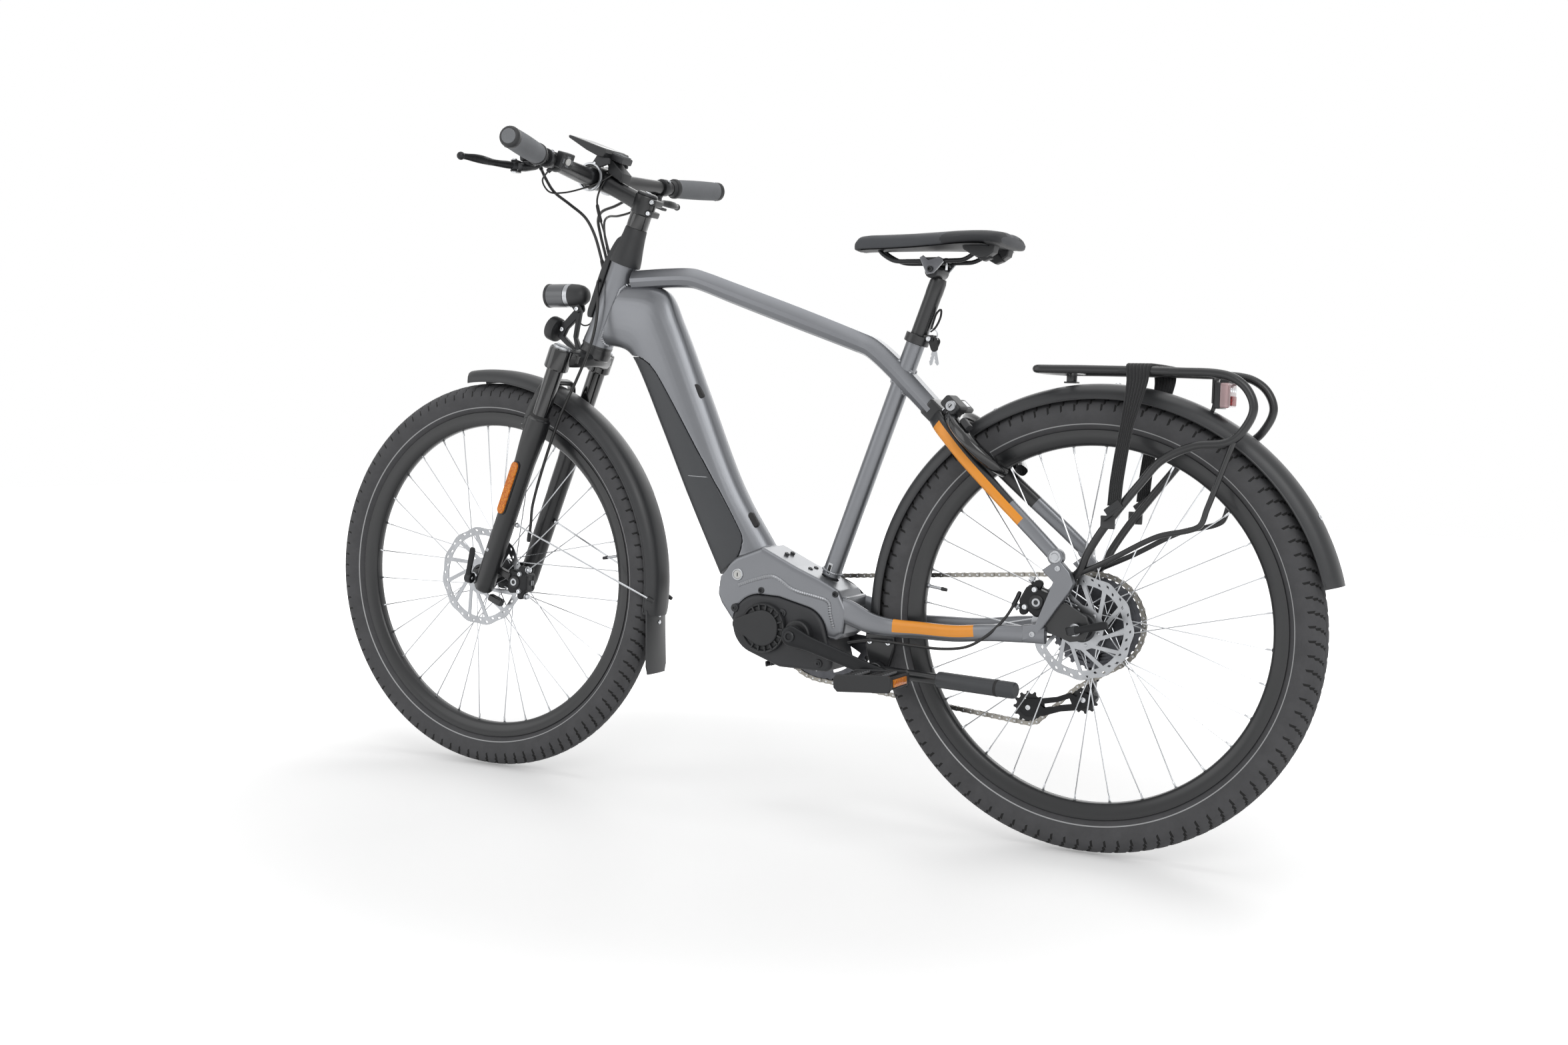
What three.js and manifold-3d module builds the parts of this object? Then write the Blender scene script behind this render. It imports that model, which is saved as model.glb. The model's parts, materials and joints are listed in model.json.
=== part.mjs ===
// Electric trekking bicycle, in millimetres: +X forward, +Y to the rider's left, +Z up.
// Everything is laid out from the point on the ground under the rear axle, and the
// finished bicycle is then moved so that its origin is the middle of its footprint.
import * as THREE from 'three';
import { mergeVertices } from 'three/addons/utils/BufferGeometryUtils.js';
import Module from 'manifold-3d';

const wasm = await Module();
wasm.setup();

// Clearances
const gap = 0.3;
const overrun = 4;

// Main layout
const tyreRadius = 352;
const wheelGap = 428.6;
const crankAhead = 123;
const crankDrop = 50;
const forkClearance = 69;
const headAngle = 69.4;
const seatAngle = 70.1;
const seatTubeAhead = 4.6;

// Tyres and rims
const tyreWidth = 56;
const tyreHeight = 60;
const rimDepth = 18;
const rimWidth = 30;
const rimFlangeHeight = 7;
const rimFlangeWall = 2.5;

// Hubs, spokes and rotors
const spokeDiameter = 2.2;
const spokeCircleRadius = 24;
const flangeRadius = 28;
const flangeThickness = 4;
const spokeLean = 1.5;
const hubBarrelRadius = 16;
const axleRadius = 6;
const hubEndRadius = 10;
const frontHubHalfWidth = 50;
const frontFlangeOffset = 27;
const rearHubHalfWidth = 67;
const rearFlangeLeftOffset = 30;
const rearFlangeRightOffset = 17;
const freehubRadius = 17;
const rotorMountRadius = 21;
const rotorThickness = 1.8;
const rotorBandWidth = 14;
const rotorArmWidth = 9;
const frontRotorRadius = 90;
const frontRotorOffset = 40;
const rearRotorRadius = 80;
const rearRotorOffset = 47;

// Drivetrain
const chainringPitchRadius = 89;
const chainringOffset = 47;
const chainringThickness = 3;
const chainringHoleRadius = 30;
const cogPitchRadius = 76;
const smallCogRadius = 24;
const cogLineOffset = 26;
const cogSpacing = 3.4;
const cogThickness = 1.8;
const cogCount = 11;
const chainHalfHeight = 3.5;
const chainHalfWidth = 3;
const crankLength = 176;
const crankAngle = 196.5;
const crankSpindleRadius = 12;
const crankArmInner = 74;
const crankArmThickness = 13;
const crankBossRadius = 17;
const crankTipRadius = 12;
const pedalLength = 98;
const pedalWidth = 78;
const pedalHeight = 26;
const pedalPinRadius = 6;
const pedalTilt = 4;

// Derailleur
const guideX = 14;
const guideClearance = 45;
const guideRadius = 22;
const cageReach = 89;
const cageDrop = 21;
const tensionRadius = 26;
const cagePlateThickness = 2;
const cagePlateSpace = 4.2;
const pulleyThickness = 3;
const pulleyPinRadius = 2.5;
const hangerX = 10;
const hangerDrop = 30;
const hangerBoltRadius = 9;
const mechArmRadius = 11;
const mechFootRadius = 13;
const mechOutboard = 66;

// Front triangle
const headTubeLength = 152;
const headTubeRadius = 24;
const headTubeCollar = 27;
const headTubeBore = 16.5;
const topTubeSetback = 205;
const topTubeRise = 20;
const topTubeHeight = 33;
const topTubeWidth = 40;
const topTubeRearWidth = 48;
const downTubeWidth = 62;
const seatTubeDiameter = 31;
const seatTubeAbove = 120;
const seatCollarRadius = 21;
const seatCollarHeight = 14;
const motorMountLeft = 46;
const motorMountRight = 40;

// Motor
const motorLength = 180;
const motorLeft = 50;
const motorRight = 38;
const motorCapRadius = 42;
const motorCapHeight = 10;
const motorBossRadius = 24;
const motorBossHeight = 13;

// Rear triangle
const stayHeight = 26;
const stayWidth = 15;
const stayEndOffset = 75;
const hookWidth = 15;
const dropoutInner = 68;
const dropoutThickness = 6;
const stayPivotRadius = 13;
const hookSpan = 100;

// Mudguards
const mudguardGap = 20;
const mudguardHalfWidth = 31.6;
const mudguardDrop = 23;
const mudguardWall = 2;
const rearMudguardStart = -13;
const rearMudguardEnd = 166;
const frontMudguardStart = 83;
const frontMudguardEnd = 188;
const rearMudguardBack = 8;
const rearMudguardDown = 4;
const frontMudguardAhead = 7;
const frontMudguardUp = 2;
const flapLength = 112;
const flapThickness = 3;
const flapOverlap = 10;
const flapInset = 4;
const mudguardStayRadius = 2.4;
const mudguardStayHeight = 125;
const mudguardStayAngle = 183;

// Rack, straps and rear light
const rackTubeRadius = 6.5;
const rackRailRadius = 5;
const rackHalfWidth = 70;
const rackClearance = 16;
const rackFrontX = 82;
const rackRearX = -245;
const rackBarRadius = 4;
const rackPostRadius = 8;
const rackPostShare = 0.56;
const strapThickness = 2.5;
const strapWidth = 44;
const strapFootWidth = 24;
const strapX = -78;
const lightDrop = 34;
const lightDepth = 24;
const lightWidth = 50;
const lightHeight = 40;
const lightPlate = 6;

// Ring lock
const lockRadius = 70;
const lockHalfBand = 9.5;
const lockHalfThickness = 9;
const lockInset = 59;
const lockAside = 79;
const lockTilt = 42.45;
const lockMouth = 34;
const shackleRadius = 4;
const shackleStart = 36;
const shackleSweep = 85;
const lockBlockLength = 34;
const lockBlockWidth = 40;
const lockBlockHeight = 22;

// Seat
const seatpostRadius = 13.6;
const seatpostInside = 154;
const seatpostAbove = 90;
const saddleLength = 266;
const saddleBehind = 126;
const saddleRise = 73;
const saddleWidth = 160;
const saddleDepth = 28;
const railRadius = 3.5;
const railSpread = 44;
const railRise = 25;
const clampLength = 44;
const clampRadius = 11;
const clampHalfWidth = 25;

// Fork, in the frame of the steering axis
const forkRake = 53.7;
const legAhead = 25;
const legSpread = 65;
const legRadius = 21;
const legFoot = 14;
const stanchionRadius = 15;
const stanchionInside = 163;
const stanchionRoom = 62;
const socketRadius = 21.5;
const socketTop = -18;
const socketBottom = -56;
const crownHalfHeight = 14;
const crownHalfDepth = 20;
const steererRadius = 14.3;
const archAhead = 52;
const archHalf = 5;
const archClearance = 9;
const archHeight = 80.5;
const archOverLeg = 59;
const dropoutPlate = 6;

// Cockpit, in the frame of the steering axis
const stemReach = 106;
const stemRise = 273;
const stemClampBottom = 244;
const stemClampTop = 278;
const stemClampRadius = 20;
const stemBodyHalf = 16;
const barClampRadius = 21;
const barClampWidth = 48;
const barCentreRadius = 15.9;
const barEndRadius = 11;
const barHalfWidth = 331;
const barSweep = 42;
const barRise = 36;
const gripRadius = 17;
const gripLength = 134;
const gripEnd = 3;
const coverLength = 66;
const coverTopRadius = 19;
const coverPanelDepth = 11;
const coverPanelWidth = 30;
const displayLength = 104;
const displayWidth = 76;
const displayThickness = 13;
const displayX = 118;
const displayZ = 320;
const perchInset = 147;
const perchWidth = 14;
const perchRadius = 16;
const perchBodyRadius = 8;
const leverForkLength = 15;
const leverPivotX = 119;
const leverPivotOut = 40;
const leverPivotZ = 259;
const leverLength = 112;
const leverHalfHeight = 6;
const leverHalfDepth = 4;
const shifterRadius = 14;
const shifterThickness = 16;
const triggerLength = 34;
const remoteInset = 32;
const remoteWidth = 30;
const remoteHeight = 22;
const remoteDepth = 14;
const buttonRadius = 6;
const buttonHeight = 3;
const buttonTravel = 1;

// Lights and horn, in the frame of the steering axis
const lampX = 91;
const lampZ = 61;
const lampRadius = 21;
const lampLength = 84;
const lampHingeX = 60;
const lampHingeZ = 47;
const lampHingeRadius = 6;
const lampPinRadius = 2.5;
const lampForkWidth = 18;
const bracketWidth = 10;
const hornX = 96;
const hornZ = -4;
const hornRadius = 22;
const hornThickness = 20;

// Kickstand
const standSetback = 141;
const standDrop = 46;
const standOffset = 54;
const standKnuckleHalf = 9;
const standFlare = 28;
const standLength = 246;
const standSleeveLength = 134;
const standRadius = 9;
const standSleeveRadius = 13;
const standAngle = 181;
const standBracketLength = 52;

// Quick releases and hoses
const releaseLength = 56;
const releaseThickness = 7;
const releaseHubRadius = 10;
const camHalf = 6.4;
const hoseRadius = 2.6;
const hoseSpan = 100;

// Facets
const wheelSegments = 32;
const roundSegments = 12;
const smallSegments = 8;
const pipeSides = 6;

const radians = (degrees) => THREE.MathUtils.degToRad(degrees);

// Wheels, axles and cranks
const beadSeatRadius = tyreRadius - tyreHeight;
const rimInnerRadius = beadSeatRadius - rimDepth;
const mudguardRadius = tyreRadius + mudguardGap;
const wheelbase = 2 * tyreRadius + wheelGap;
const crankRun = tyreRadius + crankAhead;
const crankHeight = tyreRadius - crankDrop;

// Steering axis: the fork brings the front axle to the rear one's height
const headSine = Math.sin(radians(headAngle));
const headCosine = Math.cos(radians(headAngle));
const headBottomZ = 2 * tyreRadius + forkClearance;
const forkDrop = (headBottomZ - tyreRadius + forkRake * headCosine) / headSine;
const headBottomX = wheelbase - forkRake * headSine - forkDrop * headCosine;

// Frame corners, on the head tube and round the cranks
const topTubeJoinShare = [-0.441, 0.75];
const downTubeJoinShare = [-0.257, 0.4145];
const onHead = ([x, z]) => [headBottomX + x * headTubeLength, headBottomZ + z * headTubeLength];
const onMotor = ([x, z]) => [crankRun + x * motorLength, crankHeight + z * motorLength];
const [topTubeFrontX, topTubeFrontZ] = onHead(topTubeJoinShare);
const [downTubeHeadX, downTubeHeadZ] = onHead(downTubeJoinShare);
const [downTubeFootX, downTubeFootZ] = onMotor([0.694, 0.611]);
const [motorCapX, motorCapZ] = onMotor([0.433, 0.05]);
const topTubeRearX = crankRun - topTubeSetback;
const topTubeRearZ = crankHeight + tyreRadius + topTubeRise;
const seatTubeFootZ = crankHeight + motorLength * 0.533;
const seatTubeTopZ = topTubeRearZ + seatTubeAbove;
const standPivotX = crankRun - standSetback;
const standPivotZ = crankHeight - standDrop;

// Rear end, round the axle
const onHook = ([x, z]) => [x * hookSpan, tyreRadius + z * hookSpan];
const stayPivotShares = [0.35, 1.07];
const [stayPivotX, stayPivotZ] = onHook(stayPivotShares);
const guideZ = tyreRadius - cogPitchRadius - guideClearance;
const tensionX = guideX + cageReach;
const tensionZ = guideZ - cageDrop;
const hangerZ = tyreRadius - hangerDrop;
const rackDeckZ = tyreRadius + mudguardRadius + rackClearance;
const rackPostFootZ = tyreRadius + mudguardRadius - rearMudguardDown + gap;
const lightX = rackRearX * 0.771;
const lightZ = rackDeckZ - lightDrop;
const lockAlong = mudguardRadius - lockInset;

// Seat
const seatpostFootZ = seatTubeTopZ - seatpostInside;
const seatpostTopZ = seatTubeTopZ + seatpostAbove;
const railZ = seatpostTopZ + railRise;
const saddleTopZ = seatpostTopZ + saddleRise;

// Fork, in the frame of the steering axis
const archTop = mudguardRadius + archClearance - forkDrop;
const legTop = archTop - archOverLeg;
const legBottom = -forkDrop - legFoot;
const stanchionBottom = legTop - stanchionInside;
const legBoreBottom = stanchionBottom - stanchionRoom;

// Cockpit
const perchOffset = barHalfWidth - perchInset;
const remoteOffset = perchOffset - remoteInset;
const leverPivotY = perchOffset + leverPivotOut;

// The chain is drawn in straight steps, so what it runs over stays inside its chords.
const arcStep = radians(12);
const underChain = (pitchRadius) => pitchRadius * Math.cos(arcStep / 2) - chainHalfHeight - gap;
const vec = (x, y, z) => new THREE.Vector3(x, y, z);
const axisY = vec(0, 1, 0);
const axisZ = vec(0, 0, 1);
const axisX = vec(1, 0, 0);

// Finishes: colour, roughness, metalness
const finishes = {
  frame: ['#6d6f73', 0.38, 0.75],
  black: ['#1c1d1f', 0.5, 0.2],
  blackPlastic: ['#232426', 0.6, 0],
  battery: ['#3b3d40', 0.5, 0.1],
  rubber: ['#262729', 0.9, 0],
  steel: ['#b9bbbe', 0.3, 0.9],
  chain: ['#a5a19a', 0.4, 0.9],
  grip: ['#5c5e61', 0.85, 0],
  saddle: ['#3f4144', 0.7, 0],
  lens: ['#d9c9cb', 0.2, 0],
  webbing: ['#303235', 0.9, 0],
};

// A closed body needs shared corners and faces that point out.
function closed(geometry) {
  const bare = geometry.clone();
  for (const name of Object.keys(bare.attributes)) {
    if (name !== 'position') bare.deleteAttribute(name);
  }
  const merged = mergeVertices(bare, gap / 1000);
  const kept = [];
  const index = merged.index.array;
  for (let i = 0; i < index.length; i += 3) {
    const [a, b, c] = index.slice(i, i + 3);
    if (a !== b && b !== c && c !== a) kept.push(a, b, c);
  }
  if (signedVolume(merged.attributes.position, kept) < 0) kept.reverse();
  merged.setIndex(kept);
  return merged;
}

function signedVolume(position, index) {
  const [a, b, c] = [vec(0, 0, 0), vec(0, 0, 0), vec(0, 0, 0)];
  let sum = 0;
  for (let i = 0; i < index.length; i += 3) {
    a.fromBufferAttribute(position, index[i]);
    b.fromBufferAttribute(position, index[i + 1]);
    c.fromBufferAttribute(position, index[i + 2]);
    sum += a.dot(b.cross(c));
  }
  return sum;
}

function toSolid(geometry) {
  const body = closed(geometry);
  return new wasm.Manifold(new wasm.Mesh({
    numProp: 3,
    vertProperties: new Float32Array(body.attributes.position.array),
    triVerts: new Uint32Array(body.index.array),
  }));
}

function fromSolid(solid) {
  const mesh = solid.getMesh();
  const geometry = new THREE.BufferGeometry();
  geometry.setAttribute('position', new THREE.BufferAttribute(mesh.vertProperties, 3));
  geometry.setIndex(new THREE.BufferAttribute(mesh.triVerts, 1));
  return geometry;
}

const join = (...parts) => fromSolid(parts.map(toSolid).reduce((sum, part) => sum.add(part)));

const cut = (base, ...tools) => fromSolid(tools.reduce((left, tool) => left.subtract(toSolid(tool)),
  toSolid(base)));

const common = (first, second) => fromSolid(toSolid(first).intersect(toSolid(second)));

// Turns a shape made along +Y so that it runs from one point towards another.
function aimed(geometry, from, to) {
  const direction = to.clone().sub(from).normalize();
  geometry.applyQuaternion(new THREE.Quaternion().setFromUnitVectors(axisY, direction));
  return geometry.translate(from.x, from.y, from.z);
}

function taper(from, to, startRadius, endRadius, sides = roundSegments) {
  const length = from.distanceTo(to);
  const geometry = new THREE.CylinderGeometry(endRadius, startRadius, length, sides);
  return aimed(geometry.translate(0, length / 2, 0), from, to);
}

const rod = (from, to, radius, sides = roundSegments) => taper(from, to, radius, radius, sides);

const pin = (x, z, yLow, yHigh, radius, sides = roundSegments) => rod(vec(x, yLow, z), vec(x, yHigh, z),
  radius, sides);

const block = (width, depth, height, x, y, z) => new THREE.BoxGeometry(width, depth, height).translate(x, y,
  z);

// A turned ring or body about the Y axis, from [radius, y] pairs that go once round its section.
function turned(profile, segments = wheelSegments) {
  const points = profile.map(([radius, y]) => new THREE.Vector2(radius, y));
  return new THREE.LatheGeometry([...points, points[0].clone()], segments);
}

// A plate in the XZ plane between two Y places, with any holes.
function plate(outline, yLow, yHigh, holes = []) {
  const shape = new THREE.Shape(outline.map(([x, z]) => new THREE.Vector2(x, z)));
  for (const hole of holes) {
    shape.holes.push(new THREE.Path(hole.map(([x, z]) => new THREE.Vector2(x, z))));
  }
  const geometry = new THREE.ExtrudeGeometry(shape, { depth: yHigh - yLow, bevelEnabled: false });
  return geometry.rotateX(Math.PI / 2).translate(0, yHigh, 0);
}

function circle(x, z, radius, sides) {
  const turn = (2 * Math.PI) / sides;
  return Array.from({ length: sides }, (_, i) => [x + radius * Math.cos(i * turn),
    z + radius * Math.sin(i * turn)]);
}

// The convex outline round a set of [x, z, radius] circles.
function wrapped(circles, sides = roundSegments) {
  const points = circles.flatMap(([x, z, radius]) => circle(x, z, radius, sides));
  points.sort((a, b) => a[0] - b[0] || a[1] - b[1]);
  const turnOf = (o, a, b) => (a[0] - o[0]) * (b[1] - o[1]) - (a[1] - o[1]) * (b[0] - o[0]);
  const half = (list) => {
    const chain = [];
    for (const point of list) {
      while (chain.length > 1 && turnOf(chain.at(-2), chain.at(-1), point) <= 0) chain.pop();
      chain.push(point);
    }
    return chain.slice(0, -1);
  };
  return [...half(points), ...half(points.reverse())];
}

// A skin over a row of rings, each the same [normal, across] outline moved and scaled.
function skin(rings, outline) {
  const sides = outline.length;
  const last = (rings.length - 1) * sides;
  const index = [];
  for (let ring = 0; ring < rings.length - 1; ring += 1) {
    for (let side = 0; side < sides; side += 1) {
      const next = (side + 1) % sides;
      const a = ring * sides;
      index.push(a + side, a + next, a + sides + next, a + side, a + sides + next, a + sides + side);
    }
  }
  const flat = outline.map(([n, b]) => new THREE.Vector2(n, b));
  for (const [a, b, c] of THREE.ShapeUtils.triangulateShape(flat, [])) {
    const corners = THREE.ShapeUtils.isClockWise(flat) ? [a, c, b] : [a, b, c];
    const [p, q, r] = corners;
    index.push(p, r, q, last + p, last + q, last + r);
  }
  const geometry = new THREE.BufferGeometry();
  const numbers = rings.flat().flatMap((point) => [point.x, point.y, point.z]);
  geometry.setAttribute('position', new THREE.Float32BufferAttribute(numbers, 3));
  geometry.setIndex(index);
  return geometry;
}

// Sweeps a section along a path. The section's first value is measured in the plane that
// the path bends in and its second along the across direction.
function swept(path, sectionAt, across = axisY) {
  const rings = path.map((point, i) => {
    const before = path[Math.max(i - 1, 0)];
    const after = path[Math.min(i + 1, path.length - 1)];
    const forward = after.clone().sub(before);
    forward.addScaledVector(across, -forward.dot(across)).normalize();
    const normal = forward.cross(across);
    return sectionAt(i).map(([n, b]) => point.clone().addScaledVector(normal, n).addScaledVector(across, b));
  });
  return skin(rings, sectionAt(0));
}

const roundShares = (sides) => circle(0, 0, 1, sides);
const boxShares = [[1, 0.55], [0.55, 1], [-0.55, 1], [-1, 0.55], [-1, -0.55], [-0.55, -1], [0.55, -1],
  [1, -0.55]];
const ridgeShares = [[1, 0.5], [0.1, 1], [-0.25, 1], [-1, 0.5], [-1, -0.5], [-0.25, -1], [0.1, -1],
  [1, -0.5]];
const sectionOf = (shares, halfHeight, halfWidth) => shares.map(([n, b]) => [n * halfHeight, b * halfWidth]);

// A round pipe of one size along a smooth curve through points.
function pipe(points, radius, sides, steps) {
  const curve = new THREE.CatmullRomCurve3(points, false, 'centripetal');
  const shape = new THREE.Shape(circle(0, 0, radius, sides).map(([x, y]) => new THREE.Vector2(x, y)));
  return new THREE.ExtrudeGeometry(shape, { steps, bevelEnabled: false, extrudePath: curve });
}

// Places given as shares along and above the line between two points.
function placed(startX, startZ, endX, endZ, [along, above]) {
  const [runX, runZ] = [endX - startX, endZ - startZ];
  return [startX + along * runX - above * runZ, startZ + along * runZ + above * runX];
}

const mirrored = (geometry) => closed(geometry.clone().scale(1, -1, 1));

function piece(name, geometry, finish) {
  const [color, roughness, metalness] = finishes[finish];
  const body = closed(geometry);
  body.computeVertexNormals();
  const mesh = new THREE.Mesh(body, new THREE.MeshStandardMaterial({ color, roughness, metalness }));
  mesh.name = name;
  return mesh;
}

const bicycle = new THREE.Group();
const frame = new THREE.Group();
const steering = new THREE.Group();
const rearWheel = new THREE.Group();
const frontWheel = new THREE.Group();
const lock = new THREE.Group();

// Steering axis: the group's Z runs up the head tube and its X points ahead of it.
const steerTurn = -radians(90 - headAngle);
steering.position.set(headBottomX, 0, headBottomZ);
steering.rotation.y = steerTurn;
const headFrame = new THREE.Group();
headFrame.position.copy(steering.position);
headFrame.rotation.y = steerTurn;

// Wheels

const tyreOuterShares = [[0.03, 0.43], [0.125, 0.43], [0.36, 0.95], [0.72, 0.95], [1, 0.36]];
const tyreInnerShares = [[0.86, 0.32], [0.03, 0.28]];

function tyreShape() {
  const place = (side) => ([height, width]) => [beadSeatRadius + height * tyreHeight,
    side * width * tyreWidth / 2];
  const left = [...tyreOuterShares, ...[...tyreOuterShares].reverse()];
  const outer = left.map((share, i) => place(i < tyreOuterShares.length ? 1 : -1)(share));
  const inner = [...tyreInnerShares].reverse().map(place(-1));
  return turned([...outer, ...inner, ...tyreInnerShares.map(place(1))]);
}

function rimShape() {
  const half = rimWidth / 2;
  const seat = beadSeatRadius - gap;
  const top = beadSeatRadius + rimFlangeHeight;
  const inside = half - rimFlangeWall;
  const section = [[rimInnerRadius, half / 2], [top, half], [top, inside], [seat, inside]];
  return turned([...section, ...section.map(([radius, y]) => [radius, -y]).reverse()]);
}

const spokesPerFlange = 16;
const spokeReach = rimInnerRadius * Math.cos(Math.PI / wheelSegments) - gap;

function spokes(flangeOffset, side, phase) {
  const step = 360 / spokesPerFlange;
  const crossing = 3 * step;
  return Array.from({ length: spokesPerFlange }, (_, i) => {
    const rimAngle = radians(phase + step * i);
    const hubAngle = rimAngle + radians(i % 2 ? crossing : -crossing);
    const headOffset = side * (flangeOffset + (i % 2 ? -spokeLean : spokeLean));
    const hubEnd = vec(spokeCircleRadius * Math.cos(hubAngle), headOffset,
      spokeCircleRadius * Math.sin(hubAngle));
    const rimEnd = vec(spokeReach * Math.cos(rimAngle), side * rimWidth / 8, spokeReach * Math.sin(rimAngle));
    return rod(hubEnd, rimEnd, spokeDiameter / 2, 3);
  });
}

const flange = (offset) => [
  [hubBarrelRadius, offset - flangeThickness],
  [flangeRadius, offset - flangeThickness / 2],
  [flangeRadius, offset + flangeThickness / 2],
  [hubBarrelRadius, offset + flangeThickness],
];

const hubBore = axleRadius + gap;

function frontHub(phase) {
  const profile = [
    [hubBore, -frontHubHalfWidth], [hubEndRadius, -frontHubHalfWidth], ...flange(-frontFlangeOffset),
    ...flange(frontFlangeOffset), [rotorMountRadius, frontRotorOffset - rotorThickness * 2],
    [rotorMountRadius, frontRotorOffset + rotorThickness * 2], [hubEndRadius, frontHubHalfWidth], [hubBore,
      frontHubHalfWidth],
  ];
  const half = 360 / spokesPerFlange / 2;
  return join(
    turned(profile, roundSegments),
    rotorShape(frontRotorRadius, frontRotorOffset),
    ...spokes(frontFlangeOffset, 1, phase),
    ...spokes(frontFlangeOffset, -1, phase + half),
  );
}

const cassetteEnd = cogLineOffset + cogSpacing * cogCount;

function rearHub(phase) {
  const profile = [
    [hubBore, -rearHubHalfWidth], [hubEndRadius, -rearHubHalfWidth], [hubEndRadius, -cassetteEnd],
    [freehubRadius, -cassetteEnd], [freehubRadius, -rearFlangeRightOffset - flangeThickness],
    ...flange(-rearFlangeRightOffset), ...flange(rearFlangeLeftOffset),
    [rotorMountRadius, rearRotorOffset - rotorThickness * 2],
    [rotorMountRadius, rearRotorOffset + rotorThickness * 2], [hubEndRadius,
      rearRotorOffset + rotorThickness * 4],
    [hubEndRadius, rearHubHalfWidth], [hubBore, rearHubHalfWidth],
  ];
  const half = 360 / spokesPerFlange / 2;
  return join(
    turned(profile, roundSegments),
    rotorShape(rearRotorRadius, rearRotorOffset),
    ...spokes(rearFlangeLeftOffset, 1, phase),
    ...spokes(rearFlangeRightOffset, -1, phase + half),
  );
}

const rotorArms = 6;

// A brake rotor: a band carried by arms that reach inside its hub.
function rotorShape(radius, offset) {
  const bandInner = radius - rotorBandWidth;
  const hubOuter = rotorMountRadius + rotorArmWidth;
  const window = (arm) => {
    const [start, end] = [arm, arm + 1].map((count) => (count * 2 * Math.PI) / rotorArms);
    const at = (r, share) => {
      const trim = rotorArmWidth / 2 / r;
      const angle = start + trim + share * (end - start - 2 * trim);
      return [r * Math.cos(angle), r * Math.sin(angle)];
    };
    return [...[0, 0.5, 1].map((share) => at(hubOuter, share)),
      ...[1, 0.67, 0.33, 0].map((share) => at(bandInner, share))];
  };
  const windows = Array.from({ length: rotorArms }, (_, arm) => window(arm));
  const bore = circle(0, 0, rotorMountRadius * 0.8, roundSegments);
  const outline = circle(0, 0, radius, wheelSegments - 4);
  return plate(outline, offset - rotorThickness / 2, offset + rotorThickness / 2, [...windows, bore]);
}

function cassetteShape() {
  const rise = (underChain(cogPitchRadius) - smallCogRadius) / (cogCount - 1);
  const steps = Array.from({ length: cogCount }, (_, i) => {
    const radius = underChain(cogPitchRadius) - rise * i;
    const y = -cogLineOffset - cogSpacing * i;
    return [[radius, y + cogThickness / 2], [radius, y - cogThickness / 2]];
  }).flat();
  const bore = (freehubRadius + gap) / Math.cos(Math.PI / roundSegments);
  const front = -cogLineOffset + cogThickness / 2;
  const end = -cassetteEnd + gap;
  return turned([[bore, end], [bore, front], ...steps, [smallCogRadius - chainHalfHeight, end]],
    roundSegments + 4);
}

const rearSpokePhase = 3;
const frontSpokePhase = 8;
rearWheel.position.set(0, 0, tyreRadius);
rearWheel.add(
  piece('rear_tyre', tyreShape(), 'rubber'),
  piece('rear_rim', rimShape(), 'black'),
  piece('rear_hub_spokes', rearHub(rearSpokePhase), 'steel'),
  piece('cassette', cassetteShape(), 'chain'),
);
frontWheel.position.set(forkRake, 0, -forkDrop);
frontWheel.add(
  piece('front_tyre', tyreShape(), 'rubber'),
  piece('front_rim', rimShape(), 'black'),
  piece('front_hub_spokes', frontHub(frontSpokePhase), 'steel'),
);

// Chain: the closed run round the chainring, the cassette and the two pulleys

const chainWheels = [
  { x: crankRun, z: crankHeight, radius: chainringPitchRadius, turn: 1, y: -chainringOffset },
  { x: 0, z: tyreRadius, radius: cogPitchRadius, turn: 1, y: -cogLineOffset },
  { x: guideX, z: guideZ, radius: guideRadius, turn: -1, y: -cogLineOffset },
  { x: tensionX, z: tensionZ, radius: tensionRadius, turn: 1, y: -cogLineOffset },
];

// Heading of the straight run that leaves one wheel and meets the next.
function heading(from, to) {
  const [runX, runZ] = [to.x - from.x, to.z - from.z];
  const offset = to.turn * to.radius - from.turn * from.radius;
  return Math.atan2(runZ, runX) - Math.asin(offset / Math.hypot(runX, runZ));
}

function onWheel(wheel, angle) {
  const reach = wheel.turn * wheel.radius;
  return vec(wheel.x + reach * Math.sin(angle), wheel.y, wheel.z - reach * Math.cos(angle));
}

function wrap(wheel, arriving, leaving) {
  const full = 2 * Math.PI;
  const sweep = ((wheel.turn * (leaving - arriving)) % full + full) % full;
  const count = Math.ceil(sweep / arcStep);
  return Array.from({ length: count + 1 }, (_, i) => onWheel(wheel,
    arriving + (wheel.turn * sweep * i) / count));
}

const [ringWheel, cogWheel, guideWheel, tensionWheel] = chainWheels;
const lowerHeading = heading(tensionWheel, ringWheel);
const upperHeading = heading(ringWheel, cogWheel);
const dropHeading = heading(cogWheel, guideWheel);
const cageHeading = heading(guideWheel, tensionWheel);
const chainSection = sectionOf([[1, 1], [-1, 1], [-1, -1], [1, -1]], chainHalfHeight, chainHalfWidth);

const along = (from, to, distance) => from.clone().lerp(to, distance / from.distanceTo(to));

function chainUpper() {
  const ring = wrap(ringWheel, lowerHeading, upperHeading);
  const cogs = wrap(cogWheel, upperHeading, dropHeading);
  const start = along(ring[0], onWheel(tensionWheel, lowerHeading), overrun);
  const end = along(onWheel(guideWheel, dropHeading), cogs.at(-1), overrun + gap);
  return swept([start, ...ring, ...cogs, end], () => chainSection);
}

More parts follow.
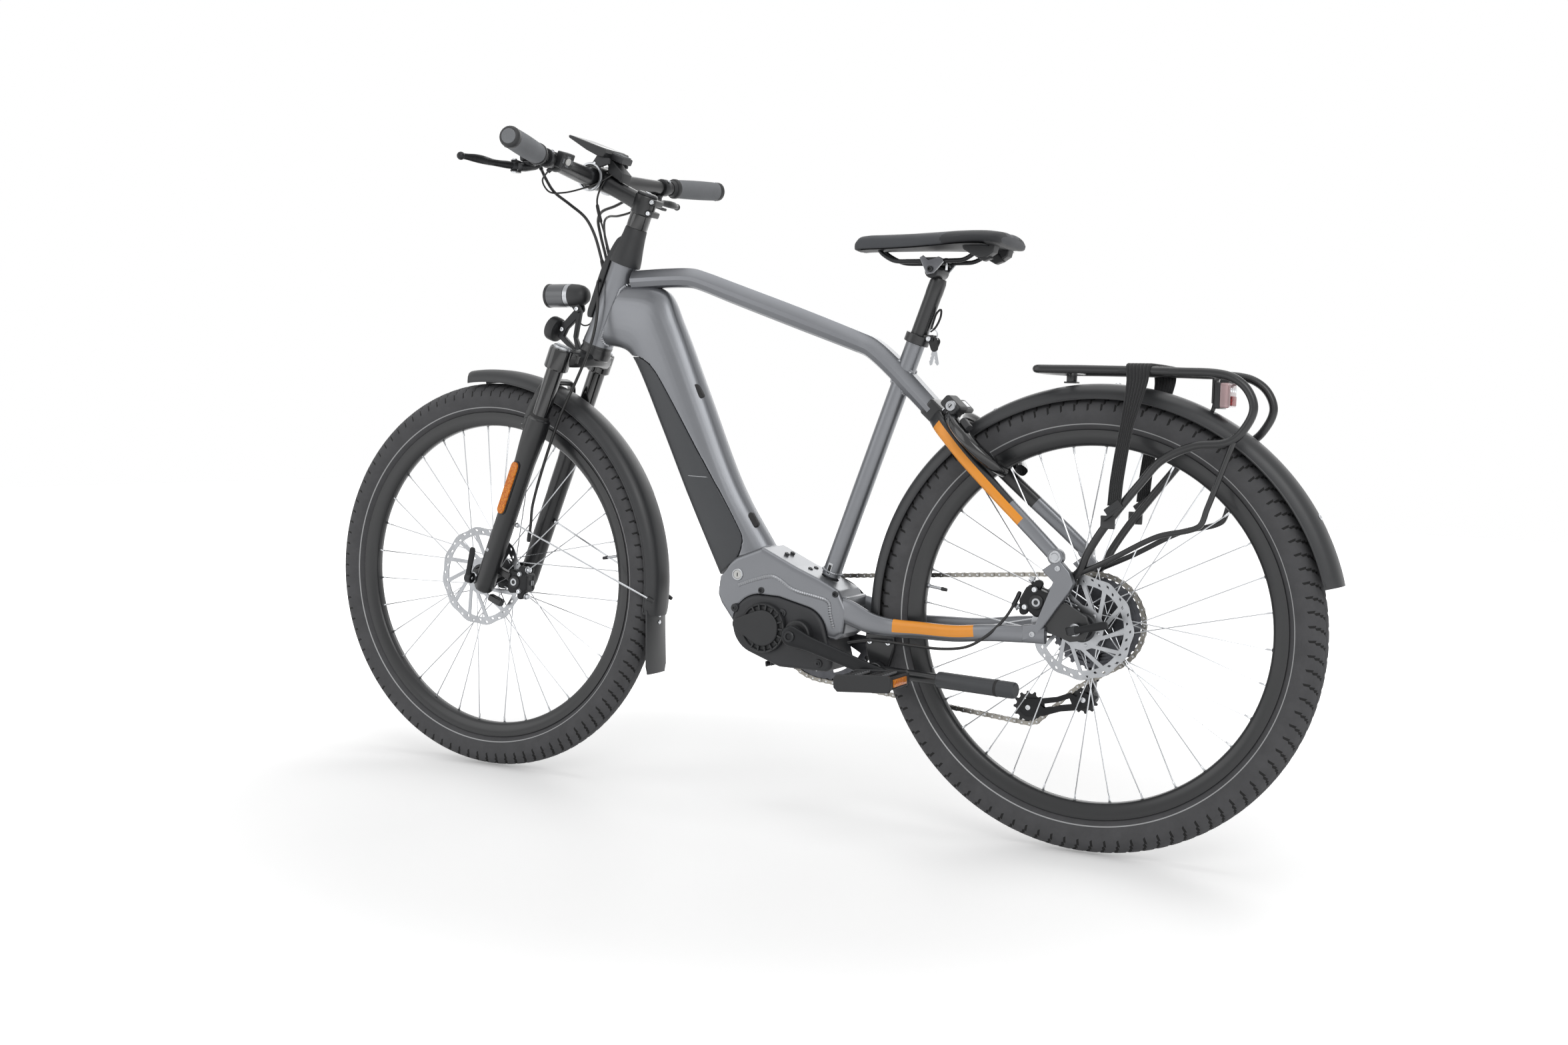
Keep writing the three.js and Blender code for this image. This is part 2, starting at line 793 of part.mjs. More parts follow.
function chainLower() {
  const guide = wrap(guideWheel, dropHeading, cageHeading);
  const tension = wrap(tensionWheel, cageHeading, lowerHeading);
  const start = along(guide[0], onWheel(cogWheel, dropHeading), overrun);
  const end = along(onWheel(ringWheel, lowerHeading), tension.at(-1), overrun + gap);
  return swept([start, ...guide, ...tension, end], () => chainSection);
}

frame.add(piece('chain_upper', chainUpper(), 'chain'), piece('chain_lower', chainLower(), 'chain'));

// Frame tubes

const seatSlope = 1 / Math.tan(radians(seatAngle));
const onSeatAxis = (z) => vec(crankRun + seatTubeAhead - (z - crankHeight) * seatSlope, 0, z);
const seatTubeRod = (lowZ, highZ, radius) => rod(onSeatAxis(lowZ), onSeatAxis(highZ), radius);

const topTubeShares = [
  [0, 0], [0.062, 0.027], [0.154, 0.066], [0.222, 0.0875], [0.26, 0.089],
  [0.45, 0.086], [0.666, 0.081], [0.765, 0.079], [0.807, 0.0745], [0.874, 0.0515], [1, 0],
];
const topTubeHeightShares = [0.92, 0.95, 1, 1, 1, 1.06, 1.04, 1, 1, 0.98, 0.98];
const topTubeRearStations = 5;

function topTubeStation(i) {
  const [x, z] = placed(topTubeRearX, topTubeRearZ, topTubeFrontX, topTubeFrontZ, topTubeShares[i]);
  return vec(x, 0, z);
}

const topTubePath = topTubeShares.map((_, i) => topTubeStation(i));

function topTubeBlank() {
  const widthAt = (i) => (i < topTubeRearStations ? topTubeRearWidth : topTubeWidth);
  return swept(topTubePath, (i) => sectionOf(ridgeShares, topTubeHeightShares[i] * topTubeHeight / 2,
    widthAt(i) / 2));
}

const placeOnDownTube = (share) => placed(downTubeFootX, downTubeFootZ, downTubeHeadX, downTubeHeadZ, share);
const downTubeUpperShares = [[-0.006, 0.11], [0.237, 0.11], [0.559, 0.159], [0.824, 0.2], [0.942, 0.2045],
  [1.051, 0.0805]];
const downTubeLowerShares = [[-0.008, -0.109], [0.271, -0.079], [0.547, -0.0425], [0.784, -0.0165],
  [0.853, -0.0306], [0.927, -0.1045]];
const downTubeWidthShares = [1, 1.03, 1.06, 1.03, 0.97, 0.76];

function downTubeBlank(grow = 0) {
  const rings = downTubeUpperShares.map((upperShare, i) => {
    const [upperX, upperZ] = placeOnDownTube(upperShare);
    const [lowerX, lowerZ] = placeOnDownTube(downTubeLowerShares[i]);
    const middle = vec((upperX + lowerX) / 2, 0, (upperZ + lowerZ) / 2);
    const up = vec((upperX - lowerX) / 2, 0, (upperZ - lowerZ) / 2);
    up.setLength(up.length() + grow);
    const halfWidth = downTubeWidthShares[i] * downTubeWidth / 2 + grow;
    return boxShares.map(([n, b]) => middle.clone().addScaledVector(up, n).addScaledVector(axisY,
      b * halfWidth));
  });
  return skin(rings, boxShares);
}

// The battery fills the lower front of the down tube behind a curved edge.
const batteryEdgeShares = [
  [0.815, -0.01], [0.79, 0.02], [0.742, 0.045], [0.679, 0.053], [0.379, 0.052],
  [0.081, 0.049], [0.05, 0.035], [0.027, 0.01], [-0.002, -0.048], [-0.008, -0.075],
];
const batteryOutsideShares = [[0.02, -0.3], [0.7, -0.3], [0.88, -0.12]];

function batteryZone(grow) {
  const outline = [...batteryEdgeShares, ...batteryOutsideShares].map(placeOnDownTube);
  const middle = placeOnDownTube([0.4, -0.1]);
  const moved = outline.map(([x, z]) => {
    const [runX, runZ] = [x - middle[0], z - middle[1]];
    const scale = 1 + grow / Math.hypot(runX, runZ);
    return [middle[0] + runX * scale, middle[1] + runZ * scale];
  });
  return plate(moved, -downTubeWidth, downTubeWidth);
}

const motorLobeShares = [[0.433, 0.05, 0.278], [0, 0, 0.255], [-0.25, -0.245, 0.08], [0.194, -0.222, 0.1],
  [0.25, 0.2, 0.12]];

function motorOutline(grow) {
  return wrapped(motorLobeShares.map((share) => [...onMotor(share), share[2] * motorLength + grow]),
    smallSegments * 2);
}

const mountShares = [
  [0.85, 0.22], [0.96, 0.46], [0.7, 0.66], [0.43, 0.767], [0.078, 0.606], [-0.167, 0.511],
  [-0.36, 0.422], [-0.45, 0.25], [-0.42, 0.03], [-0.34, -0.03], [-0.2, -0.02], [0.7, 0.03],
];

function motorMount() {
  const shell = plate(mountShares.map(onMotor), -motorMountRight, motorMountLeft);
  return cut(shell, plate(motorOutline(gap), -motorMountRight - overrun, motorMountLeft + overrun));
}

const seatTubeRadius = seatTubeDiameter / 2;
const headTools = (grow) => headTubeOuter(grow).rotateY(steerTurn).translate(headBottomX, 0, headBottomZ);

// Head tube profile as shares of its length and radii.
function headTubeOuter(grow) {
  const length = headTubeLength + grow;
  const collar = headTubeCollar + grow;
  const waist = headTubeRadius + grow;
  const profile = [[0, -grow], [collar, -grow], [collar, headTubeLength * 0.1], [waist, headTubeLength * 0.3],
    [waist, length], [0, length]];
  return turned(profile, roundSegments + 4).rotateX(Math.PI / 2);
}

function headTube() {
  const bore = rod(vec(0, 0, -overrun), vec(0, 0, headTubeLength + overrun), headTubeBore, roundSegments + 4);
  return cut(headTubeOuter(0), bore);
}

const seatTool = seatTubeRod(seatTubeFootZ - overrun, seatTubeTopZ, seatTubeRadius + gap);
const topTubeSolid = cut(topTubeBlank(), seatTool, headTools(gap));

function topTubeGrown() {
  const halfAt = (i) => topTubeHeightShares[i] * topTubeHeight / 2 + gap;
  return swept(topTubePath, (i) => sectionOf(ridgeShares, halfAt(i), topTubeWidth / 2 + gap));
}

function downTube() {
  const whole = join(downTubeBlank(), motorMount());
  const motorTool = plate(motorOutline(gap), -motorMountRight - overrun, motorMountLeft + overrun);
  return cut(whole, batteryZone(gap), motorTool, headTools(gap), topTubeGrown(), seatTool);
}

const batteryInset = 1;

function batteryShape() {
  const body = common(downTubeBlank(), batteryZone(0));
  const motorTool = plate(motorOutline(batteryInset), -motorMountRight - overrun, motorMountLeft + overrun);
  const mountTool = plate(mountShares.map(onMotor), -motorMountRight - overrun, motorMountLeft + overrun);
  return cut(body, motorTool, mountTool, headTools(gap));
}

function seatTube() {
  const tube = seatTubeRod(seatTubeFootZ, seatTubeTopZ, seatTubeRadius);
  const collar = seatTubeRod(seatTubeTopZ - seatCollarHeight, seatTubeTopZ + gap, seatCollarRadius);
  const lug = block(seatCollarRadius, seatCollarRadius, seatCollarHeight, 0, 0, 0);
  const lugPlace = onSeatAxis(seatTubeTopZ - seatCollarHeight / 2);
  lug.translate(lugPlace.x - seatCollarRadius, 0, lugPlace.z);
  const bore = seatTubeRod(seatpostFootZ - seatCollarHeight * 5, seatTubeTopZ + seatCollarHeight,
    seatpostRadius + gap);
  return cut(join(tube, collar, lug), bore);
}

const motorBore = (crankSpindleRadius + gap) / Math.cos(Math.PI / roundSegments);

function motorShape() {
  const body = plate(motorOutline(0), -motorRight, motorLeft);
  const cap = pin(motorCapX, motorCapZ, motorLeft - overrun, motorLeft + motorCapHeight, motorCapRadius,
    roundSegments * 2);
  const boss = pin(crankRun, crankHeight, motorLeft - overrun, motorLeft + motorBossHeight, motorBossRadius,
    roundSegments + 4);
  const bore = pin(crankRun, crankHeight, -motorRight - overrun, motorLeft + motorBossHeight + overrun,
    motorBore);
  return cut(join(body, cap, boss), bore);
}

headFrame.add(piece('head_tube', headTube(), 'frame'));
frame.add(
  piece('top_tube', topTubeSolid, 'frame'),
  piece('down_tube', downTube(), 'frame'),
  piece('battery', batteryShape(), 'battery'),
  piece('seat_tube', seatTube(), 'frame'),
  piece('motor', motorShape(), 'blackPlastic'),
);

// Cable cover: a conical collar on the head tube with a panel down its front

const wedgeFront = headTubeRadius + coverPanelDepth;
const wedgeShares = [[0.3, 0.28], [0.86, 0.28], [1, 0.4], [1, 0.9], [0.62, 1.28], [0.3, 1.28]];

function cableCover() {
  const low = headTubeLength + gap;
  const high = headTubeLength + coverLength;
  const cone = taper(vec(0, 0, low), vec(0, 0, high), headTubeRadius, coverTopRadius, roundSegments + 4);
  const panel = plate(wedgeShares.map(([x, z]) => [x * wedgeFront, z * headTubeLength]), -coverPanelWidth / 2,
    coverPanelWidth / 2);
  const bore = rod(vec(0, 0, -overrun), vec(0, 0, high + overrun), headTubeBore, roundSegments + 4);
  return cut(join(cone, panel), headTubeOuter(gap), bore);
}

headFrame.add(piece('cable_cover', cableCover(), 'blackPlastic'));

// Rear triangle

const seatStayShares = [[0, 0, 0.24], [0.075, -0.005, 0.52], [0.16, -0.003, 0.63], [0.3, 0.005, 0.7],
  [0.57, 0.005, 0.82], [0.85, 0, 0.95], [1, 0, 1]];
const seatStayStart = [topTubeRearX - topTubeHeight / 4, topTubeRearZ - topTubeHeight / 4];

function seatStay() {
  const path = seatStayShares.map(([a, b, out]) => {
    const [x, z] = placed(...seatStayStart, stayPivotX, stayPivotZ, [a, b]);
    return vec(x, out * stayEndOffset, z);
  });
  const heightAt = (i) => stayHeight / 2 * (1 - i * 0.025);
  return join(
    swept(path, (i) => sectionOf(boxShares, heightAt(i), stayWidth / 2)),
    pin(stayPivotX, stayPivotZ, stayEndOffset - hookWidth / 2, stayEndOffset + hookWidth / 2,
      stayPivotRadius),
  );
}

function seatStays() {
  const left = seatStay();
  const lean = Math.atan2(topTubeStation(1).z - topTubeStation(0).z,
    topTubeStation(1).x - topTubeStation(0).x);
  const turnedBlock = (reach, size, width) => block(size, width, size, 0, 0, 0)
    .rotateY(-lean)
    .translate(topTubeRearX + reach * Math.cos(lean), 0, topTubeRearZ + reach * Math.sin(lean));
  const bridge = turnedBlock(-topTubeHeight * 0.1, topTubeHeight * 0.95, topTubeRearWidth);
  const topTool = turnedBlock(topTubeHeight - gap, topTubeHeight * 2, topTubeRearWidth * 2);
  return cut(join(left, mirrored(left), bridge), topTool, seatTool);
}

// Chain stay: along from behind the motor to the elbow, with its height and its distance out.
const chainStayLength = crankRun - stayPivotX - stayPivotRadius * 2;
const chainStayShares = [
  [-0.02, 0.12, 0.45], [0.03, 0.115, 0.5], [0.13, 0.075, 0.545], [0.22, 0.06, 0.56],
  [0.34, 0.06, 0.65], [0.5, 0.062, 0.8], [0.65, 0.08, 0.95], [0.8, 0.088, 1], [0.87, 0.09, 1],
];
const chainStayHeadX = crankRun - motorLength * 0.375;
const hookShares = [
  [0.83, -0.24], [0.63, -0.19], [0.53, -0.05], [0.11, 0.56], [0.05, 0.69], [0.12, 0.86], [0.3, 1.05], [0.55,
    0.86],
  [0.37, 0.69], [0.62, 0.04], [0.83, 0],
];

function chainStay() {
  const path = chainStayShares.map(([a, up, out]) => vec(chainStayHeadX - a * chainStayLength,
    out * stayEndOffset, crankHeight - gap + up * chainStayLength));
  const stay = swept(path, () => sectionOf(boxShares, stayHeight / 2, stayWidth / 2));
  const hook = plate(hookShares.map(onHook), stayEndOffset - hookWidth / 2, stayEndOffset + hookWidth / 2);
  return join(stay, hook, dropout());
}

const dropoutShares = [[0.6, -0.02], [0.5, 0.36], [0.18, 0.38], [-0.14, 0.2], [-0.2, 0.02], [-0.12, -0.16],
  [0.1, -0.2]];

function dropout() {
  return plate(dropoutShares.map(onHook), dropoutInner, dropoutInner + dropoutThickness);
}

function chainStays() {
  const left = chainStay();
  const yokeX = chainStayHeadX - stayHeight * 0.2;
  const yoke = block(stayHeight * 0.55, stayEndOffset * 1.05, stayHeight * 1.2, yokeX, 0,
    crankHeight + chainStayLength * 0.12);
  const pivotTool = pin(stayPivotX, stayPivotZ, -stayEndOffset * 2, stayEndOffset * 2, stayPivotRadius + gap);
  const axleTool = pin(0, tyreRadius, -stayEndOffset * 2, stayEndOffset * 2, axleRadius + gap);
  const hanger = plate(wrapped([[0, tyreRadius - hookSpan * 0.1, hangerBoltRadius],
    [hangerX, hangerZ, hangerBoltRadius]]), -dropoutInner - dropoutThickness, -dropoutInner);
  const mountTool = plate(mountShares.map(onMotor), -motorMountRight - gap, motorMountLeft + gap);
  const shift = mountTool.clone().translate(-gap, 0, 0);
  const ringTool = pin(crankRun, crankHeight, -chainringOffset - overrun,
    -chainringOffset + chainringThickness / 2 + overrun / 2, chainringPitchRadius + overrun, wheelSegments);
  const wheelTool = pin(0, tyreRadius, -mudguardHalfWidth - gap, mudguardHalfWidth + gap,
    mudguardRadius + overrun, wheelSegments);
  const whole = join(left, mirrored(left), yoke, hanger);
  return cut(whole, pivotTool, axleTool, mountTool, shift, ringTool, wheelTool);
}

frame.add(piece('seat_stays', seatStays(), 'frame'), piece('chain_stays', chainStays(), 'frame'));

const axleOverhang = 5;
const rearAxleEnd = stayEndOffset + hookWidth / 2;
frame.add(piece('rear_axle', pin(0, tyreRadius, -dropoutInner - dropoutThickness - axleOverhang, rearAxleEnd,
  axleRadius, smallSegments * 2), 'steel'));

// Mudguards

const channelShares = [
  [-1, 1], [-0.45, 0.9], [0, 0.5], [0, -0.5], [-0.45, -0.9], [-1, -1],
];

function channelSection() {
  const outer = channelShares.map(([n, b]) => [n * mudguardDrop, b * mudguardHalfWidth]);
  const inside = mudguardHalfWidth - mudguardWall;
  const inner = channelShares.map(([n, b]) => [Math.max(n * mudguardDrop - mudguardWall, -mudguardDrop),
    b * inside]);
  return [...outer, ...inner.reverse()];
}

function mudguard(startAngle, endAngle) {
  const count = Math.ceil((endAngle - startAngle) / 8);
  const path = Array.from({ length: count + 1 }, (_, i) => {
    const angle = radians(endAngle + ((startAngle - endAngle) * i) / count);
    return vec(mudguardRadius * Math.cos(angle), 0, mudguardRadius * Math.sin(angle));
  });
  return swept(path, channelSection);
}

const rearMudguard = mudguard(rearMudguardStart, rearMudguardEnd)
  .translate(-rearMudguardBack, 0, tyreRadius - rearMudguardDown);
frame.add(piece('rear_mudguard', rearMudguard, 'blackPlastic'));

// Rack

const rackSideShares = [
  [0.94, 1, 1], [0.7, 1, 1], [0, 1, 1], [-0.56, 0.995, 1], [-0.83, 0.985, 1], [-0.95, 0.94, 1], [-1, 0.861,
    1],
  [-0.934, 0.773, 1], [-0.849, 0.735, 1], [-0.663, 0.719, 1], [-0.481, 0.665, 1], [-0.372, 0.588, 1],
  [-0.151, 0.405, 1], [-0.043, 0.296, 0.94], [0.026, 0.225, 0.86], [0.2, 0.19, 0.83],
];
const rackRailShares = [
  [-0.9, 0.755, 1], [-0.756, 0.487, 1], [-0.71, 0.42, 1], [-0.465, 0.374, 1], [-0.174, 0.273, 0.95], [0.13,
    0.205, 0.83],
];
const rackDrop = rackDeckZ - tyreRadius;

const onRack = ([x, z, y]) => vec(x * (x > 0 ? rackFrontX : -rackRearX), y * rackHalfWidth,
  tyreRadius + z * rackDrop);
const flipped = (point) => vec(point.x, -point.y, point.z);

function rackShape() {
  const side = rackSideShares.map(onRack);
  const front = [vec(rackFrontX, rackHalfWidth * 0.78, rackDeckZ),
    vec(rackFrontX + rackTubeRadius, 0, rackDeckZ), vec(rackFrontX, -rackHalfWidth * 0.78, rackDeckZ)];
  const loop = pipe([...[...side].reverse(), ...front, ...side.map(flipped)], rackTubeRadius, pipeSides, 50);
  const rail = rackRailShares.map(onRack);
  const rails = [rail, rail.map(flipped)].map((points) => pipe(points, rackRailRadius, pipeSides, 10));
  const barAt = (x, z) => rod(vec(x, -rackHalfWidth, z), vec(x, rackHalfWidth, z), rackBarRadius,
    smallSegments);
  const postX = rackFrontX * rackPostShare;
  const post = rod(vec(postX, 0, rackPostFootZ), vec(postX, 0, rackDeckZ), rackPostRadius, smallSegments);
  const bars = [postX, rackRearX * 0.36, rackRearX * 0.7].map((x) => barAt(x, rackDeckZ - rackBarRadius / 2));
  const footZ = tyreRadius + rackDrop * 0.19;
  const footPlaces = [1, -1].map((side) => vec(rackFrontX * 0.2, side * rackHalfWidth * 0.8, footZ));
  const feet = footPlaces.map((foot) => rod(foot, vec(foot.x,
    Math.sign(foot.y) * (stayEndOffset - hookWidth / 2 - gap),
    foot.z), stayPivotRadius * 0.6, smallSegments));
  const tabs = [1, -1].map((side2) => block(strapFootWidth, rackTubeRadius, strapFootWidth, rackRearX * 0.17,
    side2 * (rackHalfWidth + rackTubeRadius / 2), tyreRadius + rackDrop * 0.42));
  return join(loop, ...rails, ...bars, post, ...feet, ...tabs, lightBracket());
}

function lightBracket() {
  const top = rackDeckZ;
  const bottom = lightZ - lightHeight / 3;
  return block(lightPlate, lightWidth * 0.6, top - bottom, lightX + lightDepth / 2 + lightPlate / 2 + gap, 0,
    (top + bottom) / 2);
}

frame.add(piece('rack', rackShape(), 'black'));

function strapShape() {
  const outside = rackHalfWidth + rackTubeRadius + gap * 3 + strapThickness / 2;
  const topZ = rackDeckZ + rackTubeRadius + gap + strapThickness / 2;
  const footZ = tyreRadius + rackDrop * 0.42;
  const footX = rackRearX * 0.17;
  const left = [
    vec(footX, outside, footZ), vec(footX * 1.3, outside, footZ + rackDrop * 0.15),
    ...[0, 0.25, 0.5, 0.75, 1].map((share) => {
      const angle = (share * Math.PI) / 2;
      return vec(strapX, rackHalfWidth + (outside - rackHalfWidth) * Math.cos(angle),
        rackDeckZ + (topZ - rackDeckZ) * Math.sin(angle));
    }),
  ];
  const path = [...left, ...left.map(flipped).reverse()];
  const footHalf = strapFootWidth / 2;
  const widthAt = (i) => (i === 0 || i === path.length - 1 ? footHalf : strapWidth / 2);
  return swept(path, (i) => sectionOf([[1, 1], [-1, 1], [-1, -1], [1, -1]], strapThickness / 2, widthAt(i)),
    axisX);
}

frame.add(piece('luggage_strap', strapShape(), 'webbing'));

function rearLight() {
  const body = block(lightDepth, lightWidth, lightHeight, lightX, 0, lightZ);
  const crown = block(lightDepth * 0.7, lightWidth * 0.7, lightPlate * 2, lightX, 0,
    lightZ + lightHeight / 2);
  return join(body, crown);
}

frame.add(piece('rear_light', rearLight(), 'lens'));

// Ring lock: the group's XY plane is the ring's plane, and its -X points at the rear axle

const lockDirection = radians(lockTilt);
lock.position.set(
  lockAlong * Math.cos(lockDirection) - lockAside * Math.sin(lockDirection), 0,
  tyreRadius + lockAlong * Math.sin(lockDirection) + lockAside * Math.cos(lockDirection),
);
lock.rotation.y = -lockDirection;

// A flat ring sector about Z, with angles measured from -X towards +Y.
function sector(innerRadius, outerRadius, low, high, startAngle, endAngle) {
  const count = Math.ceil((endAngle - startAngle) / 10);
  const at = (radius, i) => {
    const angle = radians(startAngle + ((endAngle - startAngle) * i) / count);
    return new THREE.Vector2(-radius * Math.cos(angle), radius * Math.sin(angle));
  };
  const steps = Array.from({ length: count + 1 }, (_, i) => i);
  const outline = [...steps.map((i) => at(outerRadius, i)),
    ...steps.reverse().map((i) => at(innerRadius, i))];
  return new THREE.ExtrudeGeometry(new THREE.Shape(outline),
    { depth: high - low, bevelEnabled: false }).translate(0, 0, low);
}

const shackleRun = 72;
const leverSpan = 5;

function lockCase() {
  const ring = sector(lockRadius - lockHalfBand, lockRadius + lockHalfBand, -lockHalfThickness,
    lockHalfThickness, lockMouth, 360 - lockMouth);
  const keyBlock = block(lockBlockLength, lockBlockWidth, lockBlockHeight, lockRadius * 1.06,
    lockRadius * 0.5, lockHalfThickness + lockBlockHeight / 4);
  const room = shackleRadius + gap;
  const groove = sector(lockRadius - room, lockRadius + room, -room, room, 0,
    shackleStart + shackleSweep + leverSpan);
  const socket = sector(lockRadius - room, lockRadius + room, -room, room, 360 - lockMouth - leverSpan * 2,
    360);
  const slotStart = shackleStart + shackleSweep - shackleRun - 2 * leverSpan;
  const slot = sector(lockRadius - room, lockRadius + room, 0, lockHalfThickness + overrun, slotStart,
    shackleStart + shackleSweep + leverSpan);
  return cut(join(ring, keyBlock), groove, socket, slot);
}

function shackle() {
  const bar = sector(lockRadius - shackleRadius, lockRadius + shackleRadius, -shackleRadius, shackleRadius,
    shackleStart, shackleStart + shackleSweep);
  const top = lockHalfThickness + gap;
  const lugStart = shackleStart + shackleSweep - 2 * leverSpan;
  const stalk = sector(lockRadius - shackleRadius, lockRadius + shackleRadius, 0, top + shackleRadius,
    lugStart, lugStart + 2 * leverSpan);
  const head = sector(lockRadius - shackleRadius, lockRadius + lockHalfBand + overrun, top,
    top + shackleRadius * 3, lugStart - leverSpan, lugStart + 2 * leverSpan);
  return join(bar, stalk, head);
}

lock.add(piece('ring_lock_case', lockCase(), 'blackPlastic'),
  piece('ring_lock_shackle', shackle(), 'blackPlastic'));

// Brake calipers: a body slotted for its rotor, about the local origin with its pads towards -X

const caliperLength = 58;
const caliperDepth = 42;
const caliperInner = 13;
const caliperOuter = 16;
const caliperSlot = 2;
const caliperWeb = 9;

function caliperShape(angle, reach, offset, outer) {
  const body = block(caliperDepth, caliperInner + outer, caliperLength * 0.7, 0, (outer - caliperInner) / 2,
    0);
  const ears = block(caliperDepth * 0.4, caliperOuter * 0.7, caliperLength, caliperDepth * 0.2,
    caliperOuter * 0.6, 0);
  const slot = block(caliperDepth, caliperSlot * 2, caliperLength + overrun, -caliperWeb, 0, 0);
  const whole = cut(join(body, ears), slot);
  whole.translate(reach, offset, 0).rotateY(-radians(angle));
  return whole;
}

const rearCaliperAngle = 28;
const rearCaliperReach = 80;
const rearCaliperOuter = stayEndOffset - hookWidth / 2 - gap - rearRotorOffset;
const rearCaliper = caliperShape(rearCaliperAngle, rearCaliperReach, rearRotorOffset,
  rearCaliperOuter).translate(0, 0, tyreRadius);
frame.add(piece('rear_caliper', rearCaliper, 'black'));

// Derailleur

const cageLow = -cogLineOffset - cagePlateSpace - cagePlateThickness;
const cageHigh = -cogLineOffset + cagePlateSpace + cagePlateThickness;
const cageOutline = wrapped([[guideX, guideZ, guideRadius * 0.5], [tensionX, tensionZ, tensionRadius * 0.55]],
  smallSegments);

function cageShape() {
  const plates = [
    plate(cageOutline, cageLow, cageLow + cagePlateThickness),
    plate(cageOutline, cageHigh - cagePlateThickness, cageHigh),
  ];
  const pins = [[guideX, guideZ], [tensionX, tensionZ]].map(([x, z]) => pin(x, z, cageLow, cageHigh,
    pulleyPinRadius, smallSegments));
  return join(...plates, ...pins);
}

function pulley(x, z, radius) {
  const outline = circle(x, z, underChain(radius), roundSegments + 4);
  const bore = circle(x, z, (pulleyPinRadius + gap) / Math.cos(Math.PI / smallSegments), smallSegments);
  return plate(outline, -cogLineOffset - pulleyThickness / 2, -cogLineOffset + pulleyThickness / 2, [bore]);
}

function mechShape() {
  const outY = -mechOutboard;
  const knuckleTop = pin(hangerX, hangerZ, -dropoutInner - dropoutThickness - gap - mechFootRadius,
    -dropoutInner - dropoutThickness - gap, hangerBoltRadius);
  const upper = vec(hangerX, -dropoutInner - dropoutThickness - mechArmRadius, hangerZ);
  const bend = vec(hangerX, upper.y, hangerZ - mechArmRadius * 2.2);
  const lower = vec(guideX, outY + mechFootRadius / 2, guideZ + mechFootRadius * 2);
  const links = [rod(upper, bend, mechArmRadius * 0.9, smallSegments),
    rod(bend, lower, mechArmRadius, smallSegments)];
  const foot = pin(guideX, guideZ, outY, cageLow - gap, mechFootRadius);
  const drop = rod(lower, vec(guideX, outY + mechFootRadius, guideZ), mechArmRadius, smallSegments);
  return join(knuckleTop, ...links, foot, drop);
}

frame.add(
  piece('derailleur_body', mechShape(), 'black'),
  piece('derailleur_cage', cageShape(), 'black'),
  piece('guide_pulley', pulley(guideX, guideZ, guideRadius), 'blackPlastic'),
  piece('tension_pulley', pulley(tensionX, tensionZ, tensionRadius), 'blackPlastic'),
);

// Cranks and pedals

const pedalRadius = crankLength;
const crankTurn = radians(crankAngle);
const pedalPlace = (side) => [crankRun + side * pedalRadius * Math.cos(crankTurn),
  crankHeight + side * pedalRadius * Math.sin(crankTurn)];

function crankArm(side) {
  const [x, z] = pedalPlace(side);
  const outline = wrapped([[crankRun, crankHeight, crankBossRadius], [x, z, crankTipRadius]]);
  const [low, high] = [crankArmInner, crankArmInner + crankArmThickness];
  return side > 0 ? plate(outline, low, high) : plate(outline, -high, -low);
}

function crankset() {
  const spindle = pin(crankRun, crankHeight, -crankArmInner - gap, crankArmInner + gap, crankSpindleRadius);
  const ringOuter = circle(crankRun, crankHeight, underChain(chainringPitchRadius), wheelSegments);
  const spider = pin(crankRun, crankHeight, -crankArmInner, -chainringOffset, chainringHoleRadius * 0.7);
  const ring = plate(ringOuter, -chainringOffset - chainringThickness / 2,
    -chainringOffset + chainringThickness / 2);
  const holes = pedalHoles();
  const bores = [1, -1].map((side) => {
    const [x, z] = pedalPlace(side);
    return pin(x, z, -crankArmInner * 2, crankArmInner * 2, pedalPinRadius + gap, roundSegments);
  });
  return cut(join(cut(ring, ...holes), spider, spindle, crankArm(1), crankArm(-1)), ...bores);
}

// Weight-saving windows of the chainring.
function pedalHoles() {
  const reach = (chainringPitchRadius + chainringHoleRadius * 0.7) / 2;
  return Array.from({ length: 5 }, (_, i) => {
    const angle = crankTurn + ((i + 0.5) * 2 * Math.PI) / 5;
    return pin(
      crankRun + reach * Math.cos(angle), crankHeight + reach * Math.sin(angle),
      -chainringOffset - overrun, -chainringOffset + overrun, chainringHoleRadius * 0.62, smallSegments,
    );
  });
}

function pedal(side) {
  const [x, z] = pedalPlace(side);
  const inner = crankArmInner + crankArmThickness + pedalPinRadius;
  const outer = inner + pedalWidth;
  const spindle = pin(0, 0, crankArmInner + gap, outer - pedalPinRadius, pedalPinRadius, roundSegments);
  const cage = wrapped([
    [-pedalLength / 2 + pedalHeight / 4, 0, pedalHeight / 4], [pedalLength / 2 - pedalHeight / 4, 0,
      pedalHeight / 4],
    [-pedalLength / 4, 0, pedalHeight / 2], [pedalLength / 4, 0, pedalHeight / 2],
  ], smallSegments);
  const body = plate(cage, inner, outer);
  const windows = [-1, 1].map((end) => block(pedalLength * 0.26, pedalWidth * 0.7, pedalHeight * 2,
    end * pedalLength * 0.27, (inner + outer) / 2, 0));
  const whole = join(cut(body, ...windows), spindle);
  whole.rotateY(radians(pedalTilt));
  const sided = side > 0 ? whole : mirrored(whole);
  return sided.translate(x, 0, z);
}

frame.add(
  piece('crankset', crankset(), 'black'),
  piece('pedal_left', pedal(1), 'blackPlastic'),
  piece('pedal_right', pedal(-1), 'blackPlastic'),
);

// Seatpost and saddle

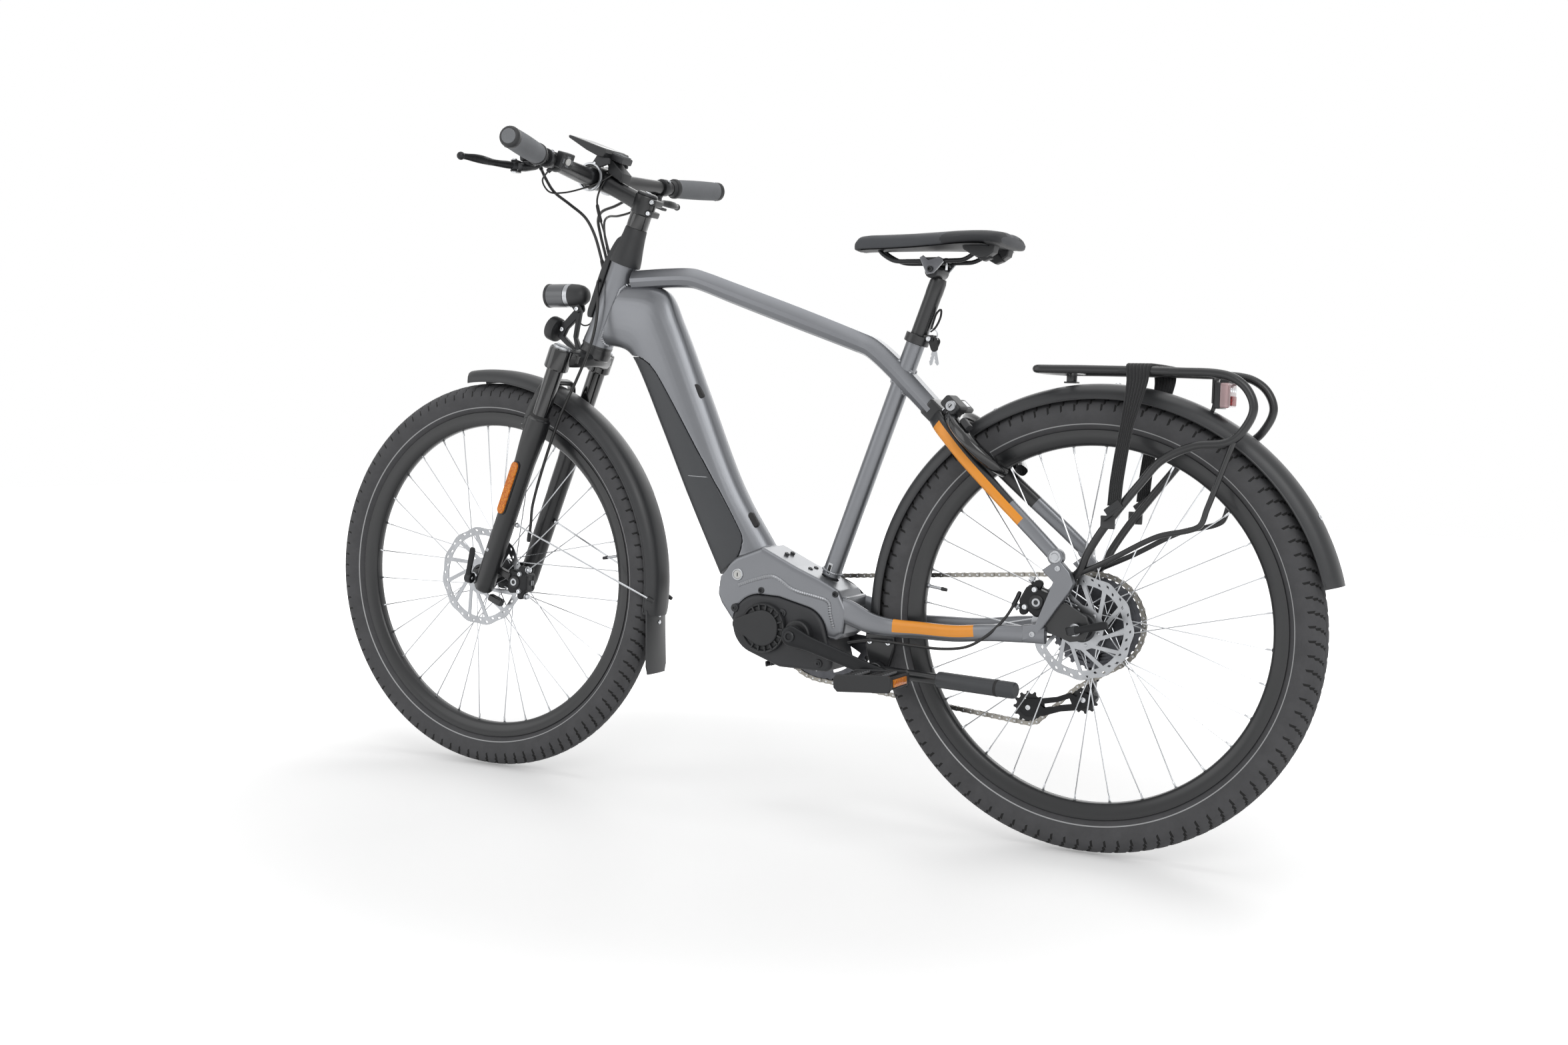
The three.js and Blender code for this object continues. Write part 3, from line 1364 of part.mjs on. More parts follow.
const tiltBarrel = () => onSeatAxis(seatpostTopZ).add(vec(clampRadius * 0.45, 0, clampRadius * 0.8));
const saddleTailX = tiltBarrel().x - saddleBehind;
const saddleNoseX = saddleTailX + saddleLength;

function seatpost() {
  const post = seatTubeRod(seatpostFootZ, seatpostTopZ, seatpostRadius);
  const barrel = tiltBarrel();
  return join(post, pin(barrel.x, barrel.z, -clampHalfWidth, clampHalfWidth, clampRadius));
}

// The saddle's clamp turns on the seatpost's barrel.
function saddleClamp() {
  const barrel = tiltBarrel();
  const top = railZ + railRadius * 1.3;
  const bottom = barrel.z + clampRadius * 0.2;
  const body = block(clampLength, clampHalfWidth * 2, top - bottom, barrel.x, 0, (top + bottom) / 2);
  const room = (clampRadius + gap) / Math.cos(Math.PI / roundSegments);
  return cut(body, pin(barrel.x, barrel.z, -clampHalfWidth - overrun, clampHalfWidth + overrun, room));
}

const saddleShares = [
  [0, 0.16, 0.95], [0.06, 0.24, 0.97], [0.2, 0.3, 0.97], [0.4, 0.42, 0.975], [0.56, 0.62, 0.99],
  [0.72, 0.88, 1], [0.86, 1, 0.995], [0.96, 0.94, 0.985], [1, 0.8, 0.97],
];
const saddleSectionShares = [
  [1, 0], [0.93, 0.42], [0.7, 0.78], [0.25, 1], [-0.7, 0.97], [-1, 0.8],
  [-1, -0.8], [-0.7, -0.97], [0.25, -1], [0.7, -0.78], [0.93, -0.42],
];

function saddleShape() {
  const length = saddleLength;
  const path = saddleShares.map(([a, , top]) => vec(saddleNoseX - a * length, 0,
    saddleTopZ - saddleDepth / 2 - (1 - top) * saddleWidth));
  const section = (i) => saddleSectionShares.map(([n, b]) => [-n * saddleDepth / 2 * (i === 0 ? 0.6 : 1),
    b * saddleShares[i][1] * saddleWidth / 2]);
  const rails = [1, -1].map((side) => pipe([
    vec(saddleNoseX - length * 0.14, side * railSpread * 0.2, saddleTopZ - saddleDepth * 0.8),
    vec(saddleNoseX - length * 0.25, side * railSpread * 0.4, railZ), vec(saddleNoseX - length * 0.36,
      side * railSpread / 2, railZ),
    vec(saddleTailX + length * 0.4, side * railSpread / 2, railZ), vec(saddleTailX + length * 0.3,
      side * railSpread / 2, railZ),
    vec(saddleTailX + length * 0.14, side * railSpread * 0.6, saddleTopZ - saddleDepth * 0.8),
  ], railRadius, smallSegments, 14));
  return join(swept(path, section), saddleClamp(), ...rails);
}

frame.add(piece('seatpost', seatpost(), 'black'), piece('saddle', saddleShape(), 'saddle'));

// Kickstand: folded back along the chain stay

function standBracket() {
  const top = crankHeight + chainStayLength * 0.06 - stayHeight / 2 - gap;
  const height = top - standPivotZ + standRadius;
  const inner = mudguardHalfWidth + gap * 5;
  const outer = standOffset - standKnuckleHalf - gap;
  return block(standBracketLength, outer - inner, height, standPivotX, (inner + outer) / 2, top - height / 2);
}

function standLeg() {
  const turn = radians(standAngle);
  const at = (distance) => vec(
    standPivotX + distance * Math.cos(turn), standOffset + (standFlare * distance) / standLength,
    standPivotZ + distance * Math.sin(turn),
  );
  const knuckle = pin(standPivotX, standPivotZ, standOffset - standKnuckleHalf,
    standOffset + standKnuckleHalf, standRadius * 1.5);
  const leg = rod(at(0), at(standLength - standSleeveLength / 2), standRadius);
  const sleeve = rod(at(standLength - standSleeveLength), at(standLength), standSleeveRadius);
  return join(knuckle, leg, sleeve);
}

frame.add(piece('kickstand_bracket', standBracket(), 'black'),
  piece('kickstand_leg', standLeg(), 'blackPlastic'));

// Quick releases

// The lever lies along +X; its cam barrel runs along Z and it folds out towards +Y.
function releaseLever() {
  const cam = rod(vec(0, releaseHubRadius, -camHalf), vec(0, releaseHubRadius, camHalf), releaseHubRadius);
  const arm = block(releaseLength, releaseThickness, camHalf * 2, releaseLength / 2, releaseHubRadius * 1.4,
    0);
  return join(cam, arm);
}

const rearReleaseAngle = 166;
const frontReleaseAngle = 79;
const rearRelease = releaseLever().rotateY(-radians(rearReleaseAngle)).translate(0, rearAxleEnd + gap,
  tyreRadius);
frame.add(piece('rear_quick_release', rearRelease, 'black'));

// Fork crown with steerer and stanchions

const crownShares = [[1, 1, -38], [0.2, 0.5, -27], [0, 0, -23], [0.2, -0.5, -27], [1, -1, -38]];

function forkCrown() {
  const path = crownShares.map(([ahead, out, z]) => vec(ahead * legAhead, out * legSpread,
    z * crownHalfHeight / 14));
  const bridge = swept(path, () => sectionOf(boxShares, crownHalfHeight, crownHalfDepth), axisX);
  const race = rod(vec(0, 0, -crownHalfHeight * 1.5), vec(0, 0, -gap), headTubeRadius);
  const steerer = rod(vec(0, 0, -crownHalfHeight), vec(0, 0, stemClampTop - gap), steererRadius);
  const legs = [1, -1].flatMap((side) => [
    rod(vec(legAhead, side * legSpread, socketBottom), vec(legAhead, side * legSpread, socketTop),
      socketRadius, roundSegments + 4),
    rod(vec(legAhead, side * legSpread, stanchionBottom), vec(legAhead, side * legSpread, socketTop),
      stanchionRadius, roundSegments + 4),
  ]);
  return join(bridge, race, steerer, ...legs);
}

steering.add(piece('fork_crown', forkCrown(), 'black'));

// Fork lowers with arch, dropouts and caliper posts

const frontAxleHalf = frontHubHalfWidth + dropoutPlate;
const releaseSeat = legSpread + gap;

function forkLeg(side) {
  const y = side * legSpread;
  const leg = rod(vec(legAhead, y, legBottom), vec(legAhead, y, legTop), legRadius, roundSegments + 4);
  const lug = wrapped([[forkRake, -forkDrop, axleRadius * 2.2],
    [legAhead, -forkDrop + legRadius, legRadius * 0.7]], roundSegments);
  const inner = frontHubHalfWidth + gap;
  const tip = side > 0 ? plate(lug, inner, inner + dropoutPlate) : plate(lug, -inner - dropoutPlate, -inner);
  const gusset = block(archAhead - legAhead, legRadius, legRadius, (archAhead + legAhead) / 2,
    side * (legSpread - legRadius / 4), legTop - legRadius);
  return [leg, tip, gusset];
}

const archShares = [[0.92, 1], [0.86, 0.644], [0.7, 0.184], [0.5, 0.017], [0, 0]];

function forkArch() {
  const half = archShares.map(([out, down]) => vec(archAhead, out * legSpread, archTop - down * archHeight));
  const path = [...half, ...half.slice(0, -1).map(flipped).reverse()];
  return swept(path, () => sectionOf(boxShares, archHalf, archHalf), axisX);
}

function forkLowers() {
  const posts = [0.3, -0.62].map((share) => block(legRadius * 1.6, hookWidth * 0.9, legRadius * 0.55,
    legAhead - legRadius * 1.35, legSpread - legRadius * 0.55, -forkDrop + caliperLength * (0.55 + share)));
  const bores = [1, -1].map((side) => rod(vec(legAhead, side * legSpread, legBoreBottom),
    vec(legAhead, side * legSpread, legTop + overrun), stanchionRadius + gap, roundSegments + 4));
  const hubTool = rod(vec(forkRake, -frontHubHalfWidth - gap, -forkDrop),
    vec(forkRake, frontHubHalfWidth + gap, -forkDrop), hubEndRadius * 2, roundSegments);
  const caliperTool = frontCaliper(gap);
  const axle = pin(forkRake, -forkDrop, -frontAxleHalf - axleOverhang, releaseSeat - gap, axleRadius,
    smallSegments * 2);
  const whole = join(...forkLeg(1), ...forkLeg(-1), forkArch(), ...posts);
  return join(cut(whole, ...bores, hubTool, caliperTool), axle);
}

const frontCaliperAngle = 162;
const frontCaliperReach = 90;

function frontCaliper(grow) {
  const shape = caliperShape(frontCaliperAngle, frontCaliperReach, frontRotorOffset,
    caliperOuter).translate(forkRake, 0, -forkDrop);
  if (grow === 0) return shape;
  const reach = radians(180 - frontCaliperAngle);
  const size = caliperInner + caliperOuter + 2 * grow;
  return block(caliperDepth + 2 * grow, size, caliperLength + 2 * grow, 0, 0, 0)
    .rotateY(reach)
    .translate(forkRake - frontCaliperReach * Math.cos(reach),
      frontRotorOffset + (caliperOuter - caliperInner) / 2, -forkDrop + frontCaliperReach * Math.sin(reach));
}

// The front mudguard is set out from the ground, so it is turned back by the steering angle.
function frontMudguard() {
  const guard = mudguard(frontMudguardStart, frontMudguardEnd);
  const end = radians(frontMudguardEnd);
  const top = [mudguardRadius * Math.cos(end), mudguardRadius * Math.sin(end)];
  const flap = block(flapThickness, mudguardHalfWidth * 1.8, flapLength, top[0] + flapThickness + flapInset,
    0, top[1] - flapLength / 2 + flapOverlap);
  return join(join(guard, flap).rotateY(-steerTurn).translate(forkRake + frontMudguardAhead, 0,
    frontMudguardUp - forkDrop), mudguardStay(1), mudguardStay(-1));
}

// A wire stay from the guard's edge to the back of a fork leg.
function mudguardStay(side) {
  const turn = radians(mudguardStayAngle) + steerTurn;
  const reach = mudguardRadius - mudguardDrop * 0.8;
  const edge = side * (mudguardHalfWidth - mudguardWall / 2);
  const high = vec(forkRake + reach * Math.cos(turn), edge, -forkDrop + reach * Math.sin(turn));
  const foot = vec(legAhead - legRadius - mudguardStayRadius - gap, side * legSpread * 0.92,
    mudguardStayHeight - forkDrop);
  return rod(foot, high, mudguardStayRadius, smallSegments);
}

steering.add(
  piece('fork_lowers', forkLowers(), 'black'),
  piece('front_caliper', frontCaliper(0), 'black'),
  piece('front_mudguard', frontMudguard(), 'blackPlastic'),
);

const frontRelease = releaseLever().rotateY(-radians(frontReleaseAngle)).translate(forkRake, releaseSeat,
  -forkDrop);
steering.add(piece('front_quick_release', frontRelease, 'black'));

// Stem and handlebar

function stemArm(grow) {
  const middle = (stemClampBottom + stemClampTop) / 2;
  const half = stemBodyHalf + grow;
  return swept([vec(0, 0, middle), vec(stemReach, 0, stemRise)], () => sectionOf(boxShares, half, half));
}

function stemShape() {
  const clamp = rod(vec(0, 0, stemClampBottom), vec(0, 0, stemClampTop + overrun), stemClampRadius,
    roundSegments + 4);
  const spacer = rod(vec(0, 0, headTubeLength + coverLength + gap * 2), vec(0, 0, stemClampBottom),
    coverTopRadius, roundSegments + 4);
  const barClamp = pin(stemReach, stemRise, -barClampWidth / 2, barClampWidth / 2, barClampRadius,
    roundSegments + 4);
  const bore = rod(vec(0, 0, 0), vec(0, 0, stemClampTop), steererRadius + gap, roundSegments + 4);
  return cut(join(clamp, spacer, stemArm(0), barClamp), bore, barShape(gap));
}

const barShares = [[1, 1, 1], [0.66, 0.43, 0.5], [0.27, 0.05, 0.11], [0.12, 0, 0]];
const barRadiusShares = [0, 0, 0.75, 1];

function barPath() {
  const left = barShares.map(([out, back, up]) => vec(stemReach - back * barSweep, out * barHalfWidth,
    stemRise + up * barRise));
  return [...left, ...[...left].reverse().map(flipped)];
}

function barShape(grow) {
  const path = barPath();
  const shares = [...barRadiusShares, ...[...barRadiusShares].reverse()];
  const sides = roundShares(roundSegments);
  return swept(path, (i) => {
    const radius = barEndRadius + shares[i] * (barCentreRadius - barEndRadius) + grow;
    return sectionOf(sides, radius, radius);
  }, axisZ);
}

function gripShape() {
  const [end, middle] = barPath();
  const outward = end.clone().sub(middle).normalize();
  const from = end.clone().addScaledVector(outward, gripEnd + gap);
  const to = end.clone().addScaledVector(outward, gripEnd - gripLength);
  const outer = rod(from, to, gripRadius);
  const collar = rod(to, to.clone().addScaledVector(outward, gripRadius / 2), gripRadius * 1.15);
  return cut(join(outer, collar), barShape(gap));
}

const grip = gripShape();
steering.add(
  piece('stem', stemShape(), 'black'),
  piece('handlebar', barShape(0), 'black'),
  piece('grip_left', grip, 'grip'),
  piece('grip_right', mirrored(grip), 'grip'),
);

// Where the bar's axis passes a distance out from the middle.
function onBar(y) {
  const path = barPath();
  const next = path.findIndex((point) => point.y < y);
  const [from, to] = [path[next - 1], path[next]];
  return from.clone().lerp(to, (from.y - y) / (from.y - to.y));
}

function barRing(y, width, radius) {
  const [from, to] = [onBar(y - width / 2), onBar(y + width / 2)];
  return rod(from, to, radius, roundSegments);
}

const leverAxis = vec(0.3, 0, 0.95).normalize();
const leverAhead = axisY.clone().cross(leverAxis);

const leverPivot = vec(leverPivotX, leverPivotY, leverPivotZ);
const leverAxisPoint = (share) => leverPivot.clone().addScaledVector(leverAxis, share * leverHalfHeight);

// A fork with its web inboard of the pivot; the lever's root turns between its ears.
function leverFork() {
  const web = [leverAxis.x * leverForkLength, leverAxis.z * leverForkLength, leverHalfHeight];
  const half = leverHalfHeight * 1.6;
  const solid = plate(wrapped([[0, 0, leverHalfHeight], web], smallSegments), -half, half);
  const slot = pin(0, 0, -leverHalfHeight - gap, leverHalfHeight + gap, leverHalfHeight * 1.3,
    smallSegments * 2);
  return aimed(cut(solid, slot), leverPivot, leverPivot.clone().add(leverAxis));
}

// The inner end of the brake cylinder, where its hose leaves.
function perchTail() {
  const place = onBar(perchOffset);
  return vec(place.x + perchRadius * 1.6, perchOffset - perchWidth * 1.5, place.z - perchRadius);
}

const perchNose = () => leverPivot.clone().addScaledVector(axisY, -leverForkLength);

function perchShape(side) {
  const ring = barRing(perchOffset, perchWidth, perchRadius);
  const tail = perchTail();
  const neck = rod(onBar(perchOffset), vec(tail.x, perchOffset, tail.z), perchBodyRadius, smallSegments);
  const cylinder = rod(tail, perchNose(), perchBodyRadius, smallSegments);
  const parts = [ring, neck, cylinder, leverFork()];
  if (side < 0) parts.push(...shifterBody());
  const whole = cut(join(...parts), barShape(gap));
  return side > 0 ? whole : mirrored(whole);
}

const leverShares = [[0, 0], [0.12, 0.06], [0.3, 0.14], [0.6, 0.12], [0.88, 0.18], [1, 0.24]];

function leverShape() {
  const path = leverShares.map(([out, ahead]) => {
    const point = leverPivot.clone().addScaledVector(axisY, out * leverLength);
    return point.addScaledVector(leverAhead, ahead * leverLength);
  });
  const blade = swept(path, () => sectionOf(boxShares, leverHalfDepth, leverHalfHeight), leverAxis);
  return join(blade, rod(leverAxisPoint(-1), leverAxisPoint(1), leverHalfHeight * 1.1, smallSegments));
}

const lever = leverShape();
steering.add(
  piece('brake_perch_left', perchShape(1), 'black'),
  piece('brake_lever_left', lever, 'black'),
  piece('brake_perch_right', perchShape(-1), 'black'),
  piece('brake_lever_right', mirrored(lever), 'black'),
);

// Shifter under the right side of the bar, drawn on the left and mirrored with its perch.
function shifterBody() {
  const place = onBar(perchOffset - perchWidth);
  const z = place.z - barEndRadius - shifterRadius;
  const neck = rod(vec(place.x, perchOffset, place.z - barEndRadius), vec(place.x, place.y, z),
    perchBodyRadius, smallSegments);
  const body = rod(vec(place.x, place.y, z - shifterThickness / 2),
    vec(place.x, place.y, z + shifterThickness / 2), shifterRadius);
  return [neck, body];
}

function triggerShape() {
  const place = onBar(perchOffset - perchWidth);
  const top = place.z - barEndRadius - shifterRadius - shifterThickness / 2 - gap;
  const hub = rod(vec(place.x, place.y, top - leverHalfDepth), vec(place.x, place.y, top),
    shifterRadius * 0.8);
  const arm = block(leverHalfHeight * 2, triggerLength, leverHalfDepth, place.x - shifterRadius * 0.4,
    place.y + triggerLength / 2, top - leverHalfDepth / 2);
  return mirrored(join(hub, arm));
}

steering.add(piece('shift_trigger', triggerShape(), 'blackPlastic'));

function remoteShape() {
  const place = onBar(remoteOffset);
  const ring = barRing(remoteOffset, remoteWidth * 0.5, perchRadius);
  const body = block(remoteDepth, remoteWidth, remoteHeight, place.x - perchRadius, remoteOffset,
    place.z + perchRadius * 0.5);
  const pocket = rod(remoteFace(-overrun), remoteFace(buttonTravel + 2 * gap), buttonRadius + gap);
  return cut(join(ring, body), barShape(gap), pocket);
}

// A point on the button's line, at a depth inside the remote's rear face.
function remoteFace(depth) {
  const place = onBar(remoteOffset);
  return vec(place.x - perchRadius - remoteDepth / 2 + depth, remoteOffset, place.z + perchRadius * 0.5);
}

const remoteButton = () => rod(remoteFace(gap), remoteFace(-buttonHeight), buttonRadius);

steering.add(piece('remote', remoteShape(), 'blackPlastic'),
  piece('remote_button', remoteButton(), 'blackPlastic'));

// Display on its stalk over the stem

function displayShape() {
  const panel = block(displayLength, displayWidth, displayThickness, displayX, 0, displayZ);
  const stalkX = stemReach * 0.62;
  const stalk = block(displayLength * 0.3, displayWidth * 0.35, displayZ - stemRise, stalkX, 0,
    (displayZ + stemRise) / 2);
  const barTool = pin(stemReach, stemRise, -displayWidth, displayWidth, barClampRadius + gap,
    roundSegments + 4);
  return cut(join(panel, stalk), barTool, stemArm(gap));
}

steering.add(piece('display', displayShape(), 'blackPlastic'));

// Lamp bracket with the horn, and the tilting lamp

function lampBracket() {
  const armOutline = [
    [crownHalfDepth + gap * 4, -crownHalfHeight * 2.5], [crownHalfDepth * 1.6,
      -crownHalfHeight * 2.3], [hornX - hornThickness / 2, hornZ - hornRadius * 0.5],
    [hornX - hornThickness / 2, hornZ + hornRadius * 0.6], [lampHingeX + lampHingeRadius,
      lampHingeZ], [lampHingeX, lampHingeZ + lampHingeRadius],
    [lampHingeX - lampHingeRadius, lampHingeZ], [lampHingeX - lampHingeRadius * 2,
      hornZ], [crownHalfDepth + gap * 4, -crownHalfHeight * 1.75],
  ];
  const arm = plate(armOutline, -bracketWidth / 2, bracketWidth / 2);
  const hingeTool = pin(lampHingeX, lampHingeZ, -lampForkWidth, lampForkWidth, lampPinRadius + gap,
    smallSegments);
  const horn = rod(vec(hornX - hornThickness / 2, 0, hornZ), vec(hornX + hornThickness / 2, 0, hornZ),
    hornRadius, roundSegments + 4);
  return cut(join(arm, horn), hingeTool);
}

function lampShape() {
  const beamWay = vec(Math.cos(steerTurn), 0, Math.sin(steerTurn));
  const centre = vec(lampX, 0, lampZ);
  const at = (share) => centre.clone().addScaledVector(beamWay, share * lampLength);
  const barrel = rod(at(-0.15), at(0.5), lampRadius, roundSegments + 4);
  const dome = taper(at(-0.15), at(-0.5), lampRadius, lampRadius * 0.55, roundSegments + 4);
  const ears = [1, -1].map((side) => {
    const inner = bracketWidth / 2 + gap;
    const outline = wrapped([[lampHingeX, lampHingeZ, lampHingeRadius],
      [lampHingeX + lampHingeRadius, lampHingeZ + lampHingeRadius * 2, lampHingeRadius]], smallSegments);
    return side > 0 ? plate(outline, inner, lampForkWidth / 2) : plate(outline, -lampForkWidth / 2, -inner);
  });
  const hinge = pin(lampHingeX, lampHingeZ, -lampForkWidth / 2, lampForkWidth / 2, lampPinRadius,
    smallSegments);
  const keep = pin(lampHingeX, lampHingeZ, -bracketWidth / 2 - gap, bracketWidth / 2 + gap,
    lampHingeRadius * 1.6);
  return join(cut(join(barrel, dome, ...ears), keep), hinge);
}

steering.add(piece('lamp_bracket_horn', lampBracket(), 'blackPlastic'),
  piece('headlamp', lampShape(), 'black'));

// Hoses between the bar and the cable cover, and from the head tube to the front caliper

// Each route is given in shares: ahead, aside and above the bottom of the head tube.
const barHoseShares = [
  [1.2, 0.69, 2.48], [1.2, 0.516, 2.31], [1.13, 0.272, 2.17],
  [0.95, 0.109, 2.03], [0.73, 0.054, 1.81], [0.45, 0.0435, 1.47],
];
const frontHoseShares = [
  [0.29, 0.16, 1.12], [0.28, 0.24, 1.1], [0.2, 0.32, 1], [0, 0.34, 0.79], [-0.12, 0.42, 0.4], [-0.22, 0.52,
    0], [-0.16, 0.54, -0.6],
  [-0.06, 0.53, -1.3], [-0.06, 0.53, -2.2], [-0.1, 0.52, -3], [-0.2, 0.5, -3.4], [-0.25, 0.5, -3.66],
];

const hosePoints = (shares, aside) => shares.map(([x, y, z]) => vec(x * hoseSpan, y * aside, z * hoseSpan));
const cylinderLine = perchNose().sub(perchTail()).normalize();
const barHoseStarts = [-gap, -hoseRadius * 4].map((reach) => perchTail().addScaledVector(cylinderLine,
  reach));
const barHose = pipe([...barHoseStarts, ...hosePoints(barHoseShares, perchOffset)], hoseRadius, smallSegments,
  18);

steering.add(
  piece('hose_left', barHose, 'rubber'),
  piece('hose_right', mirrored(barHose), 'rubber'),
  piece('hose_front_brake', pipe(hosePoints(frontHoseShares, hoseSpan), hoseRadius, smallSegments, 28),
    'rubber'),
);

steering.add(frontWheel);
bicycle.add(frame, headFrame, steering, rearWheel, lock);
bicycle.updateMatrixWorld(true);
const bounds = new THREE.Box3().setFromObject(bicycle, true);
bicycle.position.set(-(bounds.min.x + bounds.max.x) / 2, 0, -bounds.min.z);

const model = new THREE.Group();
model.add(bicycle);
model.updateMatrixWorld(true);

export default model;
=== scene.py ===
# Looks of the electric trekking bicycle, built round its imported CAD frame.
import json
import math

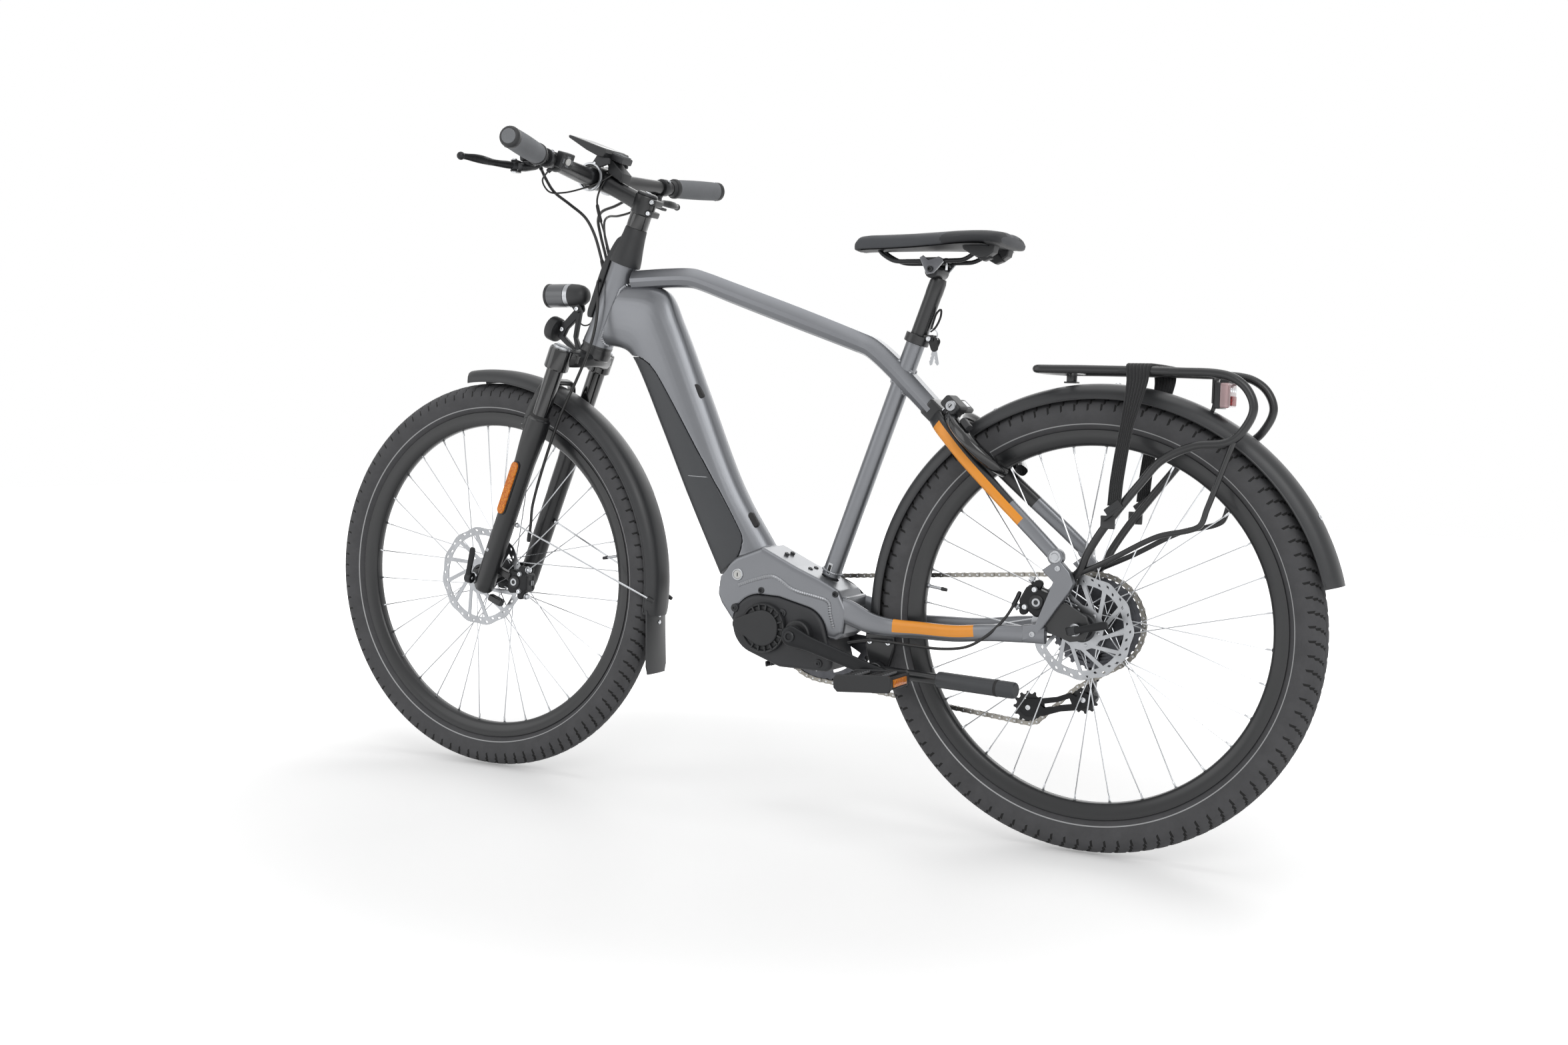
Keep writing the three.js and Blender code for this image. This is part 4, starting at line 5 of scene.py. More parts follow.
import bmesh
import bpy
import numpy as np
from mathutils import Matrix, Vector
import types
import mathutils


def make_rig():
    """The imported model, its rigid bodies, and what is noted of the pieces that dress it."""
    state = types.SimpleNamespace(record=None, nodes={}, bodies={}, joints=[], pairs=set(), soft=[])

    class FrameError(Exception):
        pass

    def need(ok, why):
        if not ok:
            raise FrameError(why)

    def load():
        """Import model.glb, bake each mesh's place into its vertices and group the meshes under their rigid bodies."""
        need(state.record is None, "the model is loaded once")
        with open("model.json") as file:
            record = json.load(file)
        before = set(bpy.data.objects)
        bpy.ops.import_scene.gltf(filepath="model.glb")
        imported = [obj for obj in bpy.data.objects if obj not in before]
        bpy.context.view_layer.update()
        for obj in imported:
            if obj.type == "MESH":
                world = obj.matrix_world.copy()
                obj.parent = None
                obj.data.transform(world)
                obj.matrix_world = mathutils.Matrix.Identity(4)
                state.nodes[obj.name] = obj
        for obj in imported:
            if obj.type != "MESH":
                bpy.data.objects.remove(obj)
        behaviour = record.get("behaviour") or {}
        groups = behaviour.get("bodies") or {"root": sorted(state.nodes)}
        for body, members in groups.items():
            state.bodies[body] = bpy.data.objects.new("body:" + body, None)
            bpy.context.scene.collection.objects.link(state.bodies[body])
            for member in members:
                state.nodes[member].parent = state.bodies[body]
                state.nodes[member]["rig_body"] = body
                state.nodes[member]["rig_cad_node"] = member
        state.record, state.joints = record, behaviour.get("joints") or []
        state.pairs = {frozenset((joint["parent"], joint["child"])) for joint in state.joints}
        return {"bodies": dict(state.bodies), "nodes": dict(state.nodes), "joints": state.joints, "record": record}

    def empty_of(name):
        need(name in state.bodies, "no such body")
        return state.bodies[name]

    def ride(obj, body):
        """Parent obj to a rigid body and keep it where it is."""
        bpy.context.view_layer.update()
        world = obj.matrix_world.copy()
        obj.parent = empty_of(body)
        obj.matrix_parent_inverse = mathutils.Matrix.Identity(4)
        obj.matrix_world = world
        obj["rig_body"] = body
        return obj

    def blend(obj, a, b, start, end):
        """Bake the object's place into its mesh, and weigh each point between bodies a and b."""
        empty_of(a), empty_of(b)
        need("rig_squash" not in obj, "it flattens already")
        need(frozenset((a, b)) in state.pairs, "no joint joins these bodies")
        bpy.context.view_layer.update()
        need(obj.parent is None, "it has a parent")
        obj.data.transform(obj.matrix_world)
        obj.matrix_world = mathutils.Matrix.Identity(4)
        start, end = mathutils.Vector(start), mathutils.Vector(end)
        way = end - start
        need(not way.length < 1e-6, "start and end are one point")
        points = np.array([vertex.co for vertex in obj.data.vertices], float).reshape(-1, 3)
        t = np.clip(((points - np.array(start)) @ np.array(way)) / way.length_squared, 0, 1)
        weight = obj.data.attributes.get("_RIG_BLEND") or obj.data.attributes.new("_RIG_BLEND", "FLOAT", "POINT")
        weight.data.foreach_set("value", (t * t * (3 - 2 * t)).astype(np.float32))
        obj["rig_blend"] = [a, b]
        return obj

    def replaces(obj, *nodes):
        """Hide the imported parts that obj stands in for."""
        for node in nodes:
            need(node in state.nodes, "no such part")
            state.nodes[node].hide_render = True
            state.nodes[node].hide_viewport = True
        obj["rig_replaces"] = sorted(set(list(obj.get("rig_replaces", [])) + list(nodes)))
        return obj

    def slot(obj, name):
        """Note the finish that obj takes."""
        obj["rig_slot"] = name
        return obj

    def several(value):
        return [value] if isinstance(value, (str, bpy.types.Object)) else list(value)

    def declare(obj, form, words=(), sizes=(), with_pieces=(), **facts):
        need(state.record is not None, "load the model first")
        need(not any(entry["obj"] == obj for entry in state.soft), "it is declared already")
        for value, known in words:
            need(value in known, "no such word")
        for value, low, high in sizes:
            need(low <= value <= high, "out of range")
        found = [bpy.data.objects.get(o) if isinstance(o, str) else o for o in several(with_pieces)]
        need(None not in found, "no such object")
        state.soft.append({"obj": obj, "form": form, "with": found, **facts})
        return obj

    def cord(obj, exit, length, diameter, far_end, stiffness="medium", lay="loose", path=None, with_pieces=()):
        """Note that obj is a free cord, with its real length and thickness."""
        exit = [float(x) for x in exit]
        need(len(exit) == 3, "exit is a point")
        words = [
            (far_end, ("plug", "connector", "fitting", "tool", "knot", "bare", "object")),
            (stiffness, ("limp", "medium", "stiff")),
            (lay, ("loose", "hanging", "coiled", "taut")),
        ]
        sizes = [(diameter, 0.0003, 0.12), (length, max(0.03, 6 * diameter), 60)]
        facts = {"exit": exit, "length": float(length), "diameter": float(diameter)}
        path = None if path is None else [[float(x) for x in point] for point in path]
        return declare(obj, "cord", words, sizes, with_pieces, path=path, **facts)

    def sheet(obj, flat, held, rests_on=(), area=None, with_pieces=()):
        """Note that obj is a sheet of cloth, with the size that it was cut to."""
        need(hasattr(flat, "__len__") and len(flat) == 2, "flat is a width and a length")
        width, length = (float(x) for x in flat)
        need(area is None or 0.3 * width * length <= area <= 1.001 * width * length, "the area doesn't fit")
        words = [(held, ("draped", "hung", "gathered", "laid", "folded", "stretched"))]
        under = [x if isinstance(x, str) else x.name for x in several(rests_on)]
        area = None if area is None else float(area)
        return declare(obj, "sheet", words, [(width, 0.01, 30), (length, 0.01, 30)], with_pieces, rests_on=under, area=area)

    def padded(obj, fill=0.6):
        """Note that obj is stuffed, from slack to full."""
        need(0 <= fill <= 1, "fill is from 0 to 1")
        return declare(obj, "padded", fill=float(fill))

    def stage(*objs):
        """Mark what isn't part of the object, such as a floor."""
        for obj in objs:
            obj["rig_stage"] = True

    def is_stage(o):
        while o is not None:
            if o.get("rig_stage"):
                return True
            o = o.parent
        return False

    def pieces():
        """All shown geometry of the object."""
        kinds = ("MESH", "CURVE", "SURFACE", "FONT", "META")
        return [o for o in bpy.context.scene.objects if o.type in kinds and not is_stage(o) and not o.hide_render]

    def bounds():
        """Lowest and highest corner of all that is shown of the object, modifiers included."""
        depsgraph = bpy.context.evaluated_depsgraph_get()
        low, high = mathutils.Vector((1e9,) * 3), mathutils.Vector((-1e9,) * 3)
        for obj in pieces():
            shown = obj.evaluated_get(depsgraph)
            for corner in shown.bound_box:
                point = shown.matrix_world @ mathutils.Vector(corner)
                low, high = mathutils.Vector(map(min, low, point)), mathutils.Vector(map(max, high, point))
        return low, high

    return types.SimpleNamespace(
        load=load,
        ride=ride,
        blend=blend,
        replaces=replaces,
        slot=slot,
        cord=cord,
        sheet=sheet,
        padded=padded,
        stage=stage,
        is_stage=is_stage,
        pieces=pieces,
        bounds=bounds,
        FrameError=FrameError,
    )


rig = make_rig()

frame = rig.load()
cad_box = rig.bounds()

# Places: millimetres from the ground under the rear axle, and millimetres in the steering axis's own frame.
SHIFT = -557.7282
R_TYRE = 352
WHEELBASE = 1132.6
FORK_RAKE = 53.7
HEAD_FOOT, HEAD_LENGTH = 773, 152
HEAD = math.radians(69.4)
US, UC = math.sin(HEAD), math.cos(HEAD)
FORK_DROP = (HEAD_FOOT - R_TYRE + FORK_RAKE * UC) / US
HEAD_X = WHEELBASE - FORK_RAKE * US - FORK_DROP * UC
AXLE_F = (FORK_RAKE, -FORK_DROP)
AXLE_R = (0, 0, R_TYRE)
ORIGIN = (0, 0, 0)
ALONG_X, ALONG_Y, ALONG_Z = (1, 0, 0), (0, 1, 0), (0, 0, 1)


def P(x, y, z):
    return ((x + SHIFT) / 1000, y / 1000, z / 1000)


def S(x, y, z):
    return P(HEAD_X + x * US - z * UC, y, HEAD_FOOT + x * UC + z * US)


# Materials

def new_material(name):
    m = bpy.data.materials.new(name)
    m.use_nodes = True
    nodes = m.node_tree.nodes
    nodes.clear()
    out = nodes.new("ShaderNodeOutputMaterial")
    bsdf = nodes.new("ShaderNodeBsdfPrincipled")
    m.node_tree.links.new(bsdf.outputs[0], out.inputs[0])
    return m, nodes, m.node_tree.links, bsdf


def linear(hex_colour):
    values = [int(hex_colour[i:i + 2], 16) / 255 for i in (1, 3, 5)]
    return [v / 12.92 if v <= 0.04045 else ((v + 0.055) / 1.055) ** 2.4 for v in values]


def noise(nodes, links, scale, detail=4, rough=0.6, stretch=(1, 1, 1)):
    coord = nodes.new("ShaderNodeTexCoord")
    mapping = nodes.new("ShaderNodeMapping")
    mapping.inputs["Scale"].default_value = stretch
    tex = nodes.new("ShaderNodeTexNoise")
    tex.inputs["Scale"].default_value = scale
    tex.inputs["Detail"].default_value = detail
    tex.inputs["Roughness"].default_value = rough
    links.new(coord.outputs["Object"], mapping.inputs["Vector"])
    links.new(mapping.outputs[0], tex.inputs["Vector"])
    return tex


def maths(nodes, links, operation, first, second):
    node = nodes.new("ShaderNodeMath")
    node.operation = operation
    links.new(first, node.inputs[0])
    links.new(second, node.inputs[1])
    return node.outputs[0]


def ramp(nodes, links, source, stops):
    r = nodes.new("ShaderNodeValToRGB")
    r.color_ramp.elements[0].position, r.color_ramp.elements[0].color = stops[0][0], (*stops[0][1], 1)
    r.color_ramp.elements[1].position, r.color_ramp.elements[1].color = stops[-1][0], (*stops[-1][1], 1)
    for place, colour in stops[1:-1]:
        r.color_ramp.elements.new(place).color = (*colour, 1)
    links.new(source, r.inputs[0])
    return r


def bump(nodes, links, bsdf, height, strength, distance):
    b = nodes.new("ShaderNodeBump")
    b.inputs["Strength"].default_value = strength
    b.inputs["Distance"].default_value = distance
    links.new(height, b.inputs["Height"])
    links.new(b.outputs[0], bsdf.inputs["Normal"])
    return b


def surface(name, colour, rough, metal=0.0, vary=0.12, patch=9, grain=900, grain_depth=0.00004,
    rough_vary=0.12, coat=0.0, stretch=(1, 1, 1), transmission=0.0, ior=1.5, grain_kind="noise", wear=None):
    """A finish with colour drift, uneven gloss and a fine grain."""
    m, nodes, links, bsdf = new_material(name)
    base = linear(colour)
    drift = noise(nodes, links, patch, 5, 0.65)
    dark = [v * (1 - vary) for v in base]
    light = [min(1, v * (1 + vary)) for v in base]
    tone = ramp(nodes, links, drift.outputs[0], [(0.3, dark), (0.7, light)])
    colour_out = tone.outputs[0]
    if wear:
        geometry = nodes.new("ShaderNodeNewGeometry")
        edge = ramp(nodes, links, geometry.outputs["Pointiness"], [(0.52, (0, 0, 0)), (0.6, (1, 1, 1))])
        mix = nodes.new("ShaderNodeMix")
        mix.data_type = "RGBA"
        links.new(edge.outputs[0], mix.inputs[0])
        links.new(colour_out, mix.inputs[6])
        mix.inputs[7].default_value = (*linear(wear), 1)
        colour_out = mix.outputs[2]
    links.new(colour_out, bsdf.inputs["Base Color"])
    gloss = noise(nodes, links, patch * 6, 4, 0.6)
    spread = nodes.new("ShaderNodeMapRange")
    spread.inputs["To Min"].default_value = max(0.03, rough - rough_vary / 2)
    spread.inputs["To Max"].default_value = min(1, rough + rough_vary / 2)
    links.new(gloss.outputs[0], spread.inputs["Value"])
    links.new(spread.outputs[0], bsdf.inputs["Roughness"])
    if grain_kind == "cells":
        coord = nodes.new("ShaderNodeTexCoord")
        fine = nodes.new("ShaderNodeTexVoronoi")
        fine.inputs["Scale"].default_value = grain
        links.new(coord.outputs["Object"], fine.inputs["Vector"])
    else:
        fine = noise(nodes, links, grain, 3, 0.6, stretch)
    bump(nodes, links, bsdf, fine.outputs[0], 0.5, grain_depth)
    bsdf.inputs["Metallic"].default_value = metal
    bsdf.inputs["Coat Weight"].default_value = coat
    bsdf.inputs["Coat Roughness"].default_value = 0.15
    bsdf.inputs["Transmission Weight"].default_value = transmission
    bsdf.inputs["IOR"].default_value = ior
    return m


def webbing_material(name, colour, light):
    """Woven elastic: crossing threads a millimetre apart."""
    m, nodes, links, bsdf = new_material(name)
    coord = nodes.new("ShaderNodeTexCoord")
    waves = []
    for direction in "XZ":
        w = nodes.new("ShaderNodeTexWave")
        w.bands_direction = direction
        w.inputs["Scale"].default_value = 420
        w.inputs["Distortion"].default_value = 0.6
        links.new(coord.outputs["Object"], w.inputs["Vector"])
        waves.append(w)
    both = maths(nodes, links, "MULTIPLY", waves[0].outputs["Fac"], waves[1].outputs["Fac"])
    tone = ramp(nodes, links, both, [(0.1, linear(colour)), (0.8, linear(light))])
    links.new(tone.outputs[0], bsdf.inputs["Base Color"])
    bump(nodes, links, bsdf, both, 0.7, 0.0004)
    bsdf.inputs["Roughness"].default_value = 0.9
    bsdf.inputs["Sheen Weight"].default_value = 0.25
    return m


def reflector_material(name, colour, painted_glint):
    """Moulded plastic with a field of small prisms, each lighter in its middle: a painted glint."""
    m, nodes, links, bsdf = new_material(name)
    coord = nodes.new("ShaderNodeTexCoord")
    cells = nodes.new("ShaderNodeTexVoronoi")
    cells.inputs["Scale"].default_value = 330
    links.new(coord.outputs["Object"], cells.inputs["Vector"])
    tone = ramp(nodes, links, cells.outputs["Distance"], [(0.1, linear(painted_glint)), (0.7, linear(colour))])
    links.new(tone.outputs[0], bsdf.inputs["Base Color"])
    bump(nodes, links, bsdf, cells.outputs["Distance"], 0.8, 0.0008)
    bsdf.inputs["Roughness"].default_value = 0.3
    bsdf.inputs["Coat Weight"].default_value = 0.25
    bsdf.inputs["Specular IOR Level"].default_value = 0.3
    return m


def ringed_metal(name, colour, centre_scale=700):
    """Ground metal with fine rings, for brake rotors."""
    m, nodes, links, bsdf = new_material(name)
    drift = noise(nodes, links, 40, 5, 0.6)
    tone = ramp(nodes, links, drift.outputs[0], [(0.3, [v * 0.8 for v in linear(colour)]),
        (0.7, linear(colour))])
    links.new(tone.outputs[0], bsdf.inputs["Base Color"])
    fine = noise(nodes, links, centre_scale, 2, 0.5, (1, 0.05, 1))
    bump(nodes, links, bsdf, fine.outputs[0], 0.35, 0.00005)
    bsdf.inputs["Metallic"].default_value = 1
    bsdf.inputs["Roughness"].default_value = 0.3
    return m


M = {
    "frame": surface("frame_metallic", "#77797d", 0.36, 0.72, 0.05, 5, 2600, 0.00002, 0.06, coat=0.25),
    "bead": surface("weld_bead_paint", "#94969a", 0.3, 0.6, 0.06, 12, 900, 0.00005, 0.06, coat=0.3),
    "black": surface("black_satin_paint", "#18191b", 0.36, 0.1, 0.08, 7, 1500, 0.00002, 0.1, coat=0.2),
    "alloy": surface("black_anodised", "#1d1e20", 0.4, 0.55, 0.1, 12, 1300, 0.00002, 0.14, wear="#3a3b3d"),
    "plastic": surface("black_moulded", "#1f2022", 0.52, 0, 0.08, 9, 1400, 0.00008, 0.12),
    "shell": surface("motor_shell", "#242528", 0.5, 0, 0.08, 8, 1600, 0.0001, 0.1),
    "lamp_grey": surface("lamp_case", "#5a5c5f", 0.35, 0.2, 0.05, 8, 1400, 0.00004, 0.1, coat=0.3),
    "battery": surface("battery_cover", "#3a3c3f", 0.45, 0.05, 0.05, 6, 1500, 0.00006, 0.08),
    "guard": surface("mudguard_plastic", "#2b2c2e", 0.42, 0, 0.07, 6, 1100, 0.00005, 0.1),
    "tyre": surface("tyre_rubber", "#4c4c4e", 0.82, 0, 0.14, 30, 700, 0.00016, 0.15),
    # Dark faces for the shoulder grooves: painted shade in the tread's recesses, where the rubber is the same as the
    # rest.
    "groove": surface("tread_groove_painted_shade", "#161616", 0.9, 0, 0.1, 30, 700, 0.0001),
    "stripe": surface("reflective_stripe", "#a9aaab", 0.45, 0.1, 0.05, 30, 1200, 0.00003),
    "gloss": surface("gloss_black", "#101113", 0.12, 0.2, 0.05, 8, 1200, 0.000005, 0.06, coat=0.6),
    "rubber": surface("black_rubber", "#1a1a1b", 0.7, 0, 0.1, 20, 900, 0.0001),
    "hose": surface("hose_sheath", "#141415", 0.45, 0, 0.1, 20, 900, 0.00003),
    "steel": surface("bright_steel", "#c3c5c8", 0.25, 1, 0.08, 30, 1200, 0.00002, 0.12),
    "silver": surface("silver_alloy", "#a9abae", 0.32, 0.95, 0.08, 20, 1000, 0.00003, 0.12),
    "rotor": ringed_metal("rotor_steel", "#a3a5a8"),
    "chain": surface("chain_steel", "#8d8a84", 0.36, 0.95, 0.25, 60, 700, 0.00004, 0.25),
    "cog": surface("dark_cogs", "#55565a", 0.36, 0.9, 0.2, 50, 700, 0.00003, 0.2, wear="#a0a2a5"),
    "grip": surface("grip_rubber", "#7d7f82", 0.85, 0, 0.08, 20, 620, 0.00045, 0.1, grain_kind="cells"),
    "saddle": surface("saddle_cover", "#3b3d41", 0.6, 0, 0.08, 8, 1500, 0.00012, 0.1, grain_kind="cells"),
    "saddle_dark": surface("saddle_side", "#232427", 0.68, 0, 0.08, 8, 800, 0.0002, 0.1, grain_kind="cells"),
    "orange": surface("orange_paint", "#f79c1b", 0.38, 0, 0.04, 12, 1200, 0.00002, 0.08, coat=0.3),
    "white": surface("white_plastic", "#d6d6d3", 0.4, 0, 0.04, 12, 1000, 0.00003),
    "glass": surface("dark_glass", "#0b0c0e", 0.16, 0, 0.05, 5, 900, 0.000002, 0.04, coat=0.3),
    "clear": surface("clear_lens", "#e9edf0", 0.05, 0, 0.02, 5, 900, 0.000005, 0.03, transmission=0.85,
        ior=1.45),
    "mirror": surface("lamp_mirror", "#d8dadd", 0.12, 1, 0.05, 20, 900, 0.00001, 0.05),
    "webbing": webbing_material("elastic_webbing", "#1b1c1d", "#2c2d2f"),
    # Each reflector's second colour is the painted glint in the middle of its prisms.
    "amber": reflector_material("amber_reflector", "#d06a0c", "#f7a02a"),
    "red": reflector_material("red_reflector", "#6d0f12", "#d3282b"),
    "red_lens": surface("tail_lens", "#d8b4b6", 0.12, 0, 0.05, 20, 700, 0.00005, 0.08, coat=0.8,
        transmission=0.35),
}


# Shape kit

def vec(x, y, z):
    return np.array((x, y, z), float)


def basis(axis, up=ALONG_Z):
    """Two directions square to an axis."""
    axis = Vector(axis).normalized()
    side = axis.cross(Vector(up))
    if side.length < 1e-4:
        side = axis.cross(Vector(ALONG_X))
    side.normalize()
    return axis, side, side.cross(axis).normalized()


def smooth_path(points, count, closed=False):
    """Centripetal-like spline through points of any dimension, as count even steps."""
    pts = np.array(points, float)
    n = len(pts)
    ext = np.vstack([pts[-1], pts, pts[0], pts[1]]) if closed else np.vstack([2 * pts[0] - pts[1], pts,
        2 * pts[-1] - pts[-2]])
    spans = n if closed else n - 1
    dense = []
    for i in range(spans):
        p0, p1, p2, p3 = ext[i], ext[i + 1], ext[i + 2], ext[i + 3]
        d1 = max(np.linalg.norm(p2 - p1), 1e-6)
        m1 = (p2 - p0) / (np.linalg.norm(p1 - p0) + d1) * d1
        m2 = (p3 - p1) / (np.linalg.norm(p3 - p2) + d1) * d1
        for t in np.linspace(0, 1, 24, endpoint=False):
            h = [2 * t**3 - 3 * t**2 + 1, t**3 - 2 * t**2 + t, -2 * t**3 + 3 * t**2, t**3 - t**2]
            dense.append(h[0] * p1 + h[1] * m1 + h[2] * p2 + h[3] * m2)
    dense.append(pts[0] if closed else pts[-1])
    dense = np.array(dense)
    run = np.concatenate([[0], np.cumsum(np.linalg.norm(np.diff(dense[:, :3], axis=0), axis=1))])
    at = np.linspace(0, run[-1], count + 1)
    out = np.stack([np.interp(at, run, dense[:, k]) for k in range(dense.shape[1])], axis=1)
    return out[:-1] if closed else out


def rounded(shares, times=2):
    """Corner cutting that turns a coarse section into a soft one."""
    pts = np.array(shares, float)
    for _ in range(times):
        nxt = np.roll(pts, -1, axis=0)
        pts = np.stack([pts * 0.78 + nxt * 0.22, pts * 0.22 + nxt * 0.78], axis=1).reshape(-1, 2)
    return pts


def soft_section(side, end):
    """A rounded block's outline: how far its sides and its ends stay straight."""
    return rounded([[1, side], [end, 1], [-end, 1], [-1, side], [-1, -side], [-end, -1], [end, -1],
        [1, -side]])


def grid_faces(rows, cols, wrap_rows=False, wrap_cols=True, start=0):
    faces = []
    for i in range(rows if wrap_rows else rows - 1):
        for j in range(cols if wrap_cols else cols - 1):
            a, b = i * cols + j, i * cols + (j + 1) % cols
            c, d = ((i + 1) % rows) * cols + (j + 1) % cols, ((i + 1) % rows) * cols + j
            faces.append((start + a, start + b, start + c, start + d))
    return faces


def loft(rings, closed=False, caps=True):
    """A skin through rings of equal length."""
    rings = [np.array(r, float) for r in rings]
    cols = len(rings[0])
    verts = np.vstack(rings)
    faces = grid_faces(len(rings), cols, wrap_rows=closed)
    if caps and not closed:
        faces += [tuple(range(cols))[::-1], tuple(range((len(rings) - 1) * cols, len(rings) * cols))]
    return verts, faces


def sweep(path, section, across=ALONG_Y, closed=False, caps=True):
    """A [normal, across] section, or a list with one for each point, along a path."""
    path = np.array(path, float)
    n = len(path)
    across = np.array(across, float)
    rings = []
    for i in range(n):
        a, b = (path[(i - 1) % n], path[(i + 1) % n]) if closed else (path[max(i - 1, 0)],
            path[min(i + 1, n - 1)])
        f = b - a
        f = f - f.dot(across) * across
        f /= np.linalg.norm(f)
        normal = np.cross(f, across)
        s = section[i] if isinstance(section, list) else section
        rings.append([path[i] + q[0] * normal + q[1] * across for q in s])
    return loft(rings, closed, caps)


def bar_along(rows, section, across=ALONG_Y):
    """A section swept along rows of x, y, z and its two half sizes."""
    return sweep(rows[:, :3], [section * halves for halves in rows[:, 3:]], across)


def tube(path, radius, sides=10, caps=True, closed=False):
    """A round pipe that doesn't twist; radius is a number or one for each point."""
    path = np.array(path, float)
    n = len(path)
    radii = np.full(n, radius, float) if np.isscalar(radius) else np.array(radius, float)
    tangents = np.gradient(path, axis=0)
    if closed:
        tangents = np.roll(path, -1, axis=0) - np.roll(path, 1, axis=0)
    tangents /= np.linalg.norm(tangents, axis=1)[:, None]
    _, side, up = basis(tangents[0])
    side = np.array(side)
    rings = []
    for i in range(n):
        t = tangents[i]
        side = side - side.dot(t) * t
        side /= np.linalg.norm(side)
        up = np.cross(t, side)
        a = np.arange(sides) * 2 * math.pi / sides
        rings.append(path[i] + radii[i] * (np.cos(a)[:, None] * side + np.sin(a)[:, None] * up))
    return loft(rings, closed, caps)


def lathe(profile, origin=(0, 0, 0), axis=ALONG_Y, sides=48, closed=False):
    """[radius, height] pairs turned about an axis. An open profile starts and ends on it."""
    ax, u, v = [np.array(k) for k in basis(axis, ALONG_Z if abs(axis[2]) < 0.9
        * np.linalg.norm(axis) else ALONG_X)]
    origin = np.array(origin, float)
    angles = np.arange(sides) * 2 * math.pi / sides
    ring = np.cos(angles)[:, None] * u + np.sin(angles)[:, None] * v
    if closed:
        rows = [origin + h * ax + r * ring for r, h in profile]
        return np.vstack(rows), grid_faces(len(rows), sides, wrap_rows=True)
    inner = [(r, h) for r, h in profile if r > 1e-6]
    rows = [origin + h * ax + r * ring for r, h in inner]
    verts, faces = np.vstack(rows), grid_faces(len(rows), sides)
    last = len(verts)
    verts = np.vstack([verts, origin + profile[0][1] * ax, origin + profile[-1][1] * ax])
    end = (len(rows) - 1) * sides
    for j in range(sides):
        k = (j + 1) % sides
        faces.append((last, k, j))
        faces.append((last + 1, end + j, end + k))
    return verts, faces


def collar(profile, origin, axis, sides):
    """A turned part whose profile is a closed loop off the axis."""
    return lathe(profile, origin, axis, sides, closed=True)


def rod(a, b, r0, r1=None, sides=20, edge=0.6):
    """A round bar between two points, its rims softened."""
    a, b = np.array(a, float), np.array(b, float)
    r1 = r0 if r1 is None else r1
    length = np.linalg.norm(b - a)
    e0, e1 = min(edge, r0 * 0.4, length / 4), min(edge, r1 * 0.4, length / 4)
    profile = [(0, 0), (r0 - e0, 0), (r0 - e0 * 0.3, e0 * 0.3), (r0, e0), (r1, length - e1),
        (r1 - e1 * 0.3, length - e1 * 0.3), (r1 - e1, length), (0, length)]
    return lathe(profile, a, b - a, sides)


def box(size, centre=(0, 0, 0), edge=0.8, turn=None, segments=2):
    """A block with soft edges; turn is a 3x3 of its own directions."""
    bm = bmesh.new()
    bmesh.ops.create_cube(bm, size=1, matrix=Matrix.Diagonal((*size, 1)))
    if edge:
        bmesh.ops.bevel(bm, geom=bm.edges[:], offset=min(edge, min(size) * 0.45), segments=segments,
            profile=0.6, affect="EDGES")
    verts = np.array([v.co[:] for v in bm.verts])
    faces = [tuple(v.index for v in f.verts) for f in bm.faces]
    bm.free()
    if turn is not None:
        verts = verts @ np.array(turn)
    return verts + np.array(centre, float), faces


def turn_y(degrees):
    """Rows are where x, y and z go when turned from +X towards +Z."""
    a = math.radians(degrees)
    return [[math.cos(a), 0, math.sin(a)], [0, 1, 0], [-math.sin(a), 0, math.cos(a)]]


def plate(outline, low, high, holes=(), edge=0.5, steps=2):
    """A flat part in the XZ plane between two Y places, with holes and softened rims."""
    curve = bpy.data.curves.new("plate", "CURVE")
    curve.dimensions, curve.fill_mode = "2D", "BOTH"
    curve.extrude = max((high - low) / 2 - edge, 0.01)
    curve.bevel_depth, curve.bevel_resolution, curve.offset = edge, steps, -edge
    for loop in (outline, *holes):
        spline = curve.splines.new("POLY")
        spline.points.add(len(loop) - 1)
        for point, (x, z) in zip(spline.points, loop):
            point.co = (x, z, 0, 1)
        spline.use_cyclic_u = True
    obj = bpy.data.objects.new("plate", curve)
    mesh = bpy.data.meshes.new_from_object(obj)
    verts = np.array([v.co[:] for v in mesh.vertices])
    faces = [tuple(p.vertices) for p in mesh.polygons]
    bpy.data.objects.remove(obj)
    bpy.data.curves.remove(curve)
    bpy.data.meshes.remove(mesh)
    return np.stack([verts[:, 0], (low + high) / 2 + verts[:, 2], verts[:, 1]], axis=1), faces


def circle(x, z, radius, sides=32, start=0.0):
    return [(x + radius * math.cos(start + i * 2 * math.pi / sides),
        z + radius * math.sin(start + i * 2 * math.pi / sides)) for i in range(sides)]


def hull(circles, sides=32):
    """The convex outline round [x, z, radius] circles."""
    pts = sorted(p for c in circles for p in circle(*c, sides))

    def half(points):
        chain = []
        for p in points:
            while len(chain) > 1 and (chain[-1][0] - chain[-2][0]) * (p[1] - chain[-2][1]) <= (chain[-1][1]
                - chain[-2][1]) * (p[0] - chain[-2][0]):
                chain.pop()
            chain.append(p)
        return chain[:-1]
    return half(pts) + half(pts[::-1])


def aimed(shape, origin, axis, side=ALONG_X):
    """Turns a shape made round +Y so that it stands at origin along axis."""
    verts, faces = shape
    y = Vector(axis).normalized()
    x = (Vector(side) - Vector(side).dot(y) * y).normalized()
    z = x.cross(y)
    return verts @ np.array([x[:], y[:], z[:]]) + np.array(origin, float), faces


def moved(shape, by):
    return shape[0] + np.array(by, float), shape[1]


